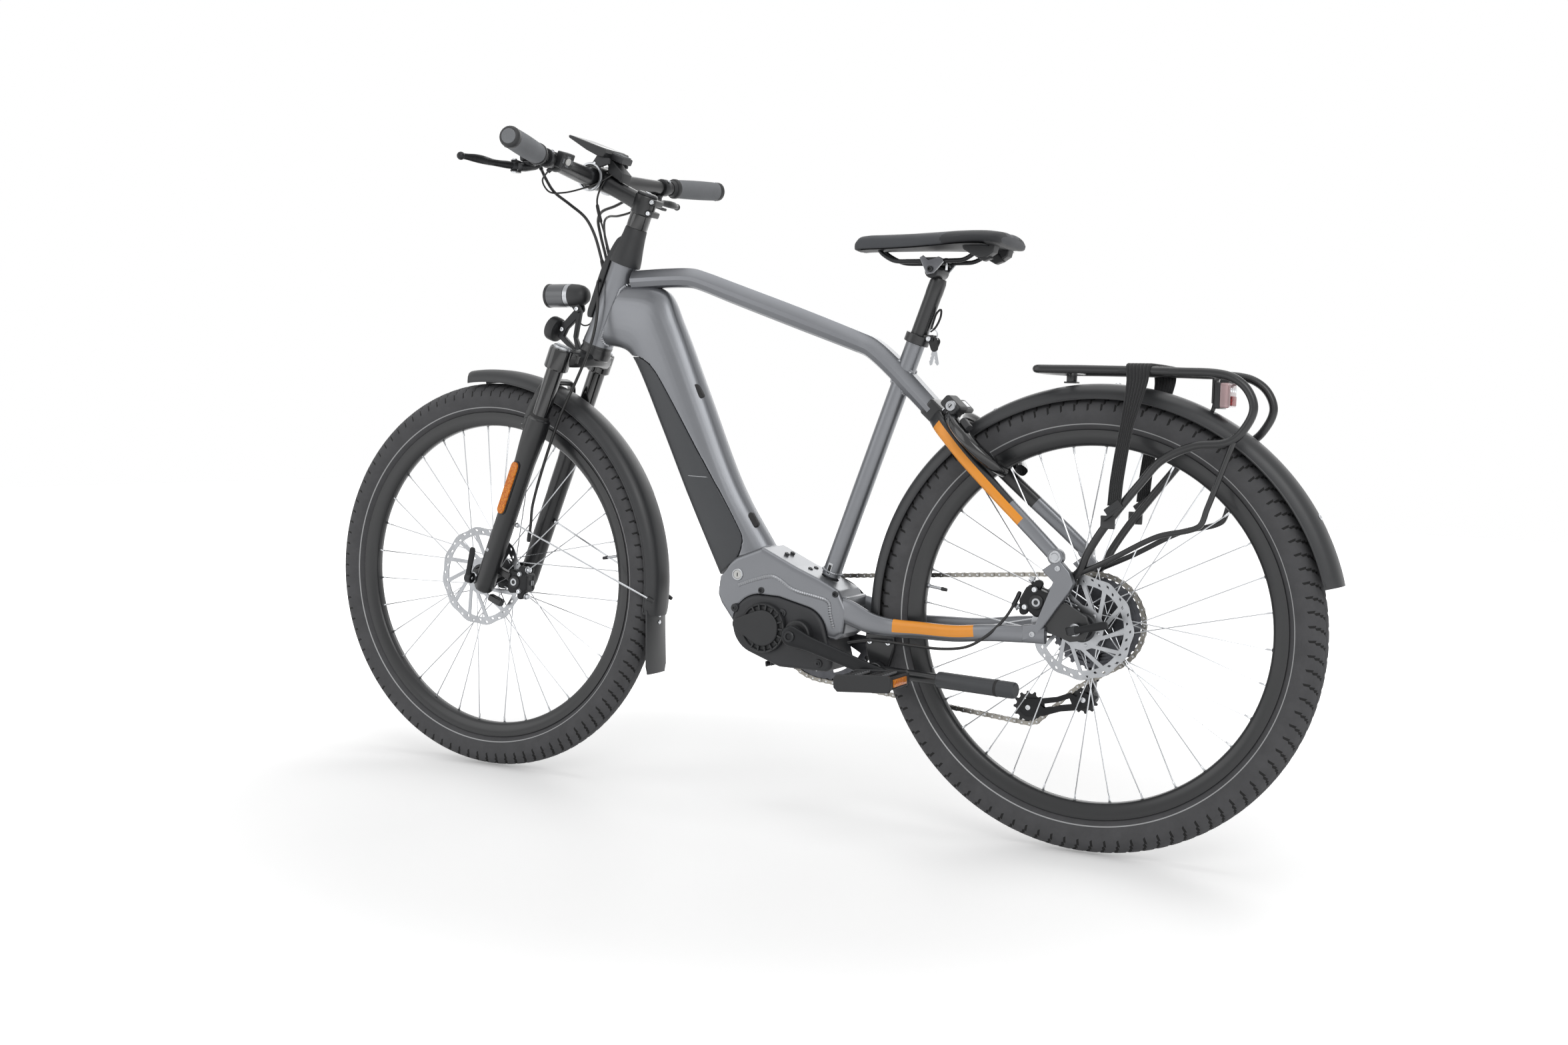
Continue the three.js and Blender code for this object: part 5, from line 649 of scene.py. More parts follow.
class Shape:
    """Gathers shapes, each with its material, into one named piece."""

    def __init__(self):
        self.verts, self.faces, self.slots, self.count = [], [], [], 0
        self.materials = []

    def add(self, shape, material):
        verts, faces = shape
        if material not in self.materials:
            self.materials.append(material)
        slot = self.materials.index(material)
        self.faces += [tuple(self.count + i for i in f) for f in faces]
        self.slots += [slot] * len(faces)
        self.verts.append(np.array(verts, float))
        self.count += len(verts)
        return self

    def turn(self, degrees, by=ORIGIN, before=ORIGIN):
        """Moves all that was added, turns it about Y and moves it again."""
        placed = (np.vstack(self.verts) + before) @ np.array(turn_y(degrees))
        self.verts = [placed + np.array(by, float)]
        return self

    def mirror(self):
        self.verts = [v * [1, -1, 1] for v in self.verts]
        self.faces = [f[::-1] for f in self.faces]
        return self

    def make(self, name, body, place=P, replaces=(), sharp=32, slot=None, keep=True):
        verts = np.vstack(self.verts)
        mesh = bpy.data.meshes.new(name)
        mesh.from_pydata([place(*v) for v in verts], [], self.faces)
        for key in self.materials:
            mesh.materials.append(M[key])
        mesh.polygons.foreach_set("material_index", self.slots)
        bm = bmesh.new()
        bm.from_mesh(mesh)
        bmesh.ops.recalc_face_normals(bm, faces=bm.faces[:])
        bm.to_mesh(mesh)
        bm.free()
        mesh.polygons.foreach_set("use_smooth", [True] * len(mesh.polygons))
        mesh.set_sharp_from_angle(angle=math.radians(sharp))
        obj = bpy.data.objects.new(name, mesh)
        bpy.context.scene.collection.objects.link(obj)
        if keep:
            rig.ride(obj, body)
            if replaces:
                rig.replaces(obj, *replaces)
            if slot:
                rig.slot(obj, slot)
        return obj


def hex_bolt(place, axis, radius=3.2, head=3):
    """A socket screw: round head with a round pit."""
    pit = [(0, head * 0.35), (radius * 0.5, head * 0.35), (radius * 0.52, head), (radius * 0.9, head),
        (radius, head * 0.8), (radius, 0), (0, 0)]
    return lathe(pit, place, axis, 18)


# Camera, light and floor

def place_camera():
    a, e, r = math.radians(207.42), math.radians(3.66), math.radians(1.58)
    back = Vector((math.sin(a) * math.cos(e), -math.cos(a) * math.cos(e), math.sin(e)))
    x = Vector(ALONG_Z).cross(back).normalized()
    y = back.cross(x)
    x2, y2 = x * math.cos(r) + y * math.sin(r), y * math.cos(r) - x * math.sin(r)
    data = bpy.data.cameras.new("camera")
    data.sensor_fit, data.sensor_width, data.lens = "HORIZONTAL", 36, 36 * 2496.3 / 2352
    data.clip_start, data.clip_end = 0.05, 60
    camera = bpy.data.objects.new("camera", data)
    rot = Matrix((x2, y2, back)).transposed().to_4x4()
    camera.matrix_world = Matrix.Translation((-1.3047, 2.4717, 0.6584)) @ rot
    bpy.context.scene.collection.objects.link(camera)
    bpy.context.scene.camera = camera


def lamp(name, place, target, size, power, colour=(1, 1, 1)):
    data = bpy.data.lights.new(name, "AREA")
    data.shape, data.size, data.size_y, data.energy, data.color = "RECTANGLE", size[0], size[1], power, colour
    obj = bpy.data.objects.new(name, data)
    obj.location = place
    obj.rotation_euler = (Vector(target) - Vector(place)).to_track_quat("-Z", "Y").to_euler()
    bpy.context.scene.collection.objects.link(obj)


def white_for_camera(tree, dim):
    """A mix factor that is 1 for what the camera, gloss or glass sees, and 0 for light."""
    ray = tree.nodes.new("ShaderNodeLightPath").outputs
    direct = maths(tree.nodes, tree.links, "MAXIMUM", ray["Is Camera Ray"], ray["Is Glossy Ray"])
    seen = maths(tree.nodes, tree.links, "MAXIMUM", direct, ray["Is Transmission Ray"])
    spread = tree.nodes.new("ShaderNodeMapRange")
    spread.inputs["To Min"].default_value = dim
    spread.inputs["To Max"].default_value = 1
    tree.links.new(seen, spread.inputs["Value"])
    return spread.outputs[0]


def set_stage():
    world = bpy.data.worlds.new("studio")
    bpy.context.scene.world = world
    world.use_nodes = True
    background = world.node_tree.nodes["Background"]
    background.inputs["Color"].default_value = (1, 1, 1, 1)
    world.node_tree.links.new(white_for_camera(world.node_tree, 0.34), background.inputs["Strength"])
    mesh = bpy.data.meshes.new("floor")
    mesh.from_pydata([(-9, -9, 0), (9, -9, 0), (9, 9, 0), (-9, 9, 0)], [], [(0, 1, 2, 3)])
    floor = bpy.data.objects.new("floor", mesh)
    floor.location.z = -0.0015
    bpy.context.scene.collection.objects.link(floor)
    m, nodes, links, bsdf = new_material("pale_floor")
    soft = noise(nodes, links, 0.7, 2, 0.5)
    tone = ramp(nodes, links, soft.outputs[0], [(0.3, (0.955, 0.955, 0.955)), (0.7, (0.975, 0.975, 0.975))])
    links.new(tone.outputs[0], bsdf.inputs["Base Color"])
    bsdf.inputs["Roughness"].default_value = 0.55
    bsdf.inputs["Emission Color"].default_value = (1, 1, 1, 1)
    far = nodes.new("ShaderNodeVectorMath")
    far.operation = "LENGTH"
    coord = nodes.new("ShaderNodeTexCoord")
    links.new(coord.outputs["Object"], far.inputs[0])
    fade = nodes.new("ShaderNodeMapRange")
    fade.interpolation_type = "SMOOTHSTEP"
    for name, value in (("From Min", 0.7), ("From Max", 1.9), ("To Min", 0.22), ("To Max", 1)):
        fade.inputs[name].default_value = value
    links.new(far.outputs["Value"], fade.inputs["Value"])
    seen = maths(nodes, links, "MULTIPLY", fade.outputs[0], white_for_camera(m.node_tree, 0))
    links.new(seen, bsdf.inputs["Emission Strength"])
    mesh.materials.append(m)
    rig.stage(floor)
    lamp("key", (-2.6, 3.2, 3.0), (0, 0, 0.5), (2.6, 2.2), 62)
    lamp("fill", (2.8, 2.8, 1.8), (0, 0, 0.5), (2.4, 2.2), 20)
    lamp("top", (0, 0, 3.6), (0, 0, 0), (3.4, 2.2), 30)
    lamp("far", (0.5, -3.4, 2.2), (0, 0, 0.6), (3.2, 1.8), 26)
    bpy.context.scene.view_settings.view_transform = "Standard"


place_camera()
set_stage()


# Wheels

TREAD_FOOT, TREAD_STEP, TREAD_LEAN, SHOULDER = 328, 6, 0.2, 9.5
ROUND = 594


def tyre(name, body, centre, place):
    section = [(293.8, 12), (299.5, 12.8), (302.5, 16), (305.2, 18.9), (309.4, 22.1), (316, 25.3), (323, 27),
        (330, 27.2), (334.5, 26.4), (338.5, 24.3), (342.2, 21), (345.6, 16.6), (348.4, 11.5), (350.4, 6.2),
        (351.4, 2.1)]
    half = smooth_path(section, 38)
    outer = np.vstack([half, (half * [1, -1])[::-1]])
    inner = smooth_path([(296, 8.5), (303, 13), (318, 21.5), (332, 22), (342, 14), (346, 0)], 10)
    lining = np.vstack([(inner * [1, -1]), inner[::-1][1:]])
    levels = np.vstack([outer, lining])
    angle = np.arange(ROUND) * 2 * math.pi / ROUND
    rows = []
    for row, (r, y) in enumerate(levels):
        radius = np.full(ROUND, r)
        if r > TREAD_FOOT and row < len(outer):
            step = np.arange(ROUND) % TREAD_STEP
            lead = (np.arange(ROUND) + int(abs(y) * TREAD_LEAN)) % TREAD_STEP
            shoulder = abs(y) > SHOULDER
            groove = (lead < 1) if shoulder else ((step + (0 if y > 0 else 3)) % TREAD_STEP < 1)
            radius = radius - (2.4 if shoulder else 1.3) * groove
            if 7.6 < abs(y) < 9.6:
                radius = radius - 1.5
        across = np.full(ROUND, y)
        rows.append(np.stack([radius * np.cos(angle), across, radius * np.sin(angle)], axis=1)
            + np.array(centre))
    verts = np.vstack(rows)
    faces = grid_faces(len(rows), ROUND, wrap_rows=True)
    shape = Shape()
    band = [len(outer) > i and 305.4 < levels[i][0] < 308 for i in range(len(levels))]

    def key_of(k):
        row, place_round = divmod(k, ROUND)
        r, y = levels[row]
        if band[row]:
            return "stripe"
        # Faces in the shoulder grooves take the dark groove material: painted shade in the recesses.
        cut_here = (place_round + int(abs(y) * TREAD_LEAN)) % TREAD_STEP == 0
        on_shoulder = row < len(outer) and r > TREAD_FOOT and abs(y) > SHOULDER
        return "groove" if cut_here and on_shoulder else "tyre"

    keys = [key_of(k) for k in range(len(faces))]
    for key in ("tyre", "stripe", "groove"):
        chosen = [f for f, own in zip(faces, keys) if own == key]
        shape.faces += chosen
        shape.slots += [len(shape.materials)] * len(chosen)
        shape.materials.append(key)
    shape.verts, shape.count = [verts], len(verts)
    return shape.make(name, body, place, (name.replace("_tread", ""),), 38, "tyre_rubber")


def rim(name, body, centre, place, node, phase, valve):
    shape = Shape()
    half = [(274, 0), (274.3, 5), (275.6, 8.2), (279, 10.6), (285, 13.2), (291, 14.7), (298.6, 15),
        (299.3, 14.4), (299.2, 12.6), (297.6, 12.3), (292.6, 12.3), (291.6, 11), (288, 7), (287, 0)]
    profile = half + [(r, -y) for r, y in half[::-1]]
    shape.add(collar(profile, centre, ALONG_Y, 160), "black")
    for i in range(32):
        a = math.radians(phase + 11.25 * i)
        side = 1 if i % 2 == 0 else -1
        out = Vector((math.cos(a), 0, math.sin(a)))
        base = Vector(centre) + out * 274.4 + Vector((0, side * 3, 0))
        shape.add(rod(base, base - out * 11, 1.7, 1.35, 8, 0.2), "steel")
        shape.add(rod(base + out * 0.6, base - out * 0.7, 3, 3, 12, 0.2), "black")
    a = math.radians(valve)
    out = Vector((math.cos(a), 0, math.sin(a)))
    base = Vector(centre) + out * 275
    shape.add(rod(base, base - out * 3.5, 4.4, 4.4, 6, 0.4), "silver")
    shape.add(rod(base, base - out * 24, 2.6, 2.6, 14, 0.4), "silver")
    shape.add(rod(base - out * 24, base - out * 34, 3.3, 2.8, 14, 0.6), "plastic")
    return shape.make(name, body, place, (node,), 35, "black_alloy")


def spokes(shape, centre, flange, side, phase):
    centre = Vector(centre)
    for i in range(16):
        rim_angle = math.radians(phase + 22.5 * i)
        hub_angle = rim_angle + math.radians(67.5 if i % 2 else -67.5)
        out = side * (flange + (-2.2 if i % 2 else 2.2))
        hub = centre + Vector((24 * math.cos(hub_angle), out, 24 * math.sin(hub_angle)))
        end = centre + Vector((268 * math.cos(rim_angle), side * 3, 268 * math.sin(rim_angle)))
        shape.add(rod(hub, end, 1.0, 1.0, 6, 0.1), "steel")
        head = hub + Vector((0, side * (3.2 if i % 2 else -3.2), 0))
        shape.add(rod(hub, head, 1.3, 1.9, 8, 0.3), "steel")


def rotor(shape, centre, radius, y):
    """A wave-edged disc with rows of holes, twelve swept arms and a black carrier."""
    rim_line = [((radius - 1.3 + 1.3 * math.cos(12 * a)) * math.cos(a),
        (radius - 1.3 + 1.3 * math.cos(12 * a)) * math.sin(a)) for a in np.arange(180) * 2 * math.pi / 180]
    inner = radius - 15
    holes = []
    for k in range(12):
        start, end = (k + 0.1) * math.pi / 6, (k + 0.9) * math.pi / 6
        low = [(34, start + 0.42 + 0.06), (34, end + 0.42 - 0.08)]
        top = [(inner, start + (end - start) * t) for t in (1, 0.75, 0.5, 0.25, 0)]
        holes.append([(r * math.cos(a), r * math.sin(a)) for r, a in low + top])
    for k in range(36):
        a = k * 2 * math.pi / 36
        low, high = ((4.2, 7.4), (8.2, 11.6))[k % 2]
        slot_line = [(radius - low, a - 0.035), (radius - low, a + 0.02), (radius - high, a + 0.05),
            (radius - high, a - 0.005)]
        holes.append([(r * math.cos(t), r * math.sin(t)) for r, t in slot_line])
    holes.append(circle(0, 0, 18, 32))
    shape.add(moved(plate(rim_line, y - 0.9, y + 0.9, holes, 0.15, 1), centre), "rotor")
    ring = [(17.5, y - 1.6), (22, y - 1.6), (22, y + 2), (20.5, y + 2.8), (17.5, y + 2.8)]
    shape.add(collar(ring, centre, ALONG_Y, 40), "alloy")
    for k in range(6):
        a = (k + 0.25) * math.pi / 3
        spot = Vector(centre) + Vector((27 * math.cos(a), y - 0.9, 27 * math.sin(a)))
        shape.add(rod(spot, spot + Vector((0, 2.6, 0)), 3.2, 2.8, 12, 0.4), "silver")


FRONT_ROTOR, REAR_ROTOR = (90, 40), (80, 47)


def front_hub():
    c = (AXLE_F[0], 0, AXLE_F[1])
    shape = Shape()
    half = [(10.5, 50), (13, 49), (15, 44), (16, 34), (27.4, 29.6), (28.4, 28.6), (28.4, 25.6), (27.4, 24.6),
        (17, 22), (13.6, 14), (12.8, 0)]
    body = [(7, 50)] + half + [(r, -y) for r, y in half[::-1][1:]] + [(7, -50)]
    shape.add(collar(body, c, ALONG_Y, 48), "alloy")
    spokes(shape, c, 27, 1, 8)
    spokes(shape, c, 27, -1, 8 + 11.25)
    rotor(shape, c, *FRONT_ROTOR)
    return shape.make("front_hub_detail", "front_wheel", S, ("front_hub_spokes",), 35, "steel")


def rear_hub():
    c = AXLE_R
    shape = Shape()
    body = [(7, 67), (10, 67), (13, 62), (17, 54), (18, 46), (18, 38), (27.4, 33), (28.4, 32), (28.4, 28.6),
        (27.4, 27.4), (18, 24), (15.5, 14), (15.5, -6), (18, -12), (27.4, -15), (28.4, -16), (28.4, -18.4),
        (27.4, -19.6), (16.6, -21.5), (16.6, -63), (10, -64), (10, -67), (7, -67)]
    shape.add(collar(body, c, ALONG_Y, 48), "alloy")
    spokes(shape, c, 30, 1, 3)
    spokes(shape, c, 17, -1, 3 + 11.25)
    rotor(shape, c, *REAR_ROTOR)
    return shape.make("rear_hub_detail", "rear_wheel", P, ("rear_hub_spokes",), 35, "steel")


def toothed(radius, teeth, depth=3.6, tip=0.34, phase=0.0):
    """The outline of a chain wheel."""
    pts = []
    for k in range(teeth):
        for share, r in ((-0.5, radius - depth * 0.55), (-0.3, radius - depth * 0.45),
            (-tip / 2, radius + depth * 0.42), (tip / 2, radius + depth * 0.42),
            (0.3, radius - depth * 0.45)):
            a = phase + (k + share) * 2 * math.pi / teeth
            pts.append((r * math.cos(a), r * math.sin(a)))
    return pts


def cassette():
    c = AXLE_R
    shape = Shape()
    teeth = [36, 32, 28, 25, 22, 20, 18, 16, 14, 12, 11]
    for i, n in enumerate(teeth):
        r = 72.5 - i * 4.85
        y = -26 - 3.4 * i
        holes = [circle(0, 0, 17.4, 28)]
        if r > 44:
            for k in range(8):
                a0 = (k + 0.14 + i * 0.1) * math.pi / 4
                a1 = a0 + math.pi / 4 * 0.72
                inside, outside = max(r - 24, 25), r - 8.5
                holes.append([(outside * math.cos(a), outside * math.sin(a)) for a in (a0, (a0 + a1) / 2, a1)]
                    + [(inside * math.cos(a), inside * math.sin(a)) for a in (a1, a0)])
        shape.add(moved(plate(toothed(r, n, 4.2, 0.3, i * 0.07), y - 0.85, y + 0.85, holes, 0.2, 1), c),
            "cog" if i < 5 else "chain")
        if i < 10:
            shape.add(collar([(17.4, y - 2.4), (20.5, y - 2.4), (20.5, y - 1), (17.4, y - 1)], c, ALONG_Y,
                32), "alloy")
    shape.add(collar([(17.2, -62.6), (19.6, -62.6), (19.6, -60.8), (17.2, -60.8)], c, ALONG_Y, 24), "cog")
    return shape.make("cassette_cogs", "cassette", P, ("cassette",), 30, "chain_steel")


front_centre = (AXLE_F[0], 0, AXLE_F[1])
tyre("front_tyre_tread", "front_wheel", front_centre, S)
tyre("rear_tyre_tread", "rear_wheel", AXLE_R, P)
rim("front_rim_hoop", "front_wheel", front_centre, S, "front_rim", 8, 148.6)
rim("rear_rim_hoop", "rear_wheel", AXLE_R, P, "rear_rim", 3, 8.6)
front_hub()
rear_hub()
cassette()


# Frame

SEAT = math.radians(70.1)
CRANK_X, CRANK_Z, MOTOR_SPAN, HOOK_SPAN = 475, 302, 180, 100
SEAT_FOOT_X = 479.6
TOP_REAR, TOP_FRONT = (270, 674), (HEAD_X - 0.441 * HEAD_LENGTH, HEAD_FOOT + 0.75 * HEAD_LENGTH)
DOWN_FOOT, DOWN_HEAD = (CRANK_X + 0.694 * MOTOR_SPAN,
    CRANK_Z + 0.611 * MOTOR_SPAN), (HEAD_X - 0.257 * HEAD_LENGTH, HEAD_FOOT + 0.4145 * HEAD_LENGTH)


def on_line(a, b, share):
    rx, rz = b[0] - a[0], b[1] - a[1]
    return (a[0] + share[0] * rx - share[1] * rz, a[1] + share[0] * rz + share[1] * rx)


def on_motor(x, z):
    return (CRANK_X + MOTOR_SPAN * x, CRANK_Z + MOTOR_SPAN * z)


def on_hook(x, z):
    return (HOOK_SPAN * x, R_TYRE + HOOK_SPAN * z)


def on_crank(y):
    return np.array((CRANK_X, y, CRANK_Z), float)


def on_seat(z):
    return vec(SEAT_FOOT_X - (z - CRANK_Z) / math.tan(SEAT), 0, z)


SOFT_BOX = soft_section(0.55, 0.55)
RIDGE = np.array([[1, 0.42], [0.75, 0.66], [0.1, 1], [-0.3, 1], [-0.8, 0.74], [-1, 0.42], [-1, -0.42],
    [-0.8, -0.74], [-0.3, -1], [0.1, -1], [0.75, -0.66], [1, -0.42]])


def bead(shape, path, radius=2.0, pitch=3.4, material="bead"):
    """A weld seam: a ripple of overlapping rounds along a path."""
    pts = np.array(path, float)
    length = np.linalg.norm(np.diff(pts, axis=0), axis=1).sum()
    count = int(length / pitch) * 4
    fine = smooth_path(pts, count)
    radii = [radius * (1 + 0.11 * math.sin(i * math.pi / 2)) for i in range(len(fine))]
    shape.add(tube(fine, np.array(radii), 8), material)


def off_axis(base, axis, radius):
    """How far a point lies outside a round tube."""
    def depth(point):
        away = point - base
        return np.linalg.norm(away - (away @ axis) * axis) - radius
    return depth


def seam(shape, rings, depth, radius=1.9):
    """A weld where a tube's rings enter the tube that depth() measures."""
    line = []
    for column in np.swapaxes(np.array(rings), 0, 1):
        d = np.array([depth(p) for p in column])
        cross = np.nonzero((d[:-1] > 0) != (d[1:] > 0))[0]
        if len(cross):
            i = cross[0] if d[0] < 0 else cross[-1]
            t = d[i] / (d[i] - d[i + 1])
            line.append(column[i] + t * (column[i + 1] - column[i]))
    if len(line) > 3:
        bead(shape, line + [line[0]], radius)


STEER_AXIS = vec(-UC, 0, US)
IN_HEAD = off_axis(vec(HEAD_X, 0, HEAD_FOOT), STEER_AXIS, 24.2)
IN_SEAT = off_axis(vec(SEAT_FOOT_X, 0, CRANK_Z), vec(-math.cos(SEAT), 0, math.sin(SEAT)), 15.7)


def rings_of(shape, columns):
    return np.array(shape[0])[:len(shape[0]) // columns * columns].reshape(-1, columns, 3)


def top_tube():
    shares = [[0, 0], [0.062, 0.027], [0.154, 0.066], [0.222, 0.0875], [0.26, 0.089], [0.45, 0.086],
        [0.666, 0.081], [0.765, 0.079], [0.807, 0.0745], [0.874, 0.0515], [0.985, 0.006]]
    heights = [0.92, 0.95, 1, 1, 1, 1.06, 1.04, 1, 1, 0.98, 0.98]
    widths = [48, 48, 47, 44, 42, 40, 40, 40, 40, 40, 40]
    rows = [(*on_line(TOP_REAR, TOP_FRONT, s), h * 16.5, w / 2) for s, h, w in zip(shares, heights, widths)]
    fine = smooth_path([(x, 0, z, h, w) for x, z, h, w in rows], 110)
    shape = Shape()
    skin = bar_along(fine, RIDGE)
    shape.add(skin, "frame")
    rings = rings_of(skin, len(RIDGE))
    seam(shape, rings[60:], IN_HEAD, 3.4)
    seam(shape, rings[:50], IN_SEAT, 3.2)
    seam(shape, rings[50::-1], IN_SEAT, 3.2)
    return shape.make("top_tube_shell", "frame", P, ("top_tube",), 26, "frame_paint")


DOWN_UPPER = [[-0.006, 0.11], [0.237, 0.11], [0.559, 0.159], [0.824, 0.2], [0.942, 0.2045], [1.051, 0.0805]]
DOWN_LOWER = [[-0.008, -0.109], [0.271, -0.079], [0.547, -0.0425], [0.784, -0.0165], [0.853, -0.0306],
    [0.927, -0.1045]]
DOWN_WIDTH = [1, 1.03, 1.06, 1.03, 0.97, 0.76]
DOWN_SECTION = rounded([[1, 0.3], [0.86, 0.62], [0.42, 0.98], [-0.4, 1], [-0.84, 0.8], [-1, 0.45],
    [-1, -0.45], [-0.84, -0.8], [-0.4, -1], [0.42, -0.98], [0.86, -0.62], [1, -0.3]])


def down_tube_rings(grow=0.0):
    rows = []
    for up, low, w in zip(DOWN_UPPER, DOWN_LOWER, DOWN_WIDTH):
        rows.append((*on_line(DOWN_FOOT, DOWN_HEAD, up), *on_line(DOWN_FOOT, DOWN_HEAD, low), w * 31))
    fine = smooth_path(rows, 90)
    rings = []
    for ux, uz, lx, lz, w in fine:
        mid, up = np.array([(ux + lx) / 2, 0, (uz + lz) / 2]), np.array([(ux - lx) / 2, 0, (uz - lz) / 2])
        up *= 1 + grow / np.linalg.norm(up)
        rings.append([mid + n * up + np.array([0, b * (w + grow), 0]) for n, b in DOWN_SECTION])
    return rings


MOUNT = [[0.85, 0.22], [0.96, 0.46], [0.7, 0.66], [0.43, 0.767], [0.078, 0.606], [-0.167, 0.511],
    [-0.36, 0.422], [-0.45, 0.25], [-0.42, 0.03], [-0.34, -0.03], [-0.2, -0.02], [0.7, 0.03]]
MOTOR_LOBES = [[0.433, 0.05, 0.278], [0, 0, 0.255], [-0.25, -0.245, 0.08], [0.194, -0.222, 0.1],
    [0.25, 0.2, 0.12]]
BATTERY_EDGE = [[0.815, -0.01], [0.79, 0.02], [0.742, 0.045], [0.679, 0.053], [0.379, 0.052], [0.081, 0.049],
    [0.05, 0.035], [0.027, 0.01], [-0.002, -0.048], [-0.008, -0.075]]


def motor_line(grow):
    return hull([(*on_motor(x, z), MOTOR_SPAN * r + grow) for x, z, r in MOTOR_LOBES], 48)


def battery_line(grow):
    edge = smooth_path([(*on_line(DOWN_FOOT, DOWN_HEAD, s), 0) for s in BATTERY_EDGE], 60)[:, :2]
    outside = [on_line(DOWN_FOOT, DOWN_HEAD, s) for s in ([-0.06, -0.12], [0.02, -0.3], [0.7, -0.3],
        [0.9, -0.12])]
    mid = np.array(on_line(DOWN_FOOT, DOWN_HEAD, [0.4, -0.1]))
    pts = np.vstack([edge, outside])
    away = pts - mid
    return [tuple(p) for p in mid + away * (1 + grow / np.linalg.norm(away, axis=1))[:, None]]


def solid(shape, name="tool"):
    """A loose mesh object, in millimetres, for boolean work."""
    mesh = bpy.data.meshes.new(name)
    mesh.from_pydata([tuple(v) for v in shape[0]], [], [tuple(f) for f in shape[1]])
    bm = bmesh.new()
    bm.from_mesh(mesh)
    bmesh.ops.remove_doubles(bm, verts=bm.verts, dist=0.001)
    bmesh.ops.recalc_face_normals(bm, faces=bm.faces[:])
    bm.to_mesh(mesh)
    bm.free()
    obj = bpy.data.objects.new(name, mesh)
    bpy.context.scene.collection.objects.link(obj)
    return obj


def carve(base, steps, remesh=0.0, soften=0, reduce=0.0):
    """Applies boolean steps, each (operation, shape), and gives back the shape."""
    obj = solid(base)
    tools = []
    for operation, tool in steps:
        other = solid(tool)
        tools.append(other)
        mod = obj.modifiers.new("step", "BOOLEAN")
        mod.operation, mod.solver, mod.object = operation, "EXACT", other
    if remesh:
        mod = obj.modifiers.new("even", "REMESH")
        mod.mode, mod.voxel_size = "VOXEL", remesh
    if soften:
        mod = obj.modifiers.new("soft", "SMOOTH")
        mod.factor, mod.iterations = 0.5, soften
    if reduce:
        mod = obj.modifiers.new("lighter", "DECIMATE")
        mod.ratio = reduce
    graph = bpy.context.evaluated_depsgraph_get()
    mesh = bpy.data.meshes.new_from_object(obj.evaluated_get(graph))
    verts = np.array([v.co[:] for v in mesh.vertices])
    faces = [tuple(p.vertices) for p in mesh.polygons]
    for gone in [obj, *tools]:
        data = gone.data
        bpy.data.objects.remove(gone)
        bpy.data.meshes.remove(data)
    bpy.data.meshes.remove(mesh)
    return verts, faces


def down_tube():
    mount_soft = plate([on_motor(*s) for s in MOUNT], -40, 46, (), 7, 4)
    cuts = [("UNION", mount_soft), ("DIFFERENCE", plate(battery_line(0.7), -70, 70, (), 0.01, 0)),
        ("DIFFERENCE", plate(motor_line(0.8), -90, 90, (), 0.01, 0))]
    body = carve(loft(down_tube_rings()), cuts, 1.5, 4)
    seat = rod(on_seat(385), on_seat(470), 15.6)
    body = carve(body, [("DIFFERENCE", seat)])
    shape = Shape()
    shape.add(body, "frame")
    for x, z in ((550.5, 368.5), (414, 372)):
        shape.add(hex_bolt((x, 45.4, z), ALONG_Y, 5.4, 2.6), "alloy")
    lock = (596, 45, 392)
    shape.add(collar([(7.4, 0), (10.2, 0), (10.2, 2), (9.4, 3), (7.8, 3), (7.4, 2.4)], lock, ALONG_Y, 48),
        "silver")
    shape.add(lathe([(0, 2), (4.4, 2), (5, 2.6), (6.6, 2.6), (7.4, 2), (7.4, 0), (0, 0)], lock, ALONG_Y, 40),
        "white")
    shape.add(box((1.3, 1.2, 6), (596, 47.2, 392), 0.3), "rubber")
    for x, z in ((523, 427.4), (478.5, 405.4)):
        for y in (-10.5, 10.5):
            shape.add(hex_bolt((x, y, z), (-0.42, 0, 0.91), 4.2, 3.4), "alloy")
    seam(shape, down_tube_rings()[50:], IN_HEAD, 3.4)
    weld = [(594, 374.6), (566, 385), (533, 393.4), (516, 388.5), (496, 376.2), (478, 370.3), (451, 365.7),
        (427, 358.6), (422.5, 340.5), (415.8, 317)]
    bead(shape, [(x, 44.6, z) for x, z in weld], 3.7, 4.2)
    run = np.array(DOWN_HEAD) - DOWN_FOOT
    run = run / np.linalg.norm(run)
    for share in ((0.574, 0.149), (0.1, 0.104)):
        spot = np.array(on_line(DOWN_FOOT, DOWN_HEAD, share))
        shape.add(plate(hull([(*(spot + run * d), 4.4) for d in (-9, 9)], 32), 12, 20.5, (), 1.4, 3),
            "rubber")
    return shape.make("down_tube_shell", "frame", P, ("down_tube",), 30, "frame_paint")


def battery():
    skin_shape = carve(loft(down_tube_rings(0.2)),
        [("INTERSECT", plate(battery_line(-0.4), -70, 70, (), 0.01, 0)),
        ("DIFFERENCE", plate([on_motor(*s) for s in MOUNT], -90, 90, (), 0.01, 0)),
        ("DIFFERENCE", plate(motor_line(1.6), -90, 90, (), 0.01, 0))], 1.6, 3)
    shape = Shape()
    shape.add(skin_shape, "battery")
    # A thin silver line on the cover's parting seam: a real seam, drawn light as a painted highlight along its edge.
    shape.add(tube([(719, 25.6, 553.3), (702, 31.4, 552.6), (684, 33.2, 552), (664, 30.6, 551.3)], 0.7, 6),
        "silver")
    return shape.make("battery_cover", "battery", P, ("battery",), 30, "battery_plastic")


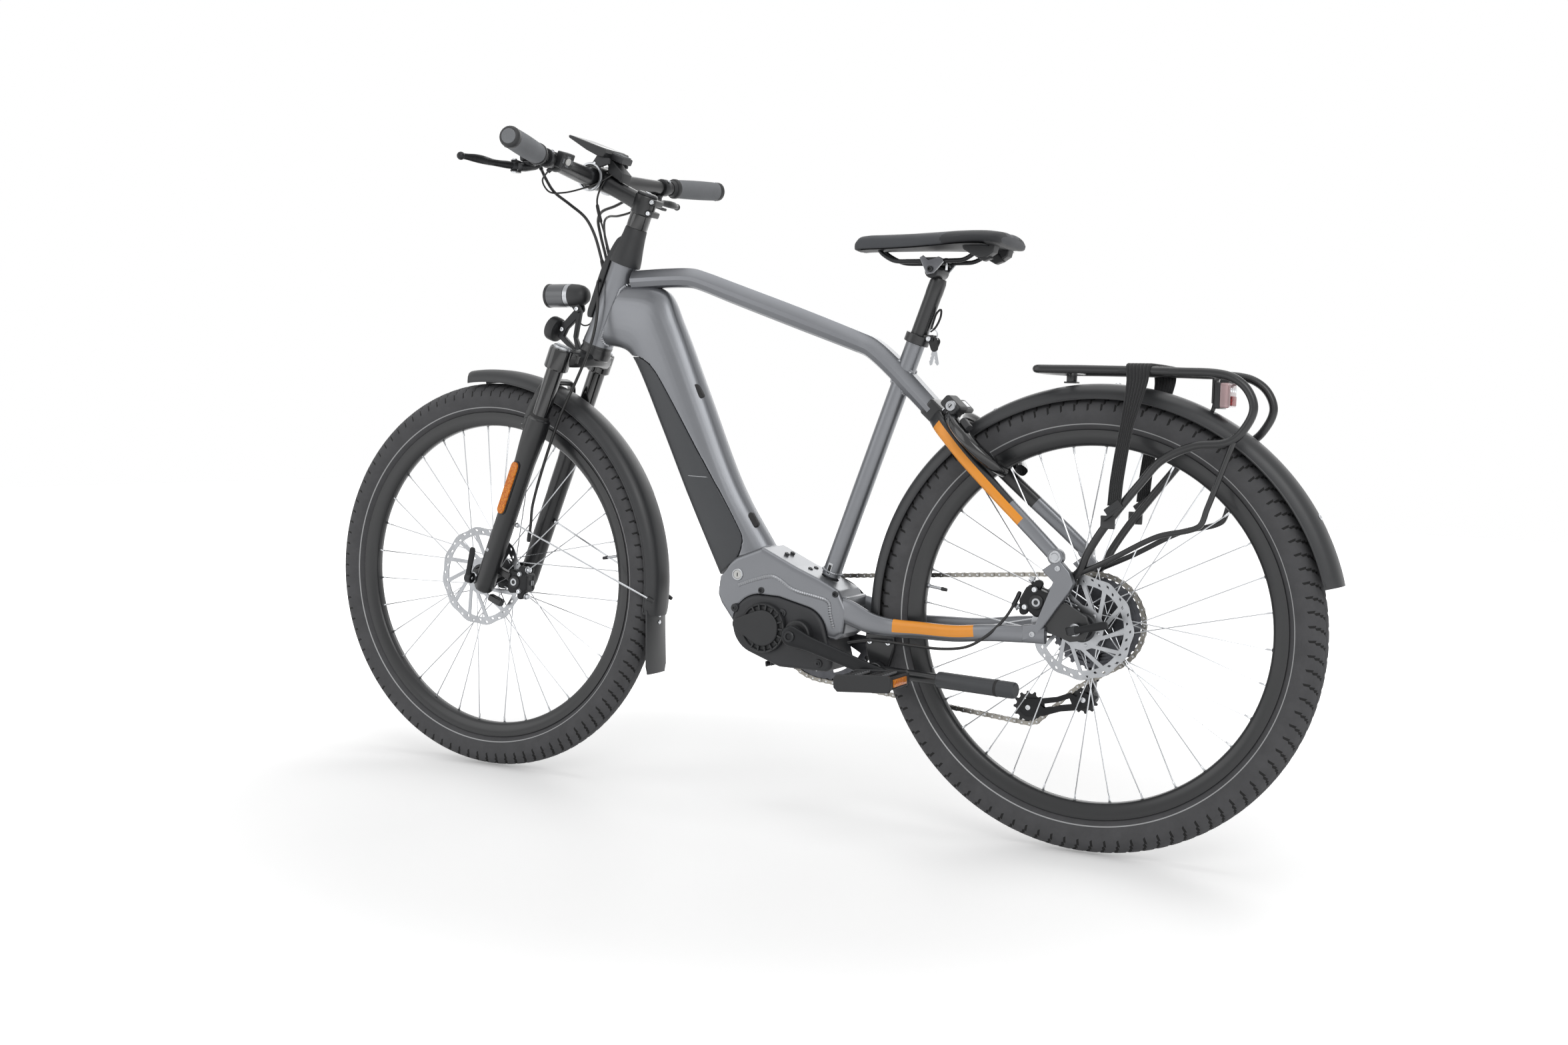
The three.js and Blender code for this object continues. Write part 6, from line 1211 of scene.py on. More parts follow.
def head_tube():
    shape = Shape()
    profile = [(16.6, 0), (27, 0), (27, 9), (26.4, 14), (24.8, 30), (24, 50), (24, 150), (24.6, 151.8),
        (16.6, 151.8)]
    shape.add(collar(profile, ORIGIN, ALONG_Z, 64), "frame")
    shape.add(collar([(16.6, -0.2), (27.4, -0.2), (27.4, 3.4), (16.6, 3.4)], ORIGIN, ALONG_Z, 64), "black")
    return shape.make("head_tube_shell", "frame", S, ("head_tube",), 30, "frame_paint")


def cable_cover():
    shape = Shape()
    shape.add(collar([(16.7, 152.2), (27.4, 152.2), (28, 155), (26.6, 166), (23.4, 184), (20.4, 204),
        (19.4, 216), (18.6, 218), (16.7, 218)], ORIGIN, ALONG_Z, 64), "plastic")
    wedge = smooth_path([(22, 45), (30, 43), (34.2, 52), (34.5, 70), (34.5, 136), (31, 158), (23, 190),
        (14, 200)], 40)
    wedge = [tuple(p) for p in wedge] + [(14, 160), (22, 150)]
    shape.add(plate(wedge, -15, 15, (), 2.4, 4), "plastic")
    for y, z in ((-8, 158), (0, 150), (8, 158), (-6, 134), (6, 134)):
        shape.add(rod((31, y, z), (36.5, y * 1.1, z + 7), 3.4, 3.0, 16, 0.6), "rubber")
    shape.add(hex_bolt((34.2, 0, 92), ALONG_X, 2.6, 1.4), "steel")
    return shape.make("cable_cover_shell", "frame", S, ("cable_cover",), 30, "black_plastic")


def weld_ring(shape, axis, height, radius, thickness):
    """A bead once round the seat tube."""
    u = np.array(basis(axis)[1])
    v = np.cross(axis, u)
    turns = np.linspace(0, 2 * math.pi, 40)
    line = [on_seat(height) + radius * (math.cos(a) * u + math.sin(a) * v) for a in turns]
    bead(shape, line, thickness)


def seat_tube():
    shape = Shape()
    axis = on_seat(794) - on_seat(398)
    axis /= np.linalg.norm(axis)
    base = on_seat(398)
    length = np.linalg.norm(on_seat(794) - base)
    shape.add(collar([(13.9, 0), (15.5, 0), (15.5, length), (13.9, length)], base, axis, 56), "frame")
    shape.add(collar([(14, length - 14.5), (19.6, length - 14.5), (20.4, length - 13.6), (20.4, length - 0.6),
        (19.6, length + 0.3), (14, length + 0.3)], base, axis, 56), "black")
    lug = on_seat(787)
    for y in (-5.2, 5.2):
        shape.add(box((17, 6.6, 13), (lug[0] - 22, y, lug[2]), 1.6), "black")
    shape.add(rod((lug[0] - 24, -13, lug[2]), (lug[0] - 24, 13, lug[2]), 3, 3, 16), "steel")
    shape.add(hex_bolt((lug[0] - 24, 8.6, lug[2]), ALONG_Y, 4.2, 4.6), "steel")
    weld_ring(shape, axis, 405, 16.4, 1.9)
    port = on_seat(409)
    shape.add(box((8.4, 3, 21), (port[0], 15, port[2]), 1.2, turn_y(17), 3), "silver")
    shape.add(box((5.4, 3.4, 15), (port[0], 15.2, port[2]), 0.8, turn_y(17), 2), "rubber")
    weld_ring(shape, axis, 716, 16.3, 1.7)
    return shape.make("seat_tube_shell", "frame", P, ("seat_tube",), 30, "frame_paint")


STAY_START = (270 - 33 / 4, 674 - 33 / 4)
STAY_EYE = (35, 459)
STAY_SHARES = [[0, 0, 0.24], [0.075, -0.005, 0.52], [0.16, -0.003, 0.63], [0.3, 0.005, 0.7],
    [0.57, 0.005, 0.82], [0.85, 0, 0.95], [1, 0, 1]]


def stay_rows(count=90):
    rows = []
    for i, (a, b, out) in enumerate(STAY_SHARES):
        x, z = on_line(STAY_START, STAY_EYE, (a, b))
        rows.append((x, out * 75, z, 13 * (1 - i * 0.025)))
    return smooth_path(rows, count)


def painted_bar(shape, path, half, paint):
    """A bar of soft square section; paint(share along, normal, across) names each face's colour."""
    verts, faces = sweep(path, [SOFT_BOX * [h, 7.5] for h in half])
    cols = len(SOFT_BOX)
    groups = {}
    for k, face in enumerate(faces):
        i, j = divmod(k, cols)
        q = (SOFT_BOX[j] + SOFT_BOX[(j + 1) % cols]) / 2
        groups.setdefault(paint(i / len(path), *q), []).append(face)
    for key, group in groups.items():
        if key not in shape.materials:
            shape.materials.append(key)
        shape.faces += [tuple(shape.count + i for i in f) for f in group]
        shape.slots += [shape.materials.index(key)] * len(group)
    shape.verts.append(np.array(verts))
    shape.count += len(verts)


def seat_stays():
    shape = Shape()
    for side in (1, -1):
        fine = stay_rows()
        path = fine[:, :3] * [1, side, 1]

        def stay_paint(share, normal, across):
            if 0.075 < share < 0.74 and across * side > 0.2 and normal > -0.34:
                return "orange"
            return "black" if share < 0.64 else "frame"
        painted_bar(shape, path, fine[:, 3], stay_paint)
        shape.add(rod((35, side * 67.8, 459), (35, side * 82.2, 459), 12.6, 12.6, 40, 1.6), "frame")
        shape.add(lathe([(0, 1.2), (5.4, 1.2), (6.4, 2.2), (8.6, 2.2), (9.6, 1.2), (9.8, 0), (0, 0)],
            (35, side * 82.2, 459), (0, side, 0), 32), "silver")
    block_shape = box((31, 46, 30), (266, 0, 672), 5, turn_y(41), 4)
    shape.add(block_shape, "black")
    return shape.make("seat_stays_shell", "frame", P, ("seat_stays",), 30, "frame_paint")


CHAIN_STAY = [[-0.02, 0.12, 0.45], [0.03, 0.115, 0.5], [0.13, 0.075, 0.545], [0.22, 0.06, 0.56],
    [0.34, 0.06, 0.65], [0.5, 0.062, 0.8], [0.65, 0.08, 0.95], [0.8, 0.088, 1], [0.87, 0.09, 1]]
HOOK = [[0.83, -0.24], [0.63, -0.19], [0.53, -0.05], [0.11, 0.56], [0.05, 0.69], [0.12, 0.86], [0.3, 1.05],
    [0.55, 0.86], [0.37, 0.69], [0.62, 0.04], [0.83, 0]]
DROPOUT = [[0.6, -0.02], [0.5, 0.36], [0.18, 0.38], [-0.14, 0.2], [-0.2, 0.02], [-0.12, -0.16], [0.1, -0.2]]


def chain_stays():
    shape = Shape()
    run = CRANK_X - STAY_EYE[0] - 26
    head = CRANK_X - 67.5
    for side in (1, -1):
        swell = (20.5, 20, 17, 15, 13.6) + (13,) * 4
        rows = [(head - a * run, side * out * 75, CRANK_Z + up * run - 0.8 * (h - 13), h) for (a, up, out),
            h in zip(CHAIN_STAY, swell)]
        fine = smooth_path(rows, 90)

        def stay_paint(share, normal, across):
            return "orange" if 0.275 < share < 0.68 and across * side > 0.2 and normal < 0.4 else "frame"
        painted_bar(shape, fine[:, :3], fine[:, 3], stay_paint)
        low, high = (67.5, 82.5) if side > 0 else (-82.5, -67.5)
        shape.add(plate([on_hook(*s) for s in HOOK], low, high, (), 2.6, 4), "frame")
        low, high = (68, 74) if side > 0 else (-74, -68)
        shape.add(plate([on_hook(*s) for s in DROPOUT], low, high, [circle(0, R_TYRE, 6.5, 24)], 1, 2),
            "black")
        for x, z in ((0.66, -0.12), (0.3, 0.9)):
            bx, bz = on_hook(x, z)
            shape.add(hex_bolt((bx, side * 82.3, bz), (0, side, 0), 4.4, 2.2), "silver")
    shape.add(box((14, 78, 31), (head - 5, 0, 352), 5, None, 4), "frame")
    shape.add(plate(hull([(0, R_TYRE - 10, 9), (10, 322, 9)], 32), -74, -68, (), 1, 2), "black")
    return shape.make("chain_stays_shell", "frame", P, ("chain_stays",), 30, "frame_paint")


def motor():
    shape = Shape()
    shape.add(plate(motor_line(0), -38, 50, (), 6, 4), "shell")
    cx, cz = 541, 307.6
    shape.add(lathe([(0, 55), (36, 55), (38, 58), (40.6, 58.6), (41.6, 57), (42, 46), (0, 46)], (cx, 0, cz),
        ALONG_Y, 72), "plastic")
    shape.add(plate(hull([(cx, cz, 30), (586, 311, 10.5)], 72), 50, 61, (), 2.4, 4), "plastic")
    for a in range(-120, 121, 20):
        t = math.radians(180 + a)
        spot = (cx + 34.6 * math.cos(t), 57.2, cz + 34.6 * math.sin(t))
        shape.add(box((9, 4.4, 3), spot, 0.8, turn_y(180 + a)), "plastic")
    shape.add(collar([(12.6, 63), (21, 63), (23.4, 61.5), (24, 58), (24, 44), (12.6, 44)], on_crank(0),
        ALONG_Y, 64), "plastic")
    for x, z in ((0.68, 0.19), (0.18, 0.18), (-0.2, -0.25)):
        bx, bz = on_motor(x, z)
        shape.add(rod((bx, 40, bz), (bx, 52.4, bz), 7.5, 7, 24, 1.4), "shell")
        shape.add(hex_bolt((bx, 52.2, bz), ALONG_Y, 3.6, 1.8), "alloy")
    for k in range(7):
        spot = on_motor(0.08 + 0.05 * k, -0.19 - 0.012 * k)
        shape.add(box((3, 60, 9), (spot[0], 6, spot[1] - 10), 1, turn_y(-8)), "shell")
    return shape.make("motor_unit", "frame", P, ("motor",), 30, "motor_plastic")


top_tube()
down_tube()
battery()
head_tube()
cable_cover()
seat_tube()
seat_stays()
chain_stays()
motor()


# Mudguards, rack and rear light

CHANNEL = [[-1, 1], [-0.86, 1.0], [-0.5, 0.93], [-0.2, 0.78], [-0.03, 0.5], [0.03, 0.2], [0.03, -0.2],
    [-0.03, -0.5], [-0.2, -0.78], [-0.5, -0.93], [-0.86, -1.0], [-1, -1]]

GUARD_RADIUS, GUARD_DROP = 372, 23
GUARD_EDGE = GUARD_RADIUS - GUARD_DROP + 1.6


def guard(start, end, centre, count):
    outer = [(n * GUARD_DROP, b * 31.6) for n, b in CHANNEL]
    inner = [(max(n * GUARD_DROP - 1.8, -GUARD_DROP), b * 29.8) for n, b in CHANNEL]
    path = []
    for i in range(count + 1):
        a = math.radians(end + (start - end) * i / count)
        path.append((centre[0] + GUARD_RADIUS * math.cos(a), 0, centre[1] + GUARD_RADIUS * math.sin(a)))
    section = outer + inner[::-1]
    scale = [1 if 1 < i < count - 1 else (0.97 if i in (1, count - 1) else 0.9) for i in range(count + 1)]
    return sweep(path, [[(n, b * s) for n, b in section] for s in scale])


def rear_mudguard():
    shape = Shape()
    shape.add(guard(-13, 166, (-8, R_TYRE - 4), 150), "guard")
    for side in (1, -1):
        line = [(GUARD_EDGE * math.cos(a) - 8, side * 31.4, R_TYRE - 4 + GUARD_EDGE * math.sin(a))
            for a in np.radians(np.linspace(-12.4, 165.4, 120))]
        shape.add(tube(line, 1.3, 6), "guard")
    for a in (93, 62, 150):
        t = math.radians(a)
        spot = Vector((373.2 * math.cos(t) - 8, 0, R_TYRE - 4 + 373.2 * math.sin(t)))
        shape.add(lathe([(0, 1.8), (2.5, 1.8), (4, 0.8), (4.4, 0), (0, 0)], spot,
            (math.cos(t), 0, math.sin(t)), 20), "steel")
    return shape.make("rear_mudguard_shell", "frame", P, ("rear_mudguard",), 34, "black_plastic")


def front_mudguard():
    """Drawn on the ground's axes round the front axle, then turned into the steering frame."""
    shape = Shape()
    shape.add(guard(83, 188, (0, 0), 96), "guard")
    for side in (1, -1):
        line = [(GUARD_EDGE * math.cos(a), side * 31.4, GUARD_EDGE * math.sin(a))
            for a in np.radians(np.linspace(83.6, 187.4, 80))]
        shape.add(tube(line, 1.3, 6), "guard")
    end = math.radians(188)
    tx, tz = GUARD_RADIUS * math.cos(end), GUARD_RADIUS * math.sin(end)
    rows = []
    for t in np.linspace(0, 1, 26):
        w = 30.5 + 1.5 * t - 14 * max(0, t - 0.9) ** 0.5
        depth = 5 * (1 - t) + 2
        lean = 1.5 * t
        ring = []
        for b in np.linspace(-1, 1, 15):
            ring.append((tx + 5.5 + lean + depth * b * b, b * w, tz + 10 - 112 * t))
        for b in np.linspace(1, -1, 15):
            ring.append((tx + 8.2 + lean + depth * b * b, b * w, tz + 10 - 112 * t))
        rows.append(ring)
    shape.add(loft(rows), "guard")
    for z in (-8, -20):
        shape.add(lathe([(0, 1.6), (2.6, 1.6), (3.6, 0.8), (3.8, 0), (0, 0)], (tx + 5.4, 0, tz + 8 + z),
            (-1, 0, 0), 18), "steel")
    turn = math.radians(90) - HEAD

    def place(x, y, z):
        return S(AXLE_F[0] + 7 + x * math.cos(turn) + z * math.sin(turn), y,
            AXLE_F[1] + 2 - x * math.sin(turn) + z * math.cos(turn))
    shape_obj = shape.make("front_mudguard_shell", "fork_lowers", place, ("front_mudguard",), 34,
        "black_plastic")
    wires = Shape()
    for side in (1, -1):
        a = math.radians(183) - turn
        high = vec(AXLE_F[0] + 360 * math.cos(a), side * 30.6, AXLE_F[1] + 360 * math.sin(a))
        foot = vec(25 - 21 - 2.7, side * 60, 125 - FORK_DROP)
        bend = foot + (high - foot) * 0.93
        wires.add(tube(smooth_path([foot, foot + (high - foot) * 0.5, bend, high], 30), 1.7, 10), "steel")
        wires.add(rod(high - (high - foot) * 0.03, high + (high - foot) * 0.012, 4.2, 3.4, 14), "plastic")
        wires.add(rod(foot + vec(3, 0, 0), foot - vec(3, 0, 0), 4.6, 4.2, 16), "steel")
    wires.make("front_mudguard_wires", "fork_lowers", S, (), 34, "steel")
    return shape_obj


RACK_FRONT, RACK_REAR, RACK_HALF, RACK_RISE = 82, 245, 70, 388


def on_rack(x, z, y):
    return (x * (RACK_FRONT if x > 0 else RACK_REAR), y * RACK_HALF, R_TYRE + z * RACK_RISE)


RACK_SIDE = [[0.94, 1, 1], [0.7, 1, 1], [0, 1, 1], [-0.56, 0.995, 1], [-0.83, 0.985, 1], [-0.95, 0.94, 1],
    [-1, 0.861, 1], [-0.934, 0.773, 1], [-0.849, 0.735, 1], [-0.663, 0.719, 1], [-0.481, 0.665, 1],
    [-0.372, 0.588, 1], [-0.151, 0.405, 1], [-0.043, 0.296, 0.94], [0.026, 0.225, 0.86], [0.2, 0.19, 0.83]]
RACK_RAIL = [[-0.9, 0.755, 1], [-0.756, 0.487, 1], [-0.71, 0.42, 1], [-0.465, 0.374, 1],
    [-0.174, 0.273, 0.95], [0.13, 0.205, 0.83]]


def rack():
    shape = Shape()
    side = [on_rack(*s) for s in RACK_SIDE]
    front = [(82, 54.6, 740), (88.5, 0, 740), (82, -54.6, 740)]
    loop = side[::-1] + front + [(x, -y, z) for x, y, z in side]
    shape.add(tube(smooth_path(loop, 420), 6.3, 18), "black")
    for flip_y in (1, -1):
        rail = smooth_path([(x, y * flip_y, z) for x, y, z in [on_rack(*s) for s in RACK_RAIL]], 120)
        shape.add(tube(rail, 4.3, 14), "black")
        foot = Vector((16.4, flip_y * 56, R_TYRE + RACK_RISE * 0.19))
        shape.add(box((20, 3.4, 22), foot + Vector((0, flip_y * 3, 0)), 1.2), "black")
        shape.add(rod(foot, foot + Vector((0, flip_y * 11, 0)), 4, 4, 16), "steel")
        shape.add(hex_bolt(foot + Vector((0, flip_y * 11, 0)), (0, flip_y, 0), 5, 4), "steel")
        shape.add(box((22, 5, 20), (-41.6, flip_y * 74.4, R_TYRE + RACK_RISE * 0.42), 1.4), "black")
    for x in (45.9, -88.2, -171.5):
        shape.add(rod((x, -69, 739), (x, 69, 739), 4, 4, 18), "black")
    shape.add(rod((45.6, 0, 720.6), (45.6, 0, 738), 8, 8, 28, 1), "black")
    shape.add(box((19, 19, 2.6), (45.6, 0, 721.8), 0.8), "black")
    shape.add(box((3.4, 34, 44), (-174, 0, 716), 1.2), "black")
    shape.add(tube(smooth_path([(-174, 0, 697), (-171, 0, 684), (-164, 0, 677)], 16), 3.2, 12), "black")
    for x in (-56, -130):
        for flip_y in (1, -1):
            shape.add(box((16, 16, 5), (x, flip_y * 69, 739.5), 2), "plastic")
    return shape.make("rack_tubes", "frame", P, ("rack",), 34, "black_paint")


STRAP_WIDTH, STRAP_RIBS = 37, 7


def strap_line(count=140):
    """From the left foot, over the deck's side tubes, to the right foot."""
    left = [(-51, 78.2, 540), (-54, 78.4, 580), (-64, 78.2, 650), (-78, 77.9, 722), (-78, 77.2, 742),
        (-78, 73.5, 747.4), (-78, 66, 748.8)]
    return smooth_path(left + [(x, -y, z) for x, y, z in left[::-1]], count)


def strap():
    """A wide elastic band of cords side by side, drawn together at each foot."""
    shape = Shape()
    line = strap_line()
    ribs = []
    for k in range(STRAP_RIBS):
        low, high = 2 * k / STRAP_RIBS - 1, 2 * (k + 1) / STRAP_RIBS - 1
        ribs += [(low + 0.02, 0.3), (low + 0.08, 1), (high - 0.08, 1), (high - 0.02, 0.3)]
    top = [(h, b) for b, h in ribs]
    section = np.array(top + [(-h, b) for h, b in top[::-1]])
    sections = []
    for x, y, z in line:
        drawn = min(1.0, max(0.0, (z - 660) / 85))
        half = STRAP_WIDTH / 2 * (0.56 + 0.44 * drawn)
        sections.append(section * [1.6 - 0.45 * drawn, half])
    shape.add(sweep(line, sections, ALONG_X), "webbing")
    band = shape.make("luggage_strap_bands", "frame", P, ("luggage_strap",), 30, "webbing")
    buckles = Shape()
    for side in (1, -1):
        buckles.add(box((27, 5.6, 14), (-50.6, side * 78.6, 536), 1.8, turn_y(-38), 3), "plastic")
        buckles.add(box((30, 6.4, 5), (-47, side * 79, 527), 1.6, turn_y(-38), 3), "plastic")
    clips = buckles.make("luggage_strap_clips", "frame", P, (), 30, "black_plastic")
    length = np.linalg.norm(np.diff(line, axis=0), axis=1).sum() / 1000
    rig.sheet(band, flat=(STRAP_WIDTH / 1000, round(float(length), 3)), held="stretched", rests_on=["rack"],
        with_pieces=[clips])


def rear_light():
    shape = Shape()
    shape.add(box((9, 49, 39), (-182, 0, 706), 3, None, 3), "plastic")
    lens = box((16, 47, 37), (-192, 0, 706), 4.5, None, 4)
    shape.add(lens, "red_lens")
    shape.add(box((3, 30, 14), (-200.4, 0, 698), 0.9), "red")
    shape.add(box((14, 33, 9), (-190, 0, 726), 3, None, 3), "plastic")
    for y in (-14, 0, 14):
        shape.add(lathe([(0, 1.4), (2.6, 1.2), (3.6, 0), (0, 0)], (-200, y, 714), (-1, 0, 0), 18), "mirror")
    return shape.make("rear_light_unit", "frame", P, ("rear_light",), 30, "lens")


rear_mudguard()
front_mudguard()
rack()
strap()
rear_light()


# Fork

LEAN = math.radians(90) - HEAD
FORE = vec(math.cos(LEAN), 0, -math.sin(LEAN))
ARCH_TOP = 381 - FORK_DROP
LEG_TOP = ARCH_TOP - 59
LEG_X, LEG_Y = 25, 65


def fork_crown():
    shape = Shape()
    path = smooth_path([(25, 65, -36), (12, 50, -31), (5, 32.5, -27), (0, 12, -23.5), (0, -12, -23.5),
        (5, -32.5, -27), (12, -50, -31), (25, -65, -36)], 40)
    shape.add(sweep(path, SOFT_BOX * [14, 18], ALONG_X), "black")
    shape.add(lathe([(0, -22), (25, -22), (28, -19), (28, -8), (26.6, -5), (26.6, -0.6), (0, -0.6)], ORIGIN,
        ALONG_Z, 48), "black")
    shape.add(rod((0, 0, -14), (0, 0, 277), 14.2, 14.2, 32), "alloy")
    for side in (1, -1):
        c = (LEG_X, side * LEG_Y, 0)
        shape.add(lathe([(0, -56), (19.8, -56), (21.6, -54), (21.6, -22), (20.6, -18.6), (18.6, -17),
            (0, -17)], c, ALONG_Z, 48), "gloss")
        shape.add(lathe([(0, -17.2), (16.6, -17.2), (16.6, -14.6), (15.4, -13.4), (0, -13.2)], c, ALONG_Z,
            40), "silver")
        shape.add(box((25, 3, 2.6), (LEG_X, side * LEG_Y, -12.6), 0.8), "silver")
        shape.add(rod((LEG_X, side * LEG_Y, -299), (LEG_X, side * LEG_Y, -50), 15, 15, 40), "gloss")
        shape.add(box((24, 26, 17), (6, side * 43, -27), 4, None, 3), "black")
    return shape.make("fork_crown_unit", "steerer", S, ("fork_crown",), 32, "black_alloy")


def fork_lowers():
    shape = Shape()
    leg = [(15.6, LEG_TOP + 1), (17.8, LEG_TOP + 1), (18.4, LEG_TOP - 1), (21, LEG_TOP - 3),
        (21.4, LEG_TOP - 30), (20.6, LEG_TOP - 52), (18.6, LEG_TOP - 84), (18.2, LEG_TOP - 150), (18.2, -468),
        (17.2, -478), (14, -482.6), (0, -484)]
    solid_leg = [(0, LEG_TOP - 160), (15.6, LEG_TOP - 160), *leg]
    for side in (1, -1):
        c = (LEG_X, side * LEG_Y, 0)
        shape.add(lathe(solid_leg, c, ALONG_Z, 48), "black")
        shape.add(collar([(15.2, LEG_TOP + 0.5), (17.4, LEG_TOP + 0.5), (17.2, LEG_TOP + 4),
            (15.6, LEG_TOP + 5.4), (15.2, LEG_TOP + 5)], c, ALONG_Z, 40), "rubber")
        tip = hull([(FORK_RAKE, -FORK_DROP, 13.2), (25, -FORK_DROP + 21, 14.7)], 40)
        shape.add(plate(tip, 50.4 if side > 0 else -56.2, 56.2 if side > 0 else -50.4, (), 1, 2), "black")
        shape.add(box((30, 18, 22), (40, side * 60, LEG_TOP - 21), 5, None, 3), "black")
        shape.add(lathe([(0, 3), (5.5, 3), (7, 1.5), (7.4, 0), (0, 0)], (LEG_X, side * LEG_Y, -484),
            (0, 0, -1), 24), "silver")
    half = [(52, 61, ARCH_TOP - 84), (52, 59.8, ARCH_TOP - 80.5), (52, 56, ARCH_TOP - 52),
        (52, 45.5, ARCH_TOP - 14.8), (52, 32.5, ARCH_TOP - 1.4), (52, 16, ARCH_TOP), (52, 0, ARCH_TOP)]
    path = smooth_path(half + [(x, -y, z) for x, y, z in half[-2::-1]], 90)
    shape.add(sweep(path, SOFT_BOX * [5, 8], ALONG_X), "black")
    shape.add(rod((FORK_RAKE, -61, -FORK_DROP), (FORK_RAKE, 65, -FORK_DROP), 5.8, 5.8, 24), "steel")
    shape.add(lathe([(0, 0), (10.5, 0), (10.5, -7), (9, -8.6), (0, -8.6)], (FORK_RAKE, -56.4, -FORK_DROP),
        ALONG_Y, 6), "alloy")
    for share in (0.3, -0.62):
        shape.add(box((30, 13, 13), (-1, 53.5, -FORK_DROP + 58 * share + 14), 4, None, 3), "black")
    t = math.radians(80)
    at = Vector((25 + 18.8 * math.cos(t), 65 + 18.8 * math.sin(t), -283))
    out = Vector((math.cos(t), math.sin(t), 0))
    disc = plate(hull([(0, -41, 8), (0, 41, 8)], 32), 0.0, 4.6, (), 1.2, 3)
    shape.add(aimed(disc, at, out, out.cross(Vector(ALONG_Z))), "amber")
    back = plate(hull([(0, -41.6, 9.4), (0, 41.6, 9.4)], 32), -1.6, 1.6, (), 0.6, 2)
    shape.add(aimed(back, at, out, out.cross(Vector(ALONG_Z))), "plastic")
    shape.add(lathe([(0, 1.2), (3, 1.2), (3.8, 0), (0, 0)],
        (25 + 18 * math.cos(1.2), 65 + 18 * math.sin(1.2), -405), (math.cos(1.2), math.sin(1.2), 0),
        18), "silver")
    return shape.make("fork_lower_unit", "fork_lowers", S, ("fork_lowers",), 32, "black_paint")


def caliper(name, body, node, centre, angle, reach, y, outer, place):
    """Two bolted halves over a rotor, drawn about the pads with the rotor towards -X."""
    local = Shape()
    outline = hull([(-12, -13, 8), (-12, 13, 8), (13, -9, 8), (13, 9, 8)], 40)
    local.add(plate(outline, 2.6, outer, (), 3, 4), "alloy")
    local.add(plate(outline, -13, -2.6, (), 3, 4), "alloy")
    local.add(box((11, 24, 33), (14.5, (outer - 13) / 2, 0), 2.4, None, 3), "alloy")
    local.add(lathe([(0, 3.2), (9.6, 3.2), (11.4, 2), (12, 0), (0, 0)], (-5, outer - 0.4, 0), ALONG_Y, 40),
        "plastic")
    local.add(collar([(3.6, 3.6), (5, 3.9), (6.4, 3.6), (6.4, 3), (3.6, 3)], (-5, outer - 0.4, 0), ALONG_Y,
        32), "silver")
    for z in (-15.5, 15.5):
        local.add(rod((7, outer - 2, z), (7, outer + 1.4, z), 4.4, 4.4, 20, 0.8), "steel")
        local.add(lathe([(0, 1.8), (1.9, 1.8), (2, 2.9), (3.6, 2.9), (4, 2), (4, 0), (0, 0)],
            (7, outer + 1, z), ALONG_Y, 24), "steel")
    for z in (-24, 24):
        local.add(plate(hull([(8, z, 6.4), (10, z * 0.6, 8)], 32), 5, 15, (), 1.6, 3), "alloy")
        local.add(rod((4, 10, z), (26, 10, z), 2.8, 2.8, 16), "steel")
        local.add(hex_bolt((20, 10, z), ALONG_X, 4.6, 4.8), "steel")
        local.add(collar([(3, 0), (6.2, 0), (6.2, 1.6), (3, 1.6)], (17.6, 10, z), ALONG_X, 24), "silver")
    for y0 in (-1.6, 1.6):
        local.add(box((19, 1.5, 22), (-8, y0 * 1.15, 0), 0.4), "cog")
        local.add(box((7, 1.4, 9), (20, y0 * 1.3, 0), 0.4), "silver")
    local.add(rod((10, 2, 16), (10, 2, 27), 4.8, 4.4, 20), "alloy")
    local.add(lathe([(0, 3), (3.4, 3), (4.6, 2), (4.6, 0), (0, 0)], (15, outer - 5, -8), ALONG_X, 6), "steel")
    local.turn(angle, centre, (reach, y, 0))
    return local.make(name, body, place, (node,), 32, "black_alloy")


# Bar, stem, display and levers

BAR_X, BAR_Z, BAR_HALF = 106, 273, 331
BAR = [(BAR_X - 42 * b, o * BAR_HALF, BAR_Z + 36 * u)
    for o, b, u in ([1, 1, 1], [0.66, 0.43, 0.5], [0.27, 0.05, 0.11], [0.12, 0, 0])]


def on_bar(y):
    pts = BAR + [(x, -q, z) for x, q, z in BAR[::-1]]
    for a, b in zip(pts, pts[1:]):
        if a[1] >= y >= b[1]:
            t = (a[1] - y) / (a[1] - b[1])
            return np.array(a) + t * (np.array(b) - np.array(a))
    return np.array(pts[0])


def handlebar():
    radii = [11.1, 11.1, 14.6, 15.8]
    rows = [(*p, r) for p, r in zip(BAR, radii)]
    rows += [(x, -y, z, r) for x, y, z, r in rows[::-1]]
    fine = smooth_path(rows, 150)
    shape = Shape()
    shape.add(tube(fine[:, :3], fine[:, 3], 28), "black")
    return shape.make("handlebar_tube", "steerer", S, ("handlebar",), 32, "black_alloy")


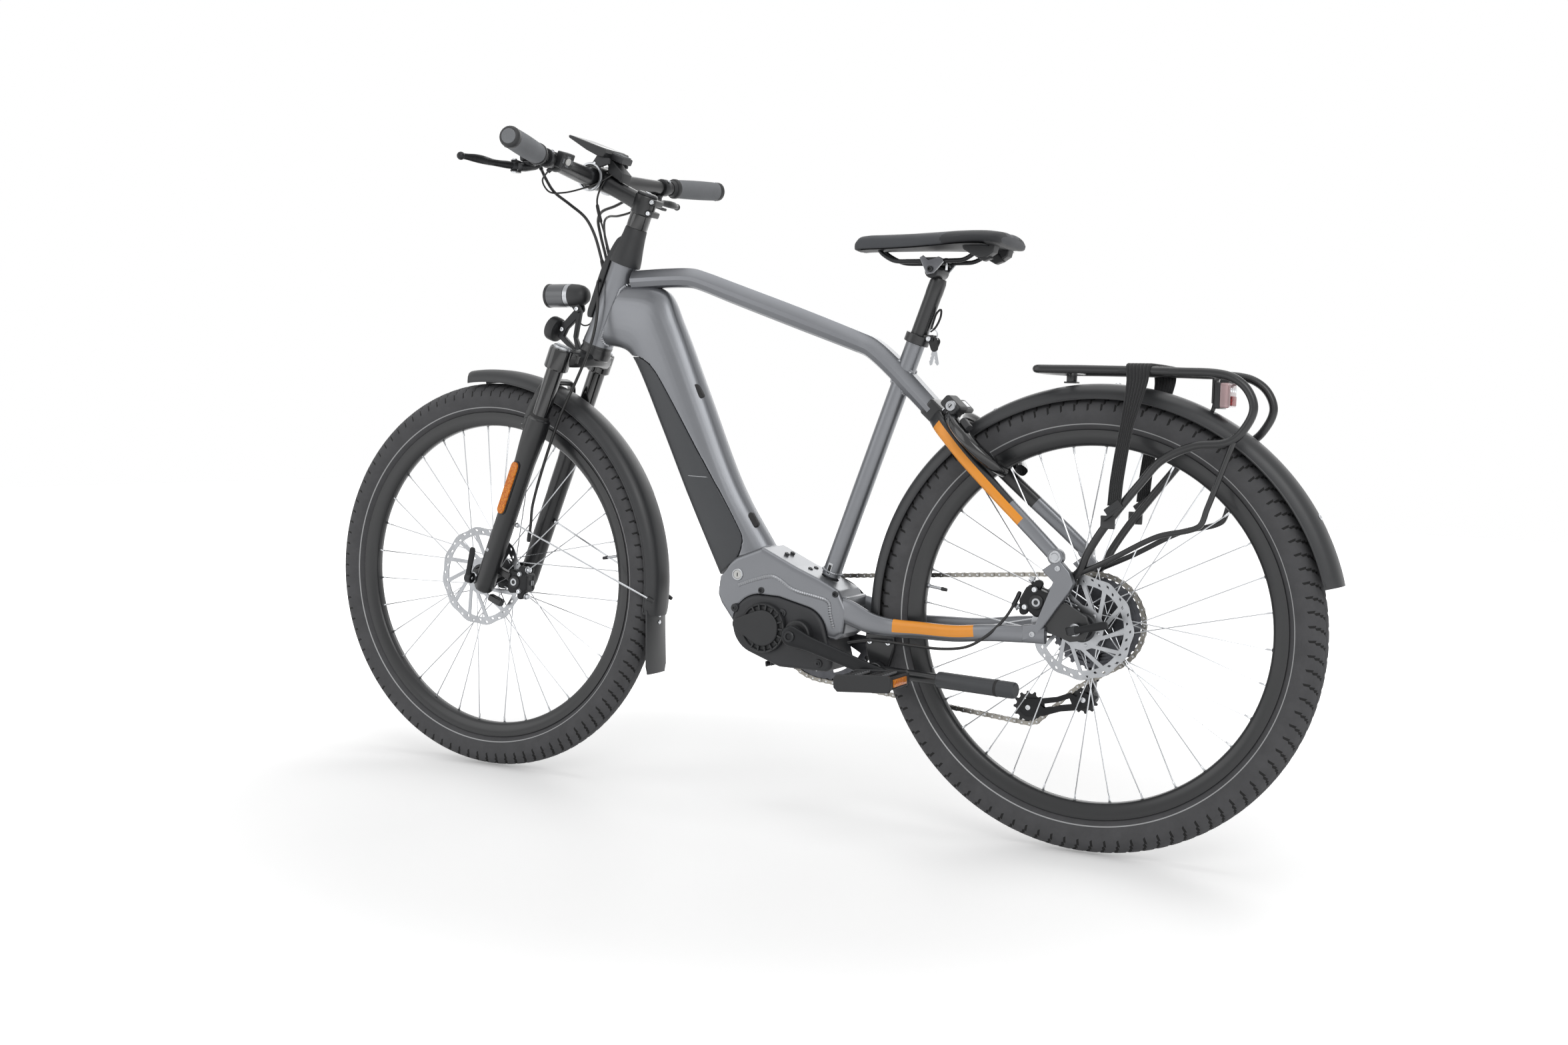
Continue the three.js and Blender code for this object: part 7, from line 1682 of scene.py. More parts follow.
def grips():
    for side, label in ((1, "left"), (-1, "right")):
        end, mid = np.array(BAR[0]), np.array(BAR[1])
        out = (end - mid) / np.linalg.norm(end - mid)
        start, stop = end + out * 3.2, end - out * 131
        flip_y = vec(1, side, 1)
        axis = (stop - start) / 134.2 * flip_y
        shape = Shape()
        body = [(0, 6)]
        for i in range(46):
            h = 6 + i * 2.5
            body.append((16.6 + 0.9 * math.sin(i / 45 * math.pi) + (0.35 if i % 2 else -0.1), h))
        body += [(12.5, 120), (0, 120)]
        shape.add(lathe(body, start * flip_y, axis, 40), "grip")
        shape.add(lathe([(0, 0), (11.8, 0), (14.6, 1.6), (16.8, 4), (17.3, 6), (17.3, 13), (16.6, 14.4),
            (0, 14.4)], start * flip_y, axis, 40), "plastic")
        shape.add(lathe([(0, -0.6), (11.4, -0.6), (12.2, 0.4), (0, 0.4)], start * flip_y, axis, 36), "grip")
        shape.add(lathe([(0, 118), (17.4, 118), (18.2, 119.4), (18.2, 124.6), (17.4, 126), (15.4, 127),
            (13, 133.6), (0, 133.6)], start * flip_y, axis, 40), "plastic")
        down = np.cross(axis, ALONG_Y)
        down /= np.linalg.norm(down)
        shape.add(hex_bolt(start * flip_y + axis * 9 + down * 16.4, down, 2.8, 2), "steel")
        shape.add(box((8, 8, 4), (start * flip_y + axis * 9) + vec(0, 0, -15.6), 1.2), "plastic")
        shape.make(f"grip_{label}_rubber", "steerer", S, (f"grip_{label}",), 32, "grip_rubber")


def stem():
    shape = Shape()
    shape.add(collar([(14.4, 218.6), (18.4, 218.6), (18.8, 220), (18.8, 243), (14.4, 243)], ORIGIN, ALONG_Z,
        48), "gloss")
    shape.add(collar([(14.4, 243.6), (19, 243.6), (20.2, 245), (20.2, 275), (19.4, 277), (14.4, 277.4)],
        ORIGIN, ALONG_Z, 48), "black")
    shape.add(lathe([(0, 277), (17.8, 277), (18.6, 278.2), (18.2, 280.4), (16, 282.2), (0, 282.6)], ORIGIN,
        ALONG_Z, 48), "alloy")
    shape.add(hex_bolt((0, 0, 282), ALONG_Z, 5, 1.8), "steel")
    rows = smooth_path([(4, 0, 261.4, 16.5, 14.5), (30, 0, 264.4, 15, 13), (64, 0, 268.2, 14.6, 13.4),
        (90, 0, 271.2, 17, 17), (104, 0, 273, 18.4, 22)], 30)
    shape.add(bar_along(rows, soft_section(0.6, 0.6)), "black")
    shape.add(collar([(16.1, -24), (20.2, -24), (21.2, -22.6), (21.2, 22.6), (20.2, 24), (16.1, 24)],
        (BAR_X, 0, BAR_Z), ALONG_Y, 56), "black")
    for y in (-16, 16):
        for z in (-17, 17):
            shape.add(rod((116, y, BAR_Z + z), (127.6, y, BAR_Z + z * 0.94), 4.6, 4.6, 18), "black")
            shape.add(hex_bolt((127.4, y, BAR_Z + z * 0.94), ALONG_X, 3.2, 1.4), "steel")
    for z in (251, 271):
        shape.add(box((17, 26, 11), (-20, 0, z), 3, None, 3), "black")
        shape.add(rod((-22, -15, z), (-22, 15, z), 3.8, 3.8, 20), "steel")
        shape.add(hex_bolt((-22, 14.4, z), ALONG_Y, 3.8, 2.4), "steel")
    shape.add(box((1.2, 2, 28), (-20.4, 0, 261), 0.3), "rubber")
    return shape.make("stem_unit", "steerer", S, ("stem",), 32, "black_alloy")


def display():
    shape = Shape()
    panel = [(168, 327.8), (170, 325.8), (168, 322.8), (126, 314.4), (98, 311.6), (88, 313), (84, 322),
        (88, 327.2)]
    shape.add(plate(panel, -37.6, 37.6, (), 1.6, 3), "plastic")
    shape.add(box((70, 68, 1.2), (129, 0, 327.5), 0.5), "glass")
    shape.add(plate([(100, 312.6), (86, 314.6), (52, 298), (50, 282.8), (84, 288.4), (88, 300)], -14, 14, (),
        2.4, 3), "plastic")
    shape.add(box((27, 34, 12), (75, 0, 318.6), 3.4, turn_y(3), 4), "shell")
    for i, x in enumerate((67, 75, 83)):
        shape.add(box((6.4, 25, 2), (x, 0, 324.8 + 0.4 * i), 0.9, turn_y(3), 3), "grip")
    for side in (1, -1):
        shape.add(collar([(21.6, -3), (24.4, -3), (25, -2), (25, 2), (24.4, 3), (21.6, 3)],
            (BAR_X, side * 28.6, BAR_Z), ALONG_Y, 56), "silver")
        shape.add(plate([(96, 292), (110, 296), (104, 314.6), (78, 314.6), (76, 306)], side * 28.6 - 2.8,
            side * 28.6 + 2.8, (), 1.2, 2), "shell")
        shape.add(hex_bolt((104, side * 31.2, 298), (0, side, 0), 2.4, 1.4), "steel")
    return shape.make("display_unit", "steerer", S, ("display",), 32, "black_plastic")


AXIS = vec(0.3, 0, 0.95) / math.hypot(0.3, 0.95)
AHEAD = np.cross(ALONG_Y, AXIS)
PIVOT = vec(119, 224, 259)


def bar_ring(shape, y, width, radius, material):
    a, b = on_bar(y - width / 2), on_bar(y + width / 2)
    shape.add(rod(a, b, radius, radius, 36, 1.2), material)


def perches():
    for side, label in ((1, "left"), (-1, "right")):
        shape = Shape()
        bar_ring(shape, 184, 14, 15.6, "alloy")
        here = on_bar(184)
        tail = vec(here[0] + 25.6, 163, here[2] - 16)
        nose = PIVOT + vec(0, -15, 0)
        axis = (nose - tail) / np.linalg.norm(nose - tail)
        run = np.linalg.norm(nose - tail)
        shape.add(lathe([(0, 0), (5.6, 0), (6.2, 3), (6.2, 7), (8.2, 9), (8.6, 14), (8.6, run - 12),
            (7.6, run - 4), (6.8, run), (0, run)], tail, axis, 36), "alloy")
        shape.add(rod(here + [4, 0, -3], [tail[0], 184, tail[2] + 1], 8, 7.4, 28, 1.6), "alloy")
        shape.add(box((36, 13, 13), (here + np.array([23, 12, -6])), 3.4, turn_y(-28), 3), "alloy")
        reservoir = [(0, 0), (9.6, 0), (11, 1), (11, 5), (10, 6.4), (0, 6.6)]
        shape.add(lathe(reservoir, nose + vec(-7, -14, 7), AXIS, 36), "alloy")
        shape.add(hex_bolt(here + vec(-8, 0, 13.6), (-0.4, 0, 1), 3.2, 2.4), "silver")
        shape.add(hex_bolt(here + vec(13.5, 0, 8), (1, 0, 0.4), 3.2, 2.4), "silver")
        for up in (-1, 1):
            base = PIVOT + AXIS * up * 8
            ear = plate(hull([(0, 0, 6), (4.6, -14, 7)], 36), -1.5, 1.5, (), 0.7, 2)
            verts = ear[0]
            placed = base + verts[:, :1] * AHEAD + verts[:, 1:2] * AXIS + verts[:, 2:3] * np.array(ALONG_Y)
            shape.add((placed, ear[1]), "alloy")
            shape.add(lathe([(0, 1.4), (2, 1.4), (2.4, 2.3), (3.6, 2.3), (4, 1.4), (4, 0), (0, 0)],
                base + AXIS * up * 1.4, AXIS * up, 22), "steel")
        if side < 0:
            spot = on_bar(170)
            z = spot[2] - 25.2
            shape.add(rod((spot[0], 184, spot[2] - 11), (spot[0], 171, z), 7.6, 7.4, 24, 1.4), "alloy")
            shape.add(lathe([(0, -8), (12, -8), (13.6, -6.4), (14, -4), (14, 4), (13, 6.6), (10, 8.2),
                (0, 8.4)], (spot[0], spot[1], z), ALONG_Z, 40), "plastic")
            shape.add(rod((spot[0], 168, z + 2), (spot[0] + 2, 152, z + 1), 5, 4.2, 20), "plastic")
            shape.add(box((20, 22, 5), (spot[0] + 4, 176, z + 7), 2, turn_y(8), 3), "plastic")
        if side < 0:
            shape.mirror()
        shape.make(f"brake_perch_{label}_unit", "steerer", S, (f"brake_perch_{label}",), 32, "black_alloy")


def levers():
    for side, label in ((1, "left"), (-1, "right")):
        shape = Shape()
        rows = [(0, 0, 5.4, 4.6), (0.1, 0.045, 6.2, 5.6), (0.2, 0.1, 5.6, 5.8), (0.32, 0.14, 5.4, 4.4),
            (0.45, 0.137, 6.2, 3.8), (0.6, 0.125, 6.8, 3.6), (0.75, 0.14, 6.4, 3.6), (0.88, 0.18, 5, 3.8),
            (0.965, 0.215, 4.6, 4.2)]
        pts = [(*(PIVOT + vec(0, 112 * o, 0) + AHEAD * 112 * a), h, w) for o, a, h, w in rows]
        fine = smooth_path(pts, 60)
        shape.add(sweep(fine[:, :3], [soft_section(0.5, 0.5) * [w, h] for h, w in fine[:, 3:]], AXIS),
            "alloy")
        ball = [(math.sin(t) * 6.6, -math.cos(t) * 6.6) for t in np.linspace(0, math.pi, 14)]
        end = PIVOT + vec(0, 108, 0) + AHEAD * 24.6
        shape.add(lathe([(0 if r < 1e-6 else r, h) for r, h in ball], end, AXIS, 28), "alloy")
        shape.add(rod(PIVOT - AXIS * 6, PIVOT + AXIS * 6, 6.4, 6.4, 28, 1), "alloy")
        shape.add(hex_bolt(PIVOT + vec(0, 15, 0) + AHEAD * 11, AHEAD, 2.4, 2), "steel")
        if side < 0:
            shape.mirror()
        shape.make(f"brake_lever_{label}_blade", f"brake_lever_{label}", S, (f"brake_lever_{label}",), 32,
            "black_alloy")


def shift_trigger():
    spot = on_bar(170)
    top = spot[2] - 33.5
    shape = Shape()
    shape.add(lathe([(0, -4.4), (9.6, -4.4), (11, -3.2), (11, -0.4), (0, -0.4)], (spot[0], -170, top),
        ALONG_Z, 36), "alloy")
    verts, faces = plate(hull([(spot[0] - 3, 170, 7), (spot[0] - 7, 190, 6.4), (spot[0] - 8, 199, 6)], 40), 0,
        4, (), 1.2, 3)
    shape.add((np.stack([verts[:, 0], -verts[:, 2], top - 4.2 + verts[:, 1]], axis=1), faces), "plastic")
    for i in range(5):
        shape.add(box((10, 1.2, 1.2), (spot[0] - 8, -(187 + 3.2 * i), top - 4.4), 0.4), "rubber")
    shape.add(hex_bolt((spot[0], -170, top - 4.2), (0, 0, -1), 3.4, 1.6), "steel")
    return shape.make("shift_trigger_paddle", "shift_trigger", S, ("shift_trigger",), 32, "black_plastic")


def remote():
    here = on_bar(152)
    shape = Shape()
    bar_ring(shape, 152, 15, 15.8, "plastic")
    centre = here + vec(-18, 0, 8)
    shape.add(collar([(6.5, 6.8), (10, 6.8), (10.6, 6), (10.6, -5), (6.5, -5)], centre, (-1, 0, 0), 40),
        "plastic")
    shape.add(box((14, 11, 27), centre + vec(1, -11.4, 0), 2.6, None, 4), "plastic")
    shape.add(box((14, 11, 27), centre + vec(1, 11.4, 0), 2.6, None, 4), "plastic")
    shape.add(box((14, 26, 6.4), centre + vec(1, 0, 10.4), 2, None, 3), "plastic")
    shape.add(box((14, 26, 6.4), centre + vec(1, 0, -10.4), 2, None, 3), "plastic")
    shape.add(box((5, 20, 8), centre + vec(5, 0, 0), 1), "plastic")
    for z in (-7.4, 7.4):
        shape.add(box((1.4, 9, 3.4), centre + vec(-6.3, 0, z), 0.5), "grip")
    for y in (-11.6, 11.6):
        shape.add(box((1.4, 3.6, 8), centre + vec(-6.3, y, 0), 0.5), "grip")
    shape.add(rod(here + [4, 0, -12], here + [8, 0, -19], 4.4, 4, 20), "plastic")
    shape.make("remote_unit", "steerer", S, ("remote",), 32, "black_plastic")
    button = Shape()
    button.add(lathe([(0, 3), (4.4, 3), (5.6, 2.2), (5.9, 1), (5.9, -1), (0, -1)], centre + vec(-7, 0, 0),
        (-1, 0, 0), 36), "white")
    button.make("remote_button_cap", "remote_button", S, ("remote_button",), 32, "black_plastic")


def lamp_and_horn():
    shape = Shape()
    arm = [(22, -35), (33, -31), (84, -14), (84, 8), (66, 45), (60, 52.4), (54, 46), (46, -2), (22, -25)]
    hole = [(40, -20), (72, -8), (70, 6), (58, 28), (52, -2)]
    shape.add(plate(arm, -4.8, 4.8, [hole], 1, 2), "alloy")
    horn = (96, 0, -4)
    shape.add(lathe([(0, -10), (17, -10), (21, -8), (22, -5), (22, 6), (21, 8.6), (19.4, 9.6), (17.6, 9.6),
        (17.4, 7.4), (0, 7.4)], horn, ALONG_X, 56), "plastic")
    for r in (4, 8, 12, 16):
        shape.add(collar([(r - 0.9, 7), (r + 0.9, 7), (r + 0.9, 8.8), (r, 9.3), (r - 0.9, 8.8)], horn,
            ALONG_X, 48), "plastic")
    shape.add(box((2.2, 34, 2.4), (104.2, 0, -4), 0.5), "plastic")
    shape.add(box((2.2, 2.4, 34), (104.2, 0, -4), 0.5), "plastic")
    shape.add(hex_bolt((26, 5, -29), ALONG_Y, 4.4, 3), "steel")
    shape.add(hex_bolt((78, 5, 2), ALONG_Y, 4, 3), "steel")
    shape.add(box((13, 9, 14), (82, 0, 8), 2, None, 3), "alloy")
    shape.make("lamp_bracket_unit", "steerer", S, ("lamp_bracket_horn",), 32, "black_alloy")

    lamp_shape = Shape()
    c = vec(91, 0, 61.0)
    barrel = [(0, -42), (7, -41.6), (13, -38.6), (17.4, -32), (19.8, -22), (20.6, -12), (20.6, -9),
        (20.2, -8), (20.2, 36), (21.2, 37), (21.4, 41.4), (20.4, 42), (18.6, 42), (18.4, 35), (12, 31),
        (5, 28.4), (0, 28)]
    lamp_shape.add(lathe(barrel, c, FORE, 64), "plastic")
    lamp_shape.add(collar([(20, -9), (21, -8.4), (21, 0), (20, 0.6)], c, FORE, 64), "silver")
    lamp_shape.add(collar([(20, 1), (20.9, 1.6), (20.9, 36), (20, 36.6)], c, FORE, 64), "lamp_grey")
    lamp_shape.add(lathe([(0, 28.2), (5, 28.7), (12, 31.3), (18, 35), (18, 34.6), (12, 30.8), (5, 28.1),
        (0, 27.6)], c, FORE, 48), "mirror")
    lamp_shape.add(lathe([(0, 40.4), (18.4, 39.6), (18.4, 38.2), (0, 38.6)], c, FORE, 48), "clear")
    lamp_shape.add(rod(c + FORE * 28, c + FORE * 32, 3, 2.4, 20), "white")
    for a in np.linspace(-0.5, 0.5, 5):
        up = vec(math.sin(LEAN), 0, math.cos(LEAN))
        spot = c + FORE * 20 + 19.8 * (math.cos(a + 0.2) * up + math.sin(a + 0.2) * np.array(ALONG_Y))
        lamp_shape.add(box((24, 1.4, 1.4), spot, 0.4, turn_y(-math.degrees(LEAN))), "plastic")
    for side in (1, -1):
        ear = plate(hull([(60, 47, 6.4), (68, 59, 6.4), (78, 56, 6)], 40), 5.3 if side > 0 else -9,
            9 if side > 0 else -5.3, (), 0.9, 2)
        lamp_shape.add(ear, "plastic")
        lamp_shape.add(hex_bolt((60, side * 9, 47), (0, side, 0), 3.8, 2), "steel")
    lamp_shape.add(rod((60, -9, 47), (60, 9, 47), 2.4, 2.4, 18), "steel")
    lamp_shape.make("headlamp_unit", "headlamp", S, ("headlamp",), 32, "black_alloy")


def cord(name, body, points, diameter, node=None, ends=(), place=S, count=90, stiff="stiff", lay="loose",
    bend=None):
    """A hose or cable: a tube on its line, with the sleeves that sit on it."""
    fine = smooth_path(points, count)
    shape = Shape()
    shape.add(tube(fine, diameter / 2, 14), "hose")
    obj = shape.make(name, body, place, (node,) if node else (), 40, "rubber", keep=not bend)
    path = [place(*p) for p in fine]
    if bend:
        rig.blend(obj, bend[0], bend[1], place(*bend[2]), place(*bend[3]))
        if node:
            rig.replaces(obj, node)
        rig.slot(obj, "rubber")
    extra = []
    if ends:
        sleeves = Shape()
        for start, stop, radius, material in ends:
            a, b = int(start * count), int(stop * count)
            part = fine[a:b + 1]
            radii = np.full(len(part), radius)
            radii[0] = radii[-1] = radius * 0.78
            sleeves.add(tube(part, radii, 16), material)
        sleeve = sleeves.make(name + "_sleeves", body, place, (), 34, "black_plastic", keep=not bend)
        if bend:
            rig.blend(sleeve, bend[0], bend[1], place(*bend[2]), place(*bend[3]))
            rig.slot(sleeve, "black_plastic")
        extra.append(sleeve)
    length = sum((Vector(b) - Vector(a)).length for a, b in zip(path, path[1:]))
    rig.cord(obj, exit=path[0], length=round(length, 4), diameter=diameter / 1000, far_end="object",
        stiffness=stiff, lay=lay, path=path, with_pieces=extra)
    return obj


def hoses():
    here = on_bar(184)
    tail = (here[0] + 25.6, 163, here[2] - 16)
    route = [(1.2, 0.69, 2.48), (1.2, 0.516, 2.31), (1.13, 0.272, 2.17), (0.95, 0.109, 2.03),
        (0.73, 0.054, 1.81), (0.45, 0.0435, 1.47), (0.32, 0.035, 1.28)]
    for side, label in ((1, "left"), (-1, "right")):
        pts = [tail] + [(100 * x, 184 * y, 100 * z) for x, y, z in route]
        pts = [(x, side * y, z) for x, y, z in pts]
        cord(f"hose_{label}_sheath", "steerer", pts, 5.2, f"hose_{label}",
            [(0.0, 0.06, 3.6, "alloy"), (0.93, 1, 3.4, "rubber")])
    front = [(0.3, 0.1, 1.14), (0.28, 0.2, 1.09), (0.18, 0.3, 0.97), (0.04, 0.36, 0.76), (-0.1, 0.43, 0.42),
        (-0.19, 0.51, 0), (-0.16, 0.54, -0.6), (-0.07, 0.53, -1.3), (-0.06, 0.53, -2.2), (-0.1, 0.52, -3),
        (-0.18, 0.5, -3.36), (-0.25, 0.5, -3.66)]
    pts = [(100 * x, 100 * y, 100 * z) for x, y, z in front]
    cord("hose_front_brake_sheath", None, pts, 5.2, "hose_front_brake", [(0.965, 1, 3.8, "alloy")], count=150,
        bend=("steerer", "fork_lowers", (0, 50, 60), (0, 50, -290)))


fork_crown()
fork_lowers()
caliper("front_caliper_unit", "fork_lowers", "front_caliper", (FORK_RAKE, 0, -FORK_DROP), 162, *FRONT_ROTOR,
    16, S)
caliper("rear_caliper_unit", "frame", "rear_caliper", AXLE_R, 28, *REAR_ROTOR, 20, P)
handlebar()
grips()
stem()
display()
perches()
levers()
shift_trigger()
remote()
lamp_and_horn()
hoses()
here = on_bar(152)
cord("remote_cable", "steerer", [(here[0] + 8, 152, here[2] - 18), (here[0] + 22, 140, 246), (118, 112, 230),
    (116, 76, 234), (108, 48, 246), (88, 26, 268), (74, 12, 290)], 3.0, count=70, stiff="medium")
cord("display_cable", "steerer", [(82, 4, 292), (84, 17, 270), (86, 16, 240), (76, 8, 214), (60, 2, 190),
    (44, 0, 168), (35, 0, 157)], 3.4, ends=[(0.42, 0.62, 3.0, "rubber")], count=60, stiff="medium")
spot = on_bar(170)
cord("shift_cable", "steerer", [(spot[0] + 2, -152, spot[2] - 24), (spot[0] + 12, -136, 232),
    (112, -104, 216), (106, -66, 212), (88, -30, 204), (66, -10, 186), (48, -5, 166),
    (38, -5, 156)], 4.2, ends=[(0.0, 0.05, 3.1, "silver"), (0.93, 1, 2.9, "rubber")], count=80, stiff="stiff")
cord("lamp_cable", "steerer", [(78, -9, 46), (71, -15, 29), (55, -18, 20), (40, -16, 28), (35, -11, 48),
    (33, -7, 70), (33, -5, 84)], 2.6, count=60, stiff="medium")


# Seat

SEAT_AXIS = vec(-math.cos(SEAT), 0, math.sin(SEAT))
BARREL = on_seat(884) + vec(4.95, 0, 8.8)
SADDLE_LONG, SADDLE_HALF, SADDLE_MID = 266, 80, 943
TAIL_X = BARREL[0] - 126
NOSE_X = TAIL_X + SADDLE_LONG


def seatpost():
    shape = Shape()
    base, top = on_seat(640), on_seat(884)
    length = np.linalg.norm(top - base)
    shape.add(lathe([(0, 0), (12.7, 0), (13.5, 1), (13.5, length - 30), (13.9, length - 24),
        (13.6, length - 8), (12, length - 1), (0, length)], base, SEAT_AXIS, 48), "black")
    shape.add(rod(BARREL - [0, 25, 0], BARREL + [0, 25, 0], 10.9, 10.9, 40, 1.2), "alloy")
    for k in range(9):
        spot = on_seat(800 + 7 * k)
        shape.add(box((0.5, 5 if k % 2 else 8, 0.8), (spot[0] - 13.4, 0, spot[2]), 0.2, turn_y(20)), "silver")
    return shape.make("seatpost_tube", "seatpost", P, ("seatpost",), 32, "black_alloy")


SADDLE = [[0, 0.16, 0.957], [0.025, 0.215, 0.968], [0.06, 0.245, 0.978], [0.2, 0.3, 0.98], [0.4, 0.42, 0.982],
    [0.56, 0.62, 0.985], [0.72, 0.88, 0.986], [0.86, 1, 0.982], [0.955, 0.94, 0.972], [0.99, 0.8, 0.96],
    [1, 0.7, 0.953]]


def saddle():
    rows = []
    for a, w, top in SADDLE:
        rows.append((NOSE_X - a * SADDLE_LONG, 0, SADDLE_MID - (1 - top) * 160, w * SADDLE_HALF,
            14 if 0 < a < 1 else 9))
    fine = smooth_path(rows, 90)
    half = [(-0.86, 0), (-0.8, 0.55), (-0.74, 0.86), (-0.62, 0.975), (-0.3, 1.0), (0.1, 0.985), (0.42, 0.92),
        (0.68, 0.79), (0.85, 0.6), (0.95, 0.4), (0.975, 0.2), (0.955, 0)]
    half = smooth_path([(n, b) for n, b in half], 34)
    loop = np.vstack([half, (half * [1, -1])[::-1][1:-1]])
    rings = []
    for i, (x, _, z, w, h) in enumerate(fine):
        share = i / (len(fine) - 1)
        dip = 2.6 * math.exp(-((share - 0.62) / 0.3) ** 2)
        rear = max(0.0, (share - 0.62) / 0.38)
        tuck = min(1, 0.62 + 0.9 * min(share, 1 - share) * 4)
        ring = []
        for n, b in loop:
            drop = dip * math.exp(-(b * w / 9) ** 2) if n > 0.4 else 0
            skirt = (6.5 * rear * abs(b) ** 3) if n < 0 else 0
            lift = 3.2 * rear * b * b if n > 0 else 0
            wide = b * w * (1 if n > -0.2 else 1 - 0.1 * (-0.2 - n))
            ring.append((x, wide, z + n * h * tuck ** 0.25 - drop + skirt * 0.4 - lift * 0.2))
        rings.append(ring)
    verts, faces = loft(rings)
    pad = Shape()
    pad.materials = ["saddle", "saddle_dark", "plastic"]
    pad.verts, pad.count = [verts], len(verts)
    for f in faces:
        mid = np.mean([verts[k] for k in f], axis=0)
        low = mid[2] < 931.5
        back = mid[0] < TAIL_X + 118 - 0.9 * (mid[2] - 930) and abs(mid[1]) > 30 + (mid[0] - TAIL_X) * 0.28
        pad.faces.append(f)
        pad.slots.append(2 if low else 1 if back else 0)
    obj = pad.make("saddle_pad", "saddle", P, ("saddle",), 45, "saddle_cover")
    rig.padded(obj, 0.7)
    parts = Shape()
    shell = []
    for i in range(4, 84, 2):
        x, _, z, w, h = fine[i]
        shell.append([(x, b * w * 0.93, z - 10.8 - c) for b,
            c in ((-1, 0), (-0.5, 1.6), (0, 2), (0.5, 1.6), (1, 0), (0.5, -2), (0, -2), (-0.5, -2))])
    parts.add(loft(shell), "plastic")
    for side in (1, -1):
        rail = smooth_path([(NOSE_X - 40, side * 8.8, 932), (NOSE_X - 52, side * 12, 921),
            (NOSE_X - 74, side * 18.4, 910.6), (NOSE_X - 100, side * 22, 909), (TAIL_X + 128, side * 22, 909),
            (TAIL_X + 92, side * 22, 909), (TAIL_X + 72, side * 22.6, 910.4), (TAIL_X + 52, side * 24.6, 921),
            (TAIL_X + 37, side * 26.4, 932)], 60)
        parts.add(tube(rail, 3.5, 16), "alloy")
        bumper = [(TAIL_X + 70, 933), (TAIL_X + 66, 924), (TAIL_X + 50, 914), (TAIL_X + 28, 911),
            (TAIL_X + 17, 918), (TAIL_X + 13, 933)]
        parts.add(plate(bumper, *sorted((side * 21, side * 44)), (), 2.2, 2), "plastic")
        parts.add(plate([(TAIL_X + 58, 918), (TAIL_X + 36, 906), (TAIL_X + 24, 910), (TAIL_X + 30, 922)],
            *sorted((side * 19, side * 34)), (), 1.6, 2), "plastic")
        parts.add(box((30, 11, 13), (BARREL[0], side * 21.6, 908), 2.4, None, 3), "alloy")
        wing = [(BARREL[0] - 20, 912), (BARREL[0] - 22, 907), (BARREL[0] - 6, 889), (BARREL[0] + 6, 887),
            (BARREL[0] + 19, 914), (BARREL[0] + 13, 917.5), (BARREL[0] + 4, 910), (BARREL[0] - 13, 915)]
        parts.add(plate(wing, *sorted((side * 25.6, side * 29)), (), 1, 2), "cog")
    for side in (1, -1):
        parts.add(hex_bolt(BARREL + vec(0, side * 29, 3), (0, side, 0), 4.8, 3.4), "alloy")
    parts.add(box((36, 34, 5.4), (BARREL[0], 0, 910.4), 1.6, None, 3), "alloy")
    parts.add(box((30, 30, 3.4), (BARREL[0], 0, 904.8), 1.2, None, 2), "alloy")
    parts.add(rod((BARREL[0] - 15, 0, 896), (BARREL[0] - 15, 0, 915), 2.8, 2.8, 18), "steel")
    parts.make("saddle_frame", "saddle", P, (), 34, "black_plastic")
    keys = Shape()
    ring = on_seat(787) + vec(-27, 0, 8)
    turn = [ring + 7.5 * vec(math.cos(a) * 0.8, math.cos(a) * 0.5, math.sin(a))
        for a in np.linspace(0, 2 * math.pi, 40)]
    keys.add(tube(turn, 1.0, 8), "steel")
    for dx, dy, tilt, grow in ((-8, 5, 14, 0.8), (-4, 8, -12, 0.95)):
        head = ring + vec(dx, dy, -12)
        bow = plate(hull([(0, 0, 8 * grow), (0, -11 * grow, 6.4 * grow)], 32), -1.8, 1.8,
            [circle(0, 3, 2.6, 14)], 0.7, 2)
        keys.add((bow[0] @ np.array(turn_y(tilt)) + head, bow[1]), "rubber")
        blade = plate([(-3, -14), (3, -14), (3.2, -22), (1.4, -24), (3, -27), (1.8, -30), (3, -33),
            (1.2, -37), (0, -39), (-3, -37)], -0.9, 0.9, (), 0.25, 1)
        keys.add((blade[0] @ np.array(turn_y(tilt)) + head, blade[1]), "silver")
    tag = [on_seat(h) + vec(-back, 0, 0) for h, back in ((799, 18), (806, 24), (822, 26), (834, 22),
        (828, 17), (812, 17), (799, 18))]
    keys.add(tube(smooth_path(tag, 40), 1.7, 10), "rubber")
    keys.make("lock_keys", "frame", P, (), 34, "steel")


# Ring lock

LOCK_TURN = math.radians(42.45)
LOCK_X = vec(math.cos(LOCK_TURN), 0, math.sin(LOCK_TURN))
LOCK_Z = vec(-math.sin(LOCK_TURN), 0, math.cos(LOCK_TURN))


def L(x, y, z):
    return P(*(vec(177.7, 0, 621.6) + x * LOCK_X + z * LOCK_Z + vec(0, y, 0)))


def arc_points(start, end, count, radius=70.0):
    return [(-radius * math.cos(a), radius * math.sin(a), 0)
        for a in np.radians(np.linspace(start, end, count))]


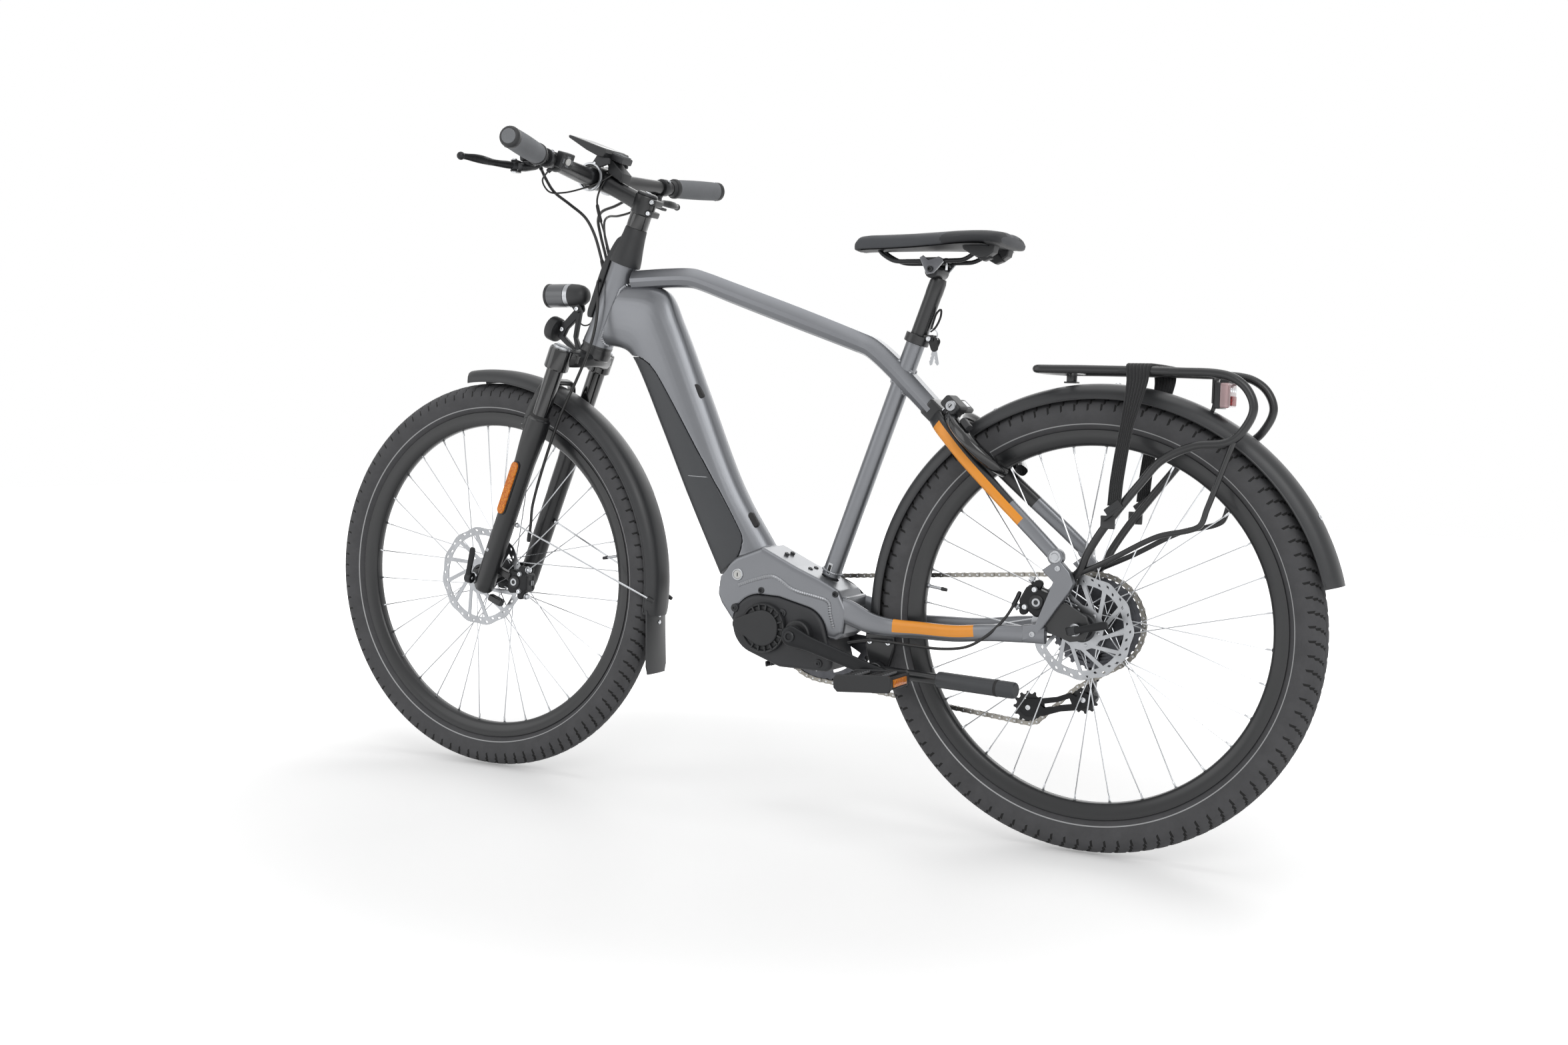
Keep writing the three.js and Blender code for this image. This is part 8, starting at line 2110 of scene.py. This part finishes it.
def ring_lock():
    shape = Shape()
    arms = arc_points(35, 325, 120)
    sections = []
    for i in range(120):
        share = i / 119
        wide = 12.4 + 2.8 * math.exp(-((share - 0.5) / 0.16) ** 2) - 2.2 * max(0,
            abs(share - 0.5) - 0.44) / 0.06
        high = 9.8 + 2.6 * math.exp(-((share - 0.5) / 0.2) ** 2) - 1.8 * max(0,
            abs(share - 0.5) - 0.42) / 0.08
        sections.append(SOFT_BOX[:, ::-1] * [wide, high])
    shape.add(sweep(arms, sections, ALONG_Z), "gloss")
    shape.add(moved(box((32, 40, 20), (0, 0, 0), 6, None, 5), (74, 35, 14)), "plastic")
    shape.add(box((26, 46, 13), (74, -2, 11.5), 5, None, 4), "plastic")
    shape.add(box((13, 24, 1.6), (74, -2, 18.2), 0.7, None, 2), "silver")
    shape.add(lathe([(0, 3.2), (3.4, 3.2), (3.8, 4.4), (7.6, 4.4), (8.4, 3), (8.6, 0), (0, 0)],
        (72, 53.6, 15), ALONG_Y, 36), "silver")
    shape.add(box((1.2, 2, 6), (72, 57.4, 15), 0.3), "rubber")
    for y in (-1, 1):
        shape.add(box((18, 9, 8), (76, y * 20, -7), 2, None, 3), "plastic")
        shape.add(hex_bolt((86.4, y * 20, -7), ALONG_X, 3.6, 2), "steel")
    shape.make("ring_lock_housing", "frame", L, ("ring_lock_case",), 32, "black_plastic")
    bar = Shape()
    bar.add(tube(arc_points(36, 121, 46), 3.9, 18), "steel")
    tip = arc_points(111, 121, 8, 70)
    bar.add(sweep([(x, y, 9) for x, y, _ in tip], SOFT_BOX[:, ::-1] * [3.6, 5], ALONG_Z), "plastic")
    lug = arc_points(107, 121, 10, 73)
    bar.add(sweep([(x, y, 15.2) for x, y, _ in lug], SOFT_BOX[:, ::-1] * [7.4, 5.4], ALONG_Z), "plastic")
    bar.make("ring_lock_bolt", "lock_shackle", L, ("ring_lock_shackle",), 32, "steel")


# Drivetrain

GUIDE_AT, TENSION_AT, HANGER = (14, 231), (103, 210), (10, 0, 322)
RING, COG, GUIDE, TENSION = ((CRANK_X, CRANK_Z, 89, 1, -47), (0, R_TYRE, 76, 1, -26),
    (*GUIDE_AT, 22, -1, -26), (*TENSION_AT, 26, 1, -26))


def heading(a, b):
    rx, rz = b[0] - a[0], b[1] - a[1]
    return math.atan2(rz, rx) - math.asin((b[3] * b[2] - a[3] * a[2]) / math.hypot(rx, rz))


def on_wheel(w, angle):
    return (w[0] + w[3] * w[2] * math.sin(angle), w[4], w[1] - w[3] * w[2] * math.cos(angle))


def wrap(w, arriving, leaving, count=60):
    turn = leaving - arriving
    while turn * w[3] < 0:
        turn += 2 * math.pi * w[3]
    while abs(turn) > 2 * math.pi:
        turn -= 2 * math.pi * w[3]
    return [on_wheel(w, arriving + turn * t) for t in np.linspace(0, 1, count)]


def chain_path():
    up, drop, cage, low = heading(RING, COG), heading(COG, GUIDE), heading(GUIDE, TENSION), heading(TENSION,
        RING)
    upper = wrap(RING, low, up) + wrap(COG, up, drop)
    lower = wrap(GUIDE, drop, cage) + wrap(TENSION, cage, low)
    closed = upper + lower + [upper[0]]
    pts = np.array(closed, float)
    run = np.concatenate([[0], np.cumsum(np.linalg.norm(np.diff(pts, axis=0), axis=1))])
    count = int(round(run[-1] / 12.7 / 2)) * 2
    at = np.linspace(0, run[-1], count + 1)[:-1]
    line = np.stack([np.interp(at, run, pts[:, k]) for k in range(3)], axis=1)
    marks = [run[len(upper)], run[len(upper) + len(lower) - 1]]
    return line, at, marks


def link_plate(a, b, y, half, waist, thick):
    """One side plate between two pins, its ends round and its middle narrow."""
    mid, d = (a + b) / 2, b - a
    length = np.linalg.norm(d)
    f = d / length
    up = np.cross(ALONG_Y, f)
    up /= np.linalg.norm(up)
    outline = []
    for s in (1, -1):
        for t in np.radians(np.linspace(-68, 68, 7)):
            outline.append((s * (length / 2 + half * math.cos(t)), s * half * math.sin(t)))
        outline.append((0, s * waist))
    rings = [[mid + x * f + z * up + vec(0, y + o, 0) for x, z in outline] for o in (-thick / 2, thick / 2)]
    return loft(rings)


def chain_shape(line, picked, material="chain"):
    shape = Shape()
    n = len(line)
    for i in picked:
        a, b = line[i], line[(i + 1) % n]
        outer = i % 2 == 0
        for side in (1, -1):
            shape.add(link_plate(a, b, side * (3.3 if outer else 2.15), 4.1, 3.0, 0.9), material)
        shape.add(rod(a - [0, 3.9, 0], a + [0, 3.9, 0], 1.7, 1.7, 10, 0.3), "steel")
        shape.add(lathe([(0, -1.7), (3.6, -1.7), (3.6, 1.7), (0, 1.7)], a, ALONG_Y, 12), "cog")
    return shape


def chain():
    line, at, marks = chain_path()
    n = len(line)
    upper = [i for i in range(n) if at[i] < marks[0] - 3]
    caged = [i for i in range(n) if marks[0] - 3 <= at[i] < marks[1]]
    last = [i for i in range(n) if at[i] >= marks[1]]
    chain_shape(line, upper).make("chain_top_run", "frame", P, ("chain_upper",), 30, "chain_steel")
    chain_shape(line, caged).make("chain_on_pulleys", "derailleur_cage", P, (), 30, "chain_steel")
    low = chain_shape(line, last).make("chain_low_run", None, P, (), 30, "chain_steel", keep=False)
    a, b = line[last[0]], line[last[-1]]
    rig.blend(low, "derailleur_cage", "frame", P(*a), P(*(a + (b - a) * 0.95)))
    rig.replaces(low, "chain_lower")
    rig.slot(low, "chain_steel")


def derailleur():
    shape = Shape()
    shape.add(lathe([(0, -87), (7.6, -87), (9, -85.4), (9, -76), (8, -74.4), (0, -74.4)], HANGER, ALONG_Y,
        40), "alloy")
    shape.add(lathe([(0, -88.6), (2.4, -88.6), (2.6, -90), (5, -90), (5.6, -88.8), (5.8, -86.8), (0, -86.8)],
        HANGER, ALONG_Y, 32), "steel")
    rows = smooth_path([(10, -80, 316, 9, 7), (11, -79, 302, 10, 7.4), (13, -72, 284, 10.6, 7.6),
        (14, -62, 262, 11.4, 8.4), (14, -56, 247, 12, 9), (14, -52, 236, 12, 9.4)], 40)
    shape.add(bar_along(rows, SOFT_BOX, ALONG_X), "alloy")
    for dx in (-6, 7):
        link = smooth_path([(11 + dx, -84, 300), (13 + dx, -77, 280), (14 + dx, -66, 258)], 20)
        shape.add(tube(link, 2.4, 12), "cog")
        for p in (link[0], link[-1]):
            shape.add(rod(p - [0, 3.6, 0], p + [0, 3.6, 0], 4.4, 4.4, 20, 0.8), "alloy")
    shape.add(lathe([(0, -66), (10, -66), (12.6, -63), (13, -58), (13, -38), (11, -33.6), (0, -33.4)],
        (GUIDE_AT[0], 0, GUIDE_AT[1]), ALONG_Y, 44), "alloy")
    shape.add(lathe([(0, -69), (3, -69), (3.4, -67.6), (6, -67.6), (6.8, -65.8), (0, -65.8)],
        (GUIDE_AT[0], 0, GUIDE_AT[1]), ALONG_Y, 32), "steel")
    shape.add(box((16, 10, 7), (-1, -80, 312), 2, None, 3), "alloy")
    shape.add(rod((-10, -79, 313), (-3, -79, 313), 2.6, 2.6, 16), "steel")
    shape.make("derailleur_body_unit", "frame", P, ("derailleur_body",), 32, "black_alloy")

    cage = Shape()
    outline = [(GUIDE_AT[0] + 12 * math.cos(a), GUIDE_AT[1] + 12 * math.sin(a))
        for a in np.radians(np.linspace(20, 245, 18))]
    outline += [(24, 213.6), (50, 209), (78, 199)]
    outline += [(TENSION_AT[0] + 14.4 * math.cos(a), TENSION_AT[1] + 14.4 * math.sin(a))
        for a in np.radians(np.linspace(-120, 95, 18))]
    outline += [(86, 225), (60, 230), (36, 240)]
    window = [(32, 222), (52, 218), (78, 211.6), (84, 217), (58, 222.6), (36, 231)]
    cage.add(plate(outline, -32.2, -30.4, [window], 0.5, 2), "alloy")
    cage.add(plate(outline, -21.6, -19.8, [window], 0.5, 2), "alloy")
    for x, z in (GUIDE_AT, TENSION_AT):
        cage.add(rod((x, -32.6, z), (x, -19.6, z), 2.4, 2.4, 16), "steel")
        cage.add(hex_bolt((x, -20, z), ALONG_Y, 4.2, 1.8), "steel")
        cage.add(hex_bolt((x, -32, z), (0, -1, 0), 4.2, 1.6), "steel")
    cage.make("derailleur_cage_plates", "derailleur_cage", P, ("derailleur_cage",), 32, "black_alloy")
    for name, (x, z, r, n) in {"guide_pulley": (*GUIDE_AT, 20.4, 11),
        "tension_pulley": (*TENSION_AT, 24, 13)}.items():
        wheel = Shape()
        teeth = [(x + u, z + v) for u, v in toothed(r, n, 4.6, 0.24)]
        holes = [circle(x, z, 3.0, 20)] + [circle(x + r * 0.52 * math.cos(k * math.pi / 3),
            z + r * 0.52 * math.sin(k * math.pi / 3), r * 0.12, 12) for k in range(6)]
        wheel.add(plate(teeth, -27.4, -24.6, holes, 0.4, 2), "plastic")
        wheel.add(collar([(2.8, -28.8), (5, -28.8), (5, -23.2), (2.8, -23.2)], (x, 0, z), ALONG_Y, 24),
            "steel")
        wheel.make(f"{name}_wheel", name, P, (name,), 32, "black_plastic")


CRANK_LENGTH, CRANK_TURN, PEDAL_TILT = 176, math.radians(196.5), -4


def crank_end(side):
    return vec(CRANK_X + side * CRANK_LENGTH * math.cos(CRANK_TURN), 0,
        CRANK_Z + side * CRANK_LENGTH * math.sin(CRANK_TURN))


def crankset():
    shape = Shape()
    shape.add(rod(on_crank(-74), on_crank(74), 11.8, 11.8, 36), "steel")
    for side in (1, -1):
        tip = crank_end(side)
        d = (tip - on_crank(0)) / CRANK_LENGTH
        rows = smooth_path([(-14, 10, 5.4), (-9, 15, 6.2), (0, 16.8, 6.4), (12, 15.4, 6.2), (34, 12.4, 5.8),
            (90, 11.4, 5.4), (150, 10.8, 5.2), (176, 11.8, 5.6), (184, 9.6, 5), (187.4, 5, 4)], 70)
        path = [on_crank(side * 80.5) + s * d for s in rows[:, 0]]
        shape.add(sweep(path, [soft_section(0.55, 0.6) * [h, t] for h, t in rows[:, 1:]]), "alloy")
        shape.add(lathe([(0, 2.4), (4.6, 2.4), (5.4, 4), (7.6, 4), (9, 3), (9.4, 0), (0, 0)],
            on_crank(side * 86.2), (0, side, 0), 36), "alloy")
        shape.add(collar([(6.2, 0), (9.6, 0), (9.2, 1.2), (6.2, 1.2)], (tip[0], side * 86.6, tip[2]),
            (0, side, 0), 28), "silver")
        shape.add(rod(on_crank(side * 64), on_crank(side * 75), 16.2, 16.8, 36, 1), "alloy")
    c = (CRANK_X, CRANK_Z)
    teeth = [(c[0] + u, c[1] + v) for u, v in toothed(88.2, 44, 4.8, 0.26)]
    holes = [circle(*c, 22, 36)]
    for k in range(5):
        a0 = CRANK_TURN + (k + 0.5) * 2 * math.pi / 5
        arc = np.linspace(a0 - 0.42, a0 + 0.42, 9)
        holes.append([(c[0] + 76 * math.cos(a), c[1] + 76 * math.sin(a)) for a in arc]
            + [(c[0] + 50 * math.cos(a), c[1] + 50 * math.sin(a)) for a in arc[::-1]])
    shape.add(plate(teeth, -48.4, -45.6, holes, 0.5, 2), "cog")
    shape.add(collar([(89, -52.6), (92.4, -52.2), (92.4, -50.6), (89.6, -50), (78, -50), (78, -51.6)],
        on_crank(0), ALONG_Y, 96), "plastic")
    for k in range(5):
        a = CRANK_TURN + k * 2 * math.pi / 5
        d = vec(math.cos(a), 0, math.sin(a))
        arm = smooth_path([(*(on_crank(-60) + d * 12), 11, 4), (*(on_crank(-54) + d * 38), 8.6, 3.4),
            (*(on_crank(-51.6) + d * 66), 7, 2.6)], 20)
        across = np.cross(d, ALONG_Y)
        shape.add(sweep(arm[:, :3], [SOFT_BOX * [t, w] for w, t in arm[:, 3:]], across), "alloy")
        shape.add(hex_bolt(on_crank(-53) + d * 62, (0, -1, 0), 4.6, 2.6), "steel")
    shape.make("crankset_unit", "crankset", P, ("crankset",), 32, "black_alloy")


def pedals():
    for side, label in ((1, "left"), (-1, "right")):
        tip = crank_end(side)
        local = Shape()
        local.add(rod((0, 74.4, 0), (0, 166, 0), 5.4, 4.6, 24), "steel")
        local.add(collar([(5.2, 87.4), (8, 87.4), (8, 92), (5.2, 92)], ORIGIN, ALONG_Y, 6), "steel")
        local.add(lathe([(0, 92.6), (10, 92.6), (11.4, 95), (10.4, 130), (9.6, 165), (8, 169), (0, 169.6)],
            ORIGIN, ALONG_Y, 32), "plastic")
        end = [(-48, -8), (-44, -13.4), (42, -13.4), (48, -7), (48, 8), (43, 13.4), (-44, 13.4), (-48, 10)]
        local.add(plate(end, 93.4, 101, (), 1.6, 3), "plastic")
        local.add(plate(end, 163, 170.6, (), 1.6, 3), "plastic")
        for x in (-1, 1):
            local.add(box((8, 70, 19), (x * 43.5, 132, 0), 2.4, None, 3), "plastic")
            local.add(box((2.4, 50, 12), (x * 47.6, 132, 0), 0.8, None, 2), "amber")
            local.add(box((2.8, 56, 2), (x * 47.2, 132, 8), 0.6), "plastic")
            local.add(box((2.8, 56, 2), (x * 47.2, 132, -8), 0.6), "plastic")
            for z in (-1, 1):
                local.add(box((15, 62, 3.4), (x * 23, 132, z * 10.6), 1.2, None, 2), "grip")
            for k in range(7):
                local.add(box((13.6, 2, 1), (x * 23, 106 + 8.6 * k, 12.6), 0.4), "rubber")
        local.turn(PEDAL_TILT)
        if side < 0:
            local.mirror()
        local.verts = [local.verts[0] + tip]
        local.make(f"pedal_{label}_body", f"pedal_{label}", P, (f"pedal_{label}",), 32, "black_plastic")


# Stand, axles and quick releases

KICK_X, KICK_Z, KICK_LENGTH = 334, 256, 246


def kickstand():
    bracket = Shape()
    outline = smooth_path([(309.5, 313), (309.5, 292), (316, 268), (322, 254), (334, 248), (346, 254),
        (352, 268), (358.5, 292), (358.5, 313)], 40)
    bracket.add(plate([tuple(p) for p in outline], 33.6, 44.4, (), 2, 3), "black")
    for x in (318, 350):
        bracket.add(hex_bolt((x, 44.4, 301), ALONG_Y, 4.4, 3), "steel")
    bracket.make("kickstand_mount", "frame", P, ("kickstand_bracket",), 32, "black_alloy")
    leg = Shape()
    a = math.radians(181)

    def at(distance):
        return vec(KICK_X + distance * math.cos(a), 54 + 28 * distance / KICK_LENGTH,
            KICK_Z + distance * math.sin(a))
    leg.add(lathe([(0, 45.2), (12, 45.2), (13.4, 46.6), (13.4, 61.4), (12, 62.8), (0, 62.8)],
        (KICK_X, 0, KICK_Z), ALONG_Y, 44), "black")
    leg.add(lathe([(0, 2), (3, 2), (3.6, 3.6), (6, 3.6), (6.8, 2.6), (7, 0), (0, 0)], (KICK_X, 62.6, KICK_Z),
        ALONG_Y, 32), "steel")
    leg.add(rod(at(6), at(182), 8.9, 8.9, 32, 1), "black")
    sleeve = at(KICK_LENGTH) - at(112)
    length = np.linalg.norm(sleeve)
    direction = sleeve / length
    leg.add(lathe([(0, 0), (10.8, 0), (12.6, 1.6), (13, 4), (13, length - 6), (12.4, length - 2),
        (10.6, length), (0, length)], at(112), direction, 40), "battery")
    leg.add(collar([(13, length - 34), (13.5, length - 33), (13.5, length - 30), (13, length - 29)], at(112),
        direction, 40), "rubber")
    leg.make("kickstand_tube", "kickstand", P, ("kickstand_leg",), 32, "black_paint")


def release(name, body, node, origin, angle, place):
    """The lever along +X with its cam along Z, folding out towards +Y."""
    local = Shape()
    local.add(lathe([(0, -6.3), (8.6, -6.3), (9.8, -5.2), (9.8, 5.2), (8.6, 6.3), (0, 6.3)], (0, 10, 0),
        ALONG_Z, 40), "alloy")
    rows = smooth_path([(2, 15, 0, 3.4, 5.6), (14, 15.4, 0, 3.2, 5.2), (30, 14.6, 0, 2.6, 5.6),
        (44, 13.8, 0, 2.3, 6.2), (53, 13.6, 0, 2.2, 5.4), (55.8, 13.8, 0, 1.6, 3.6)], 30)
    local.add(bar_along(rows, soft_section(0.6, 0.5), ALONG_Z), "alloy")
    local.add(lathe([(0, 7.6), (2.6, 7.6), (3, 6.4), (0, 6.4)], (0, 10, 0), ALONG_Z, 20), "steel")
    local.add(lathe([(0, -0.1), (9, -0.1), (9.6, 1.2), (8, 3), (0, 3)], ORIGIN, ALONG_Y, 36), "silver")
    local.turn(angle, origin).make(name + "_lever", body, place, (node,), 32, "black_alloy")


def rear_axle():
    shape = Shape()
    shape.add(rod((0, -79, R_TYRE), (0, 82.4, R_TYRE), 5.8, 5.8, 28, 0.8), "steel")
    shape.add(lathe([(0, -84), (2.6, -84), (3, -82.4), (7.6, -82.4), (8.6, -81), (8.6, -75), (0, -75)],
        AXLE_R, ALONG_Y, 32), "alloy")
    shape.make("rear_axle_rod", "frame", P, ("rear_axle",), 32, "steel")


def frame_cables():
    """The brake hose along the left chain stay and the gear cable along the right one."""
    cord("rear_brake_hose", "frame", [(388, 48, 296), (352, 51, 303), (310, 58, 304), (262, 66, 303),
        (212, 74, 304), (170, 79, 312), (136, 80, 334), (112, 72, 362), (100, 62, 388),
        (97, 55, 400)], 4.6, ends=[(0.93, 1, 3.6, "alloy")], place=P, count=110)
    cord("gear_cable", "frame", [(388, -46, 296), (340, -54, 304), (280, -66, 308), (200, -78, 310),
        (120, -86, 314), (60, -89, 318), (30, -86, 316),
        (0, -80, 313)], 4.4, ends=[(0.94, 1, 3.2, "silver")], place=P, count=90)


seatpost()
saddle()
ring_lock()
chain()
derailleur()
crankset()
pedals()
kickstand()
release("front_release", "front_quick_release", "front_quick_release", (FORK_RAKE, 65.3, -FORK_DROP), 79, S)
release("rear_release", "rear_quick_release", "rear_quick_release", (0, 82.8, R_TYRE), 166, P)
rear_axle()
frame_cables()

size = {"cad": [list(v) for v in cad_box], "visual": [list(v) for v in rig.bounds()]}
with open("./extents.json", "w") as out:
    json.dump(size, out)
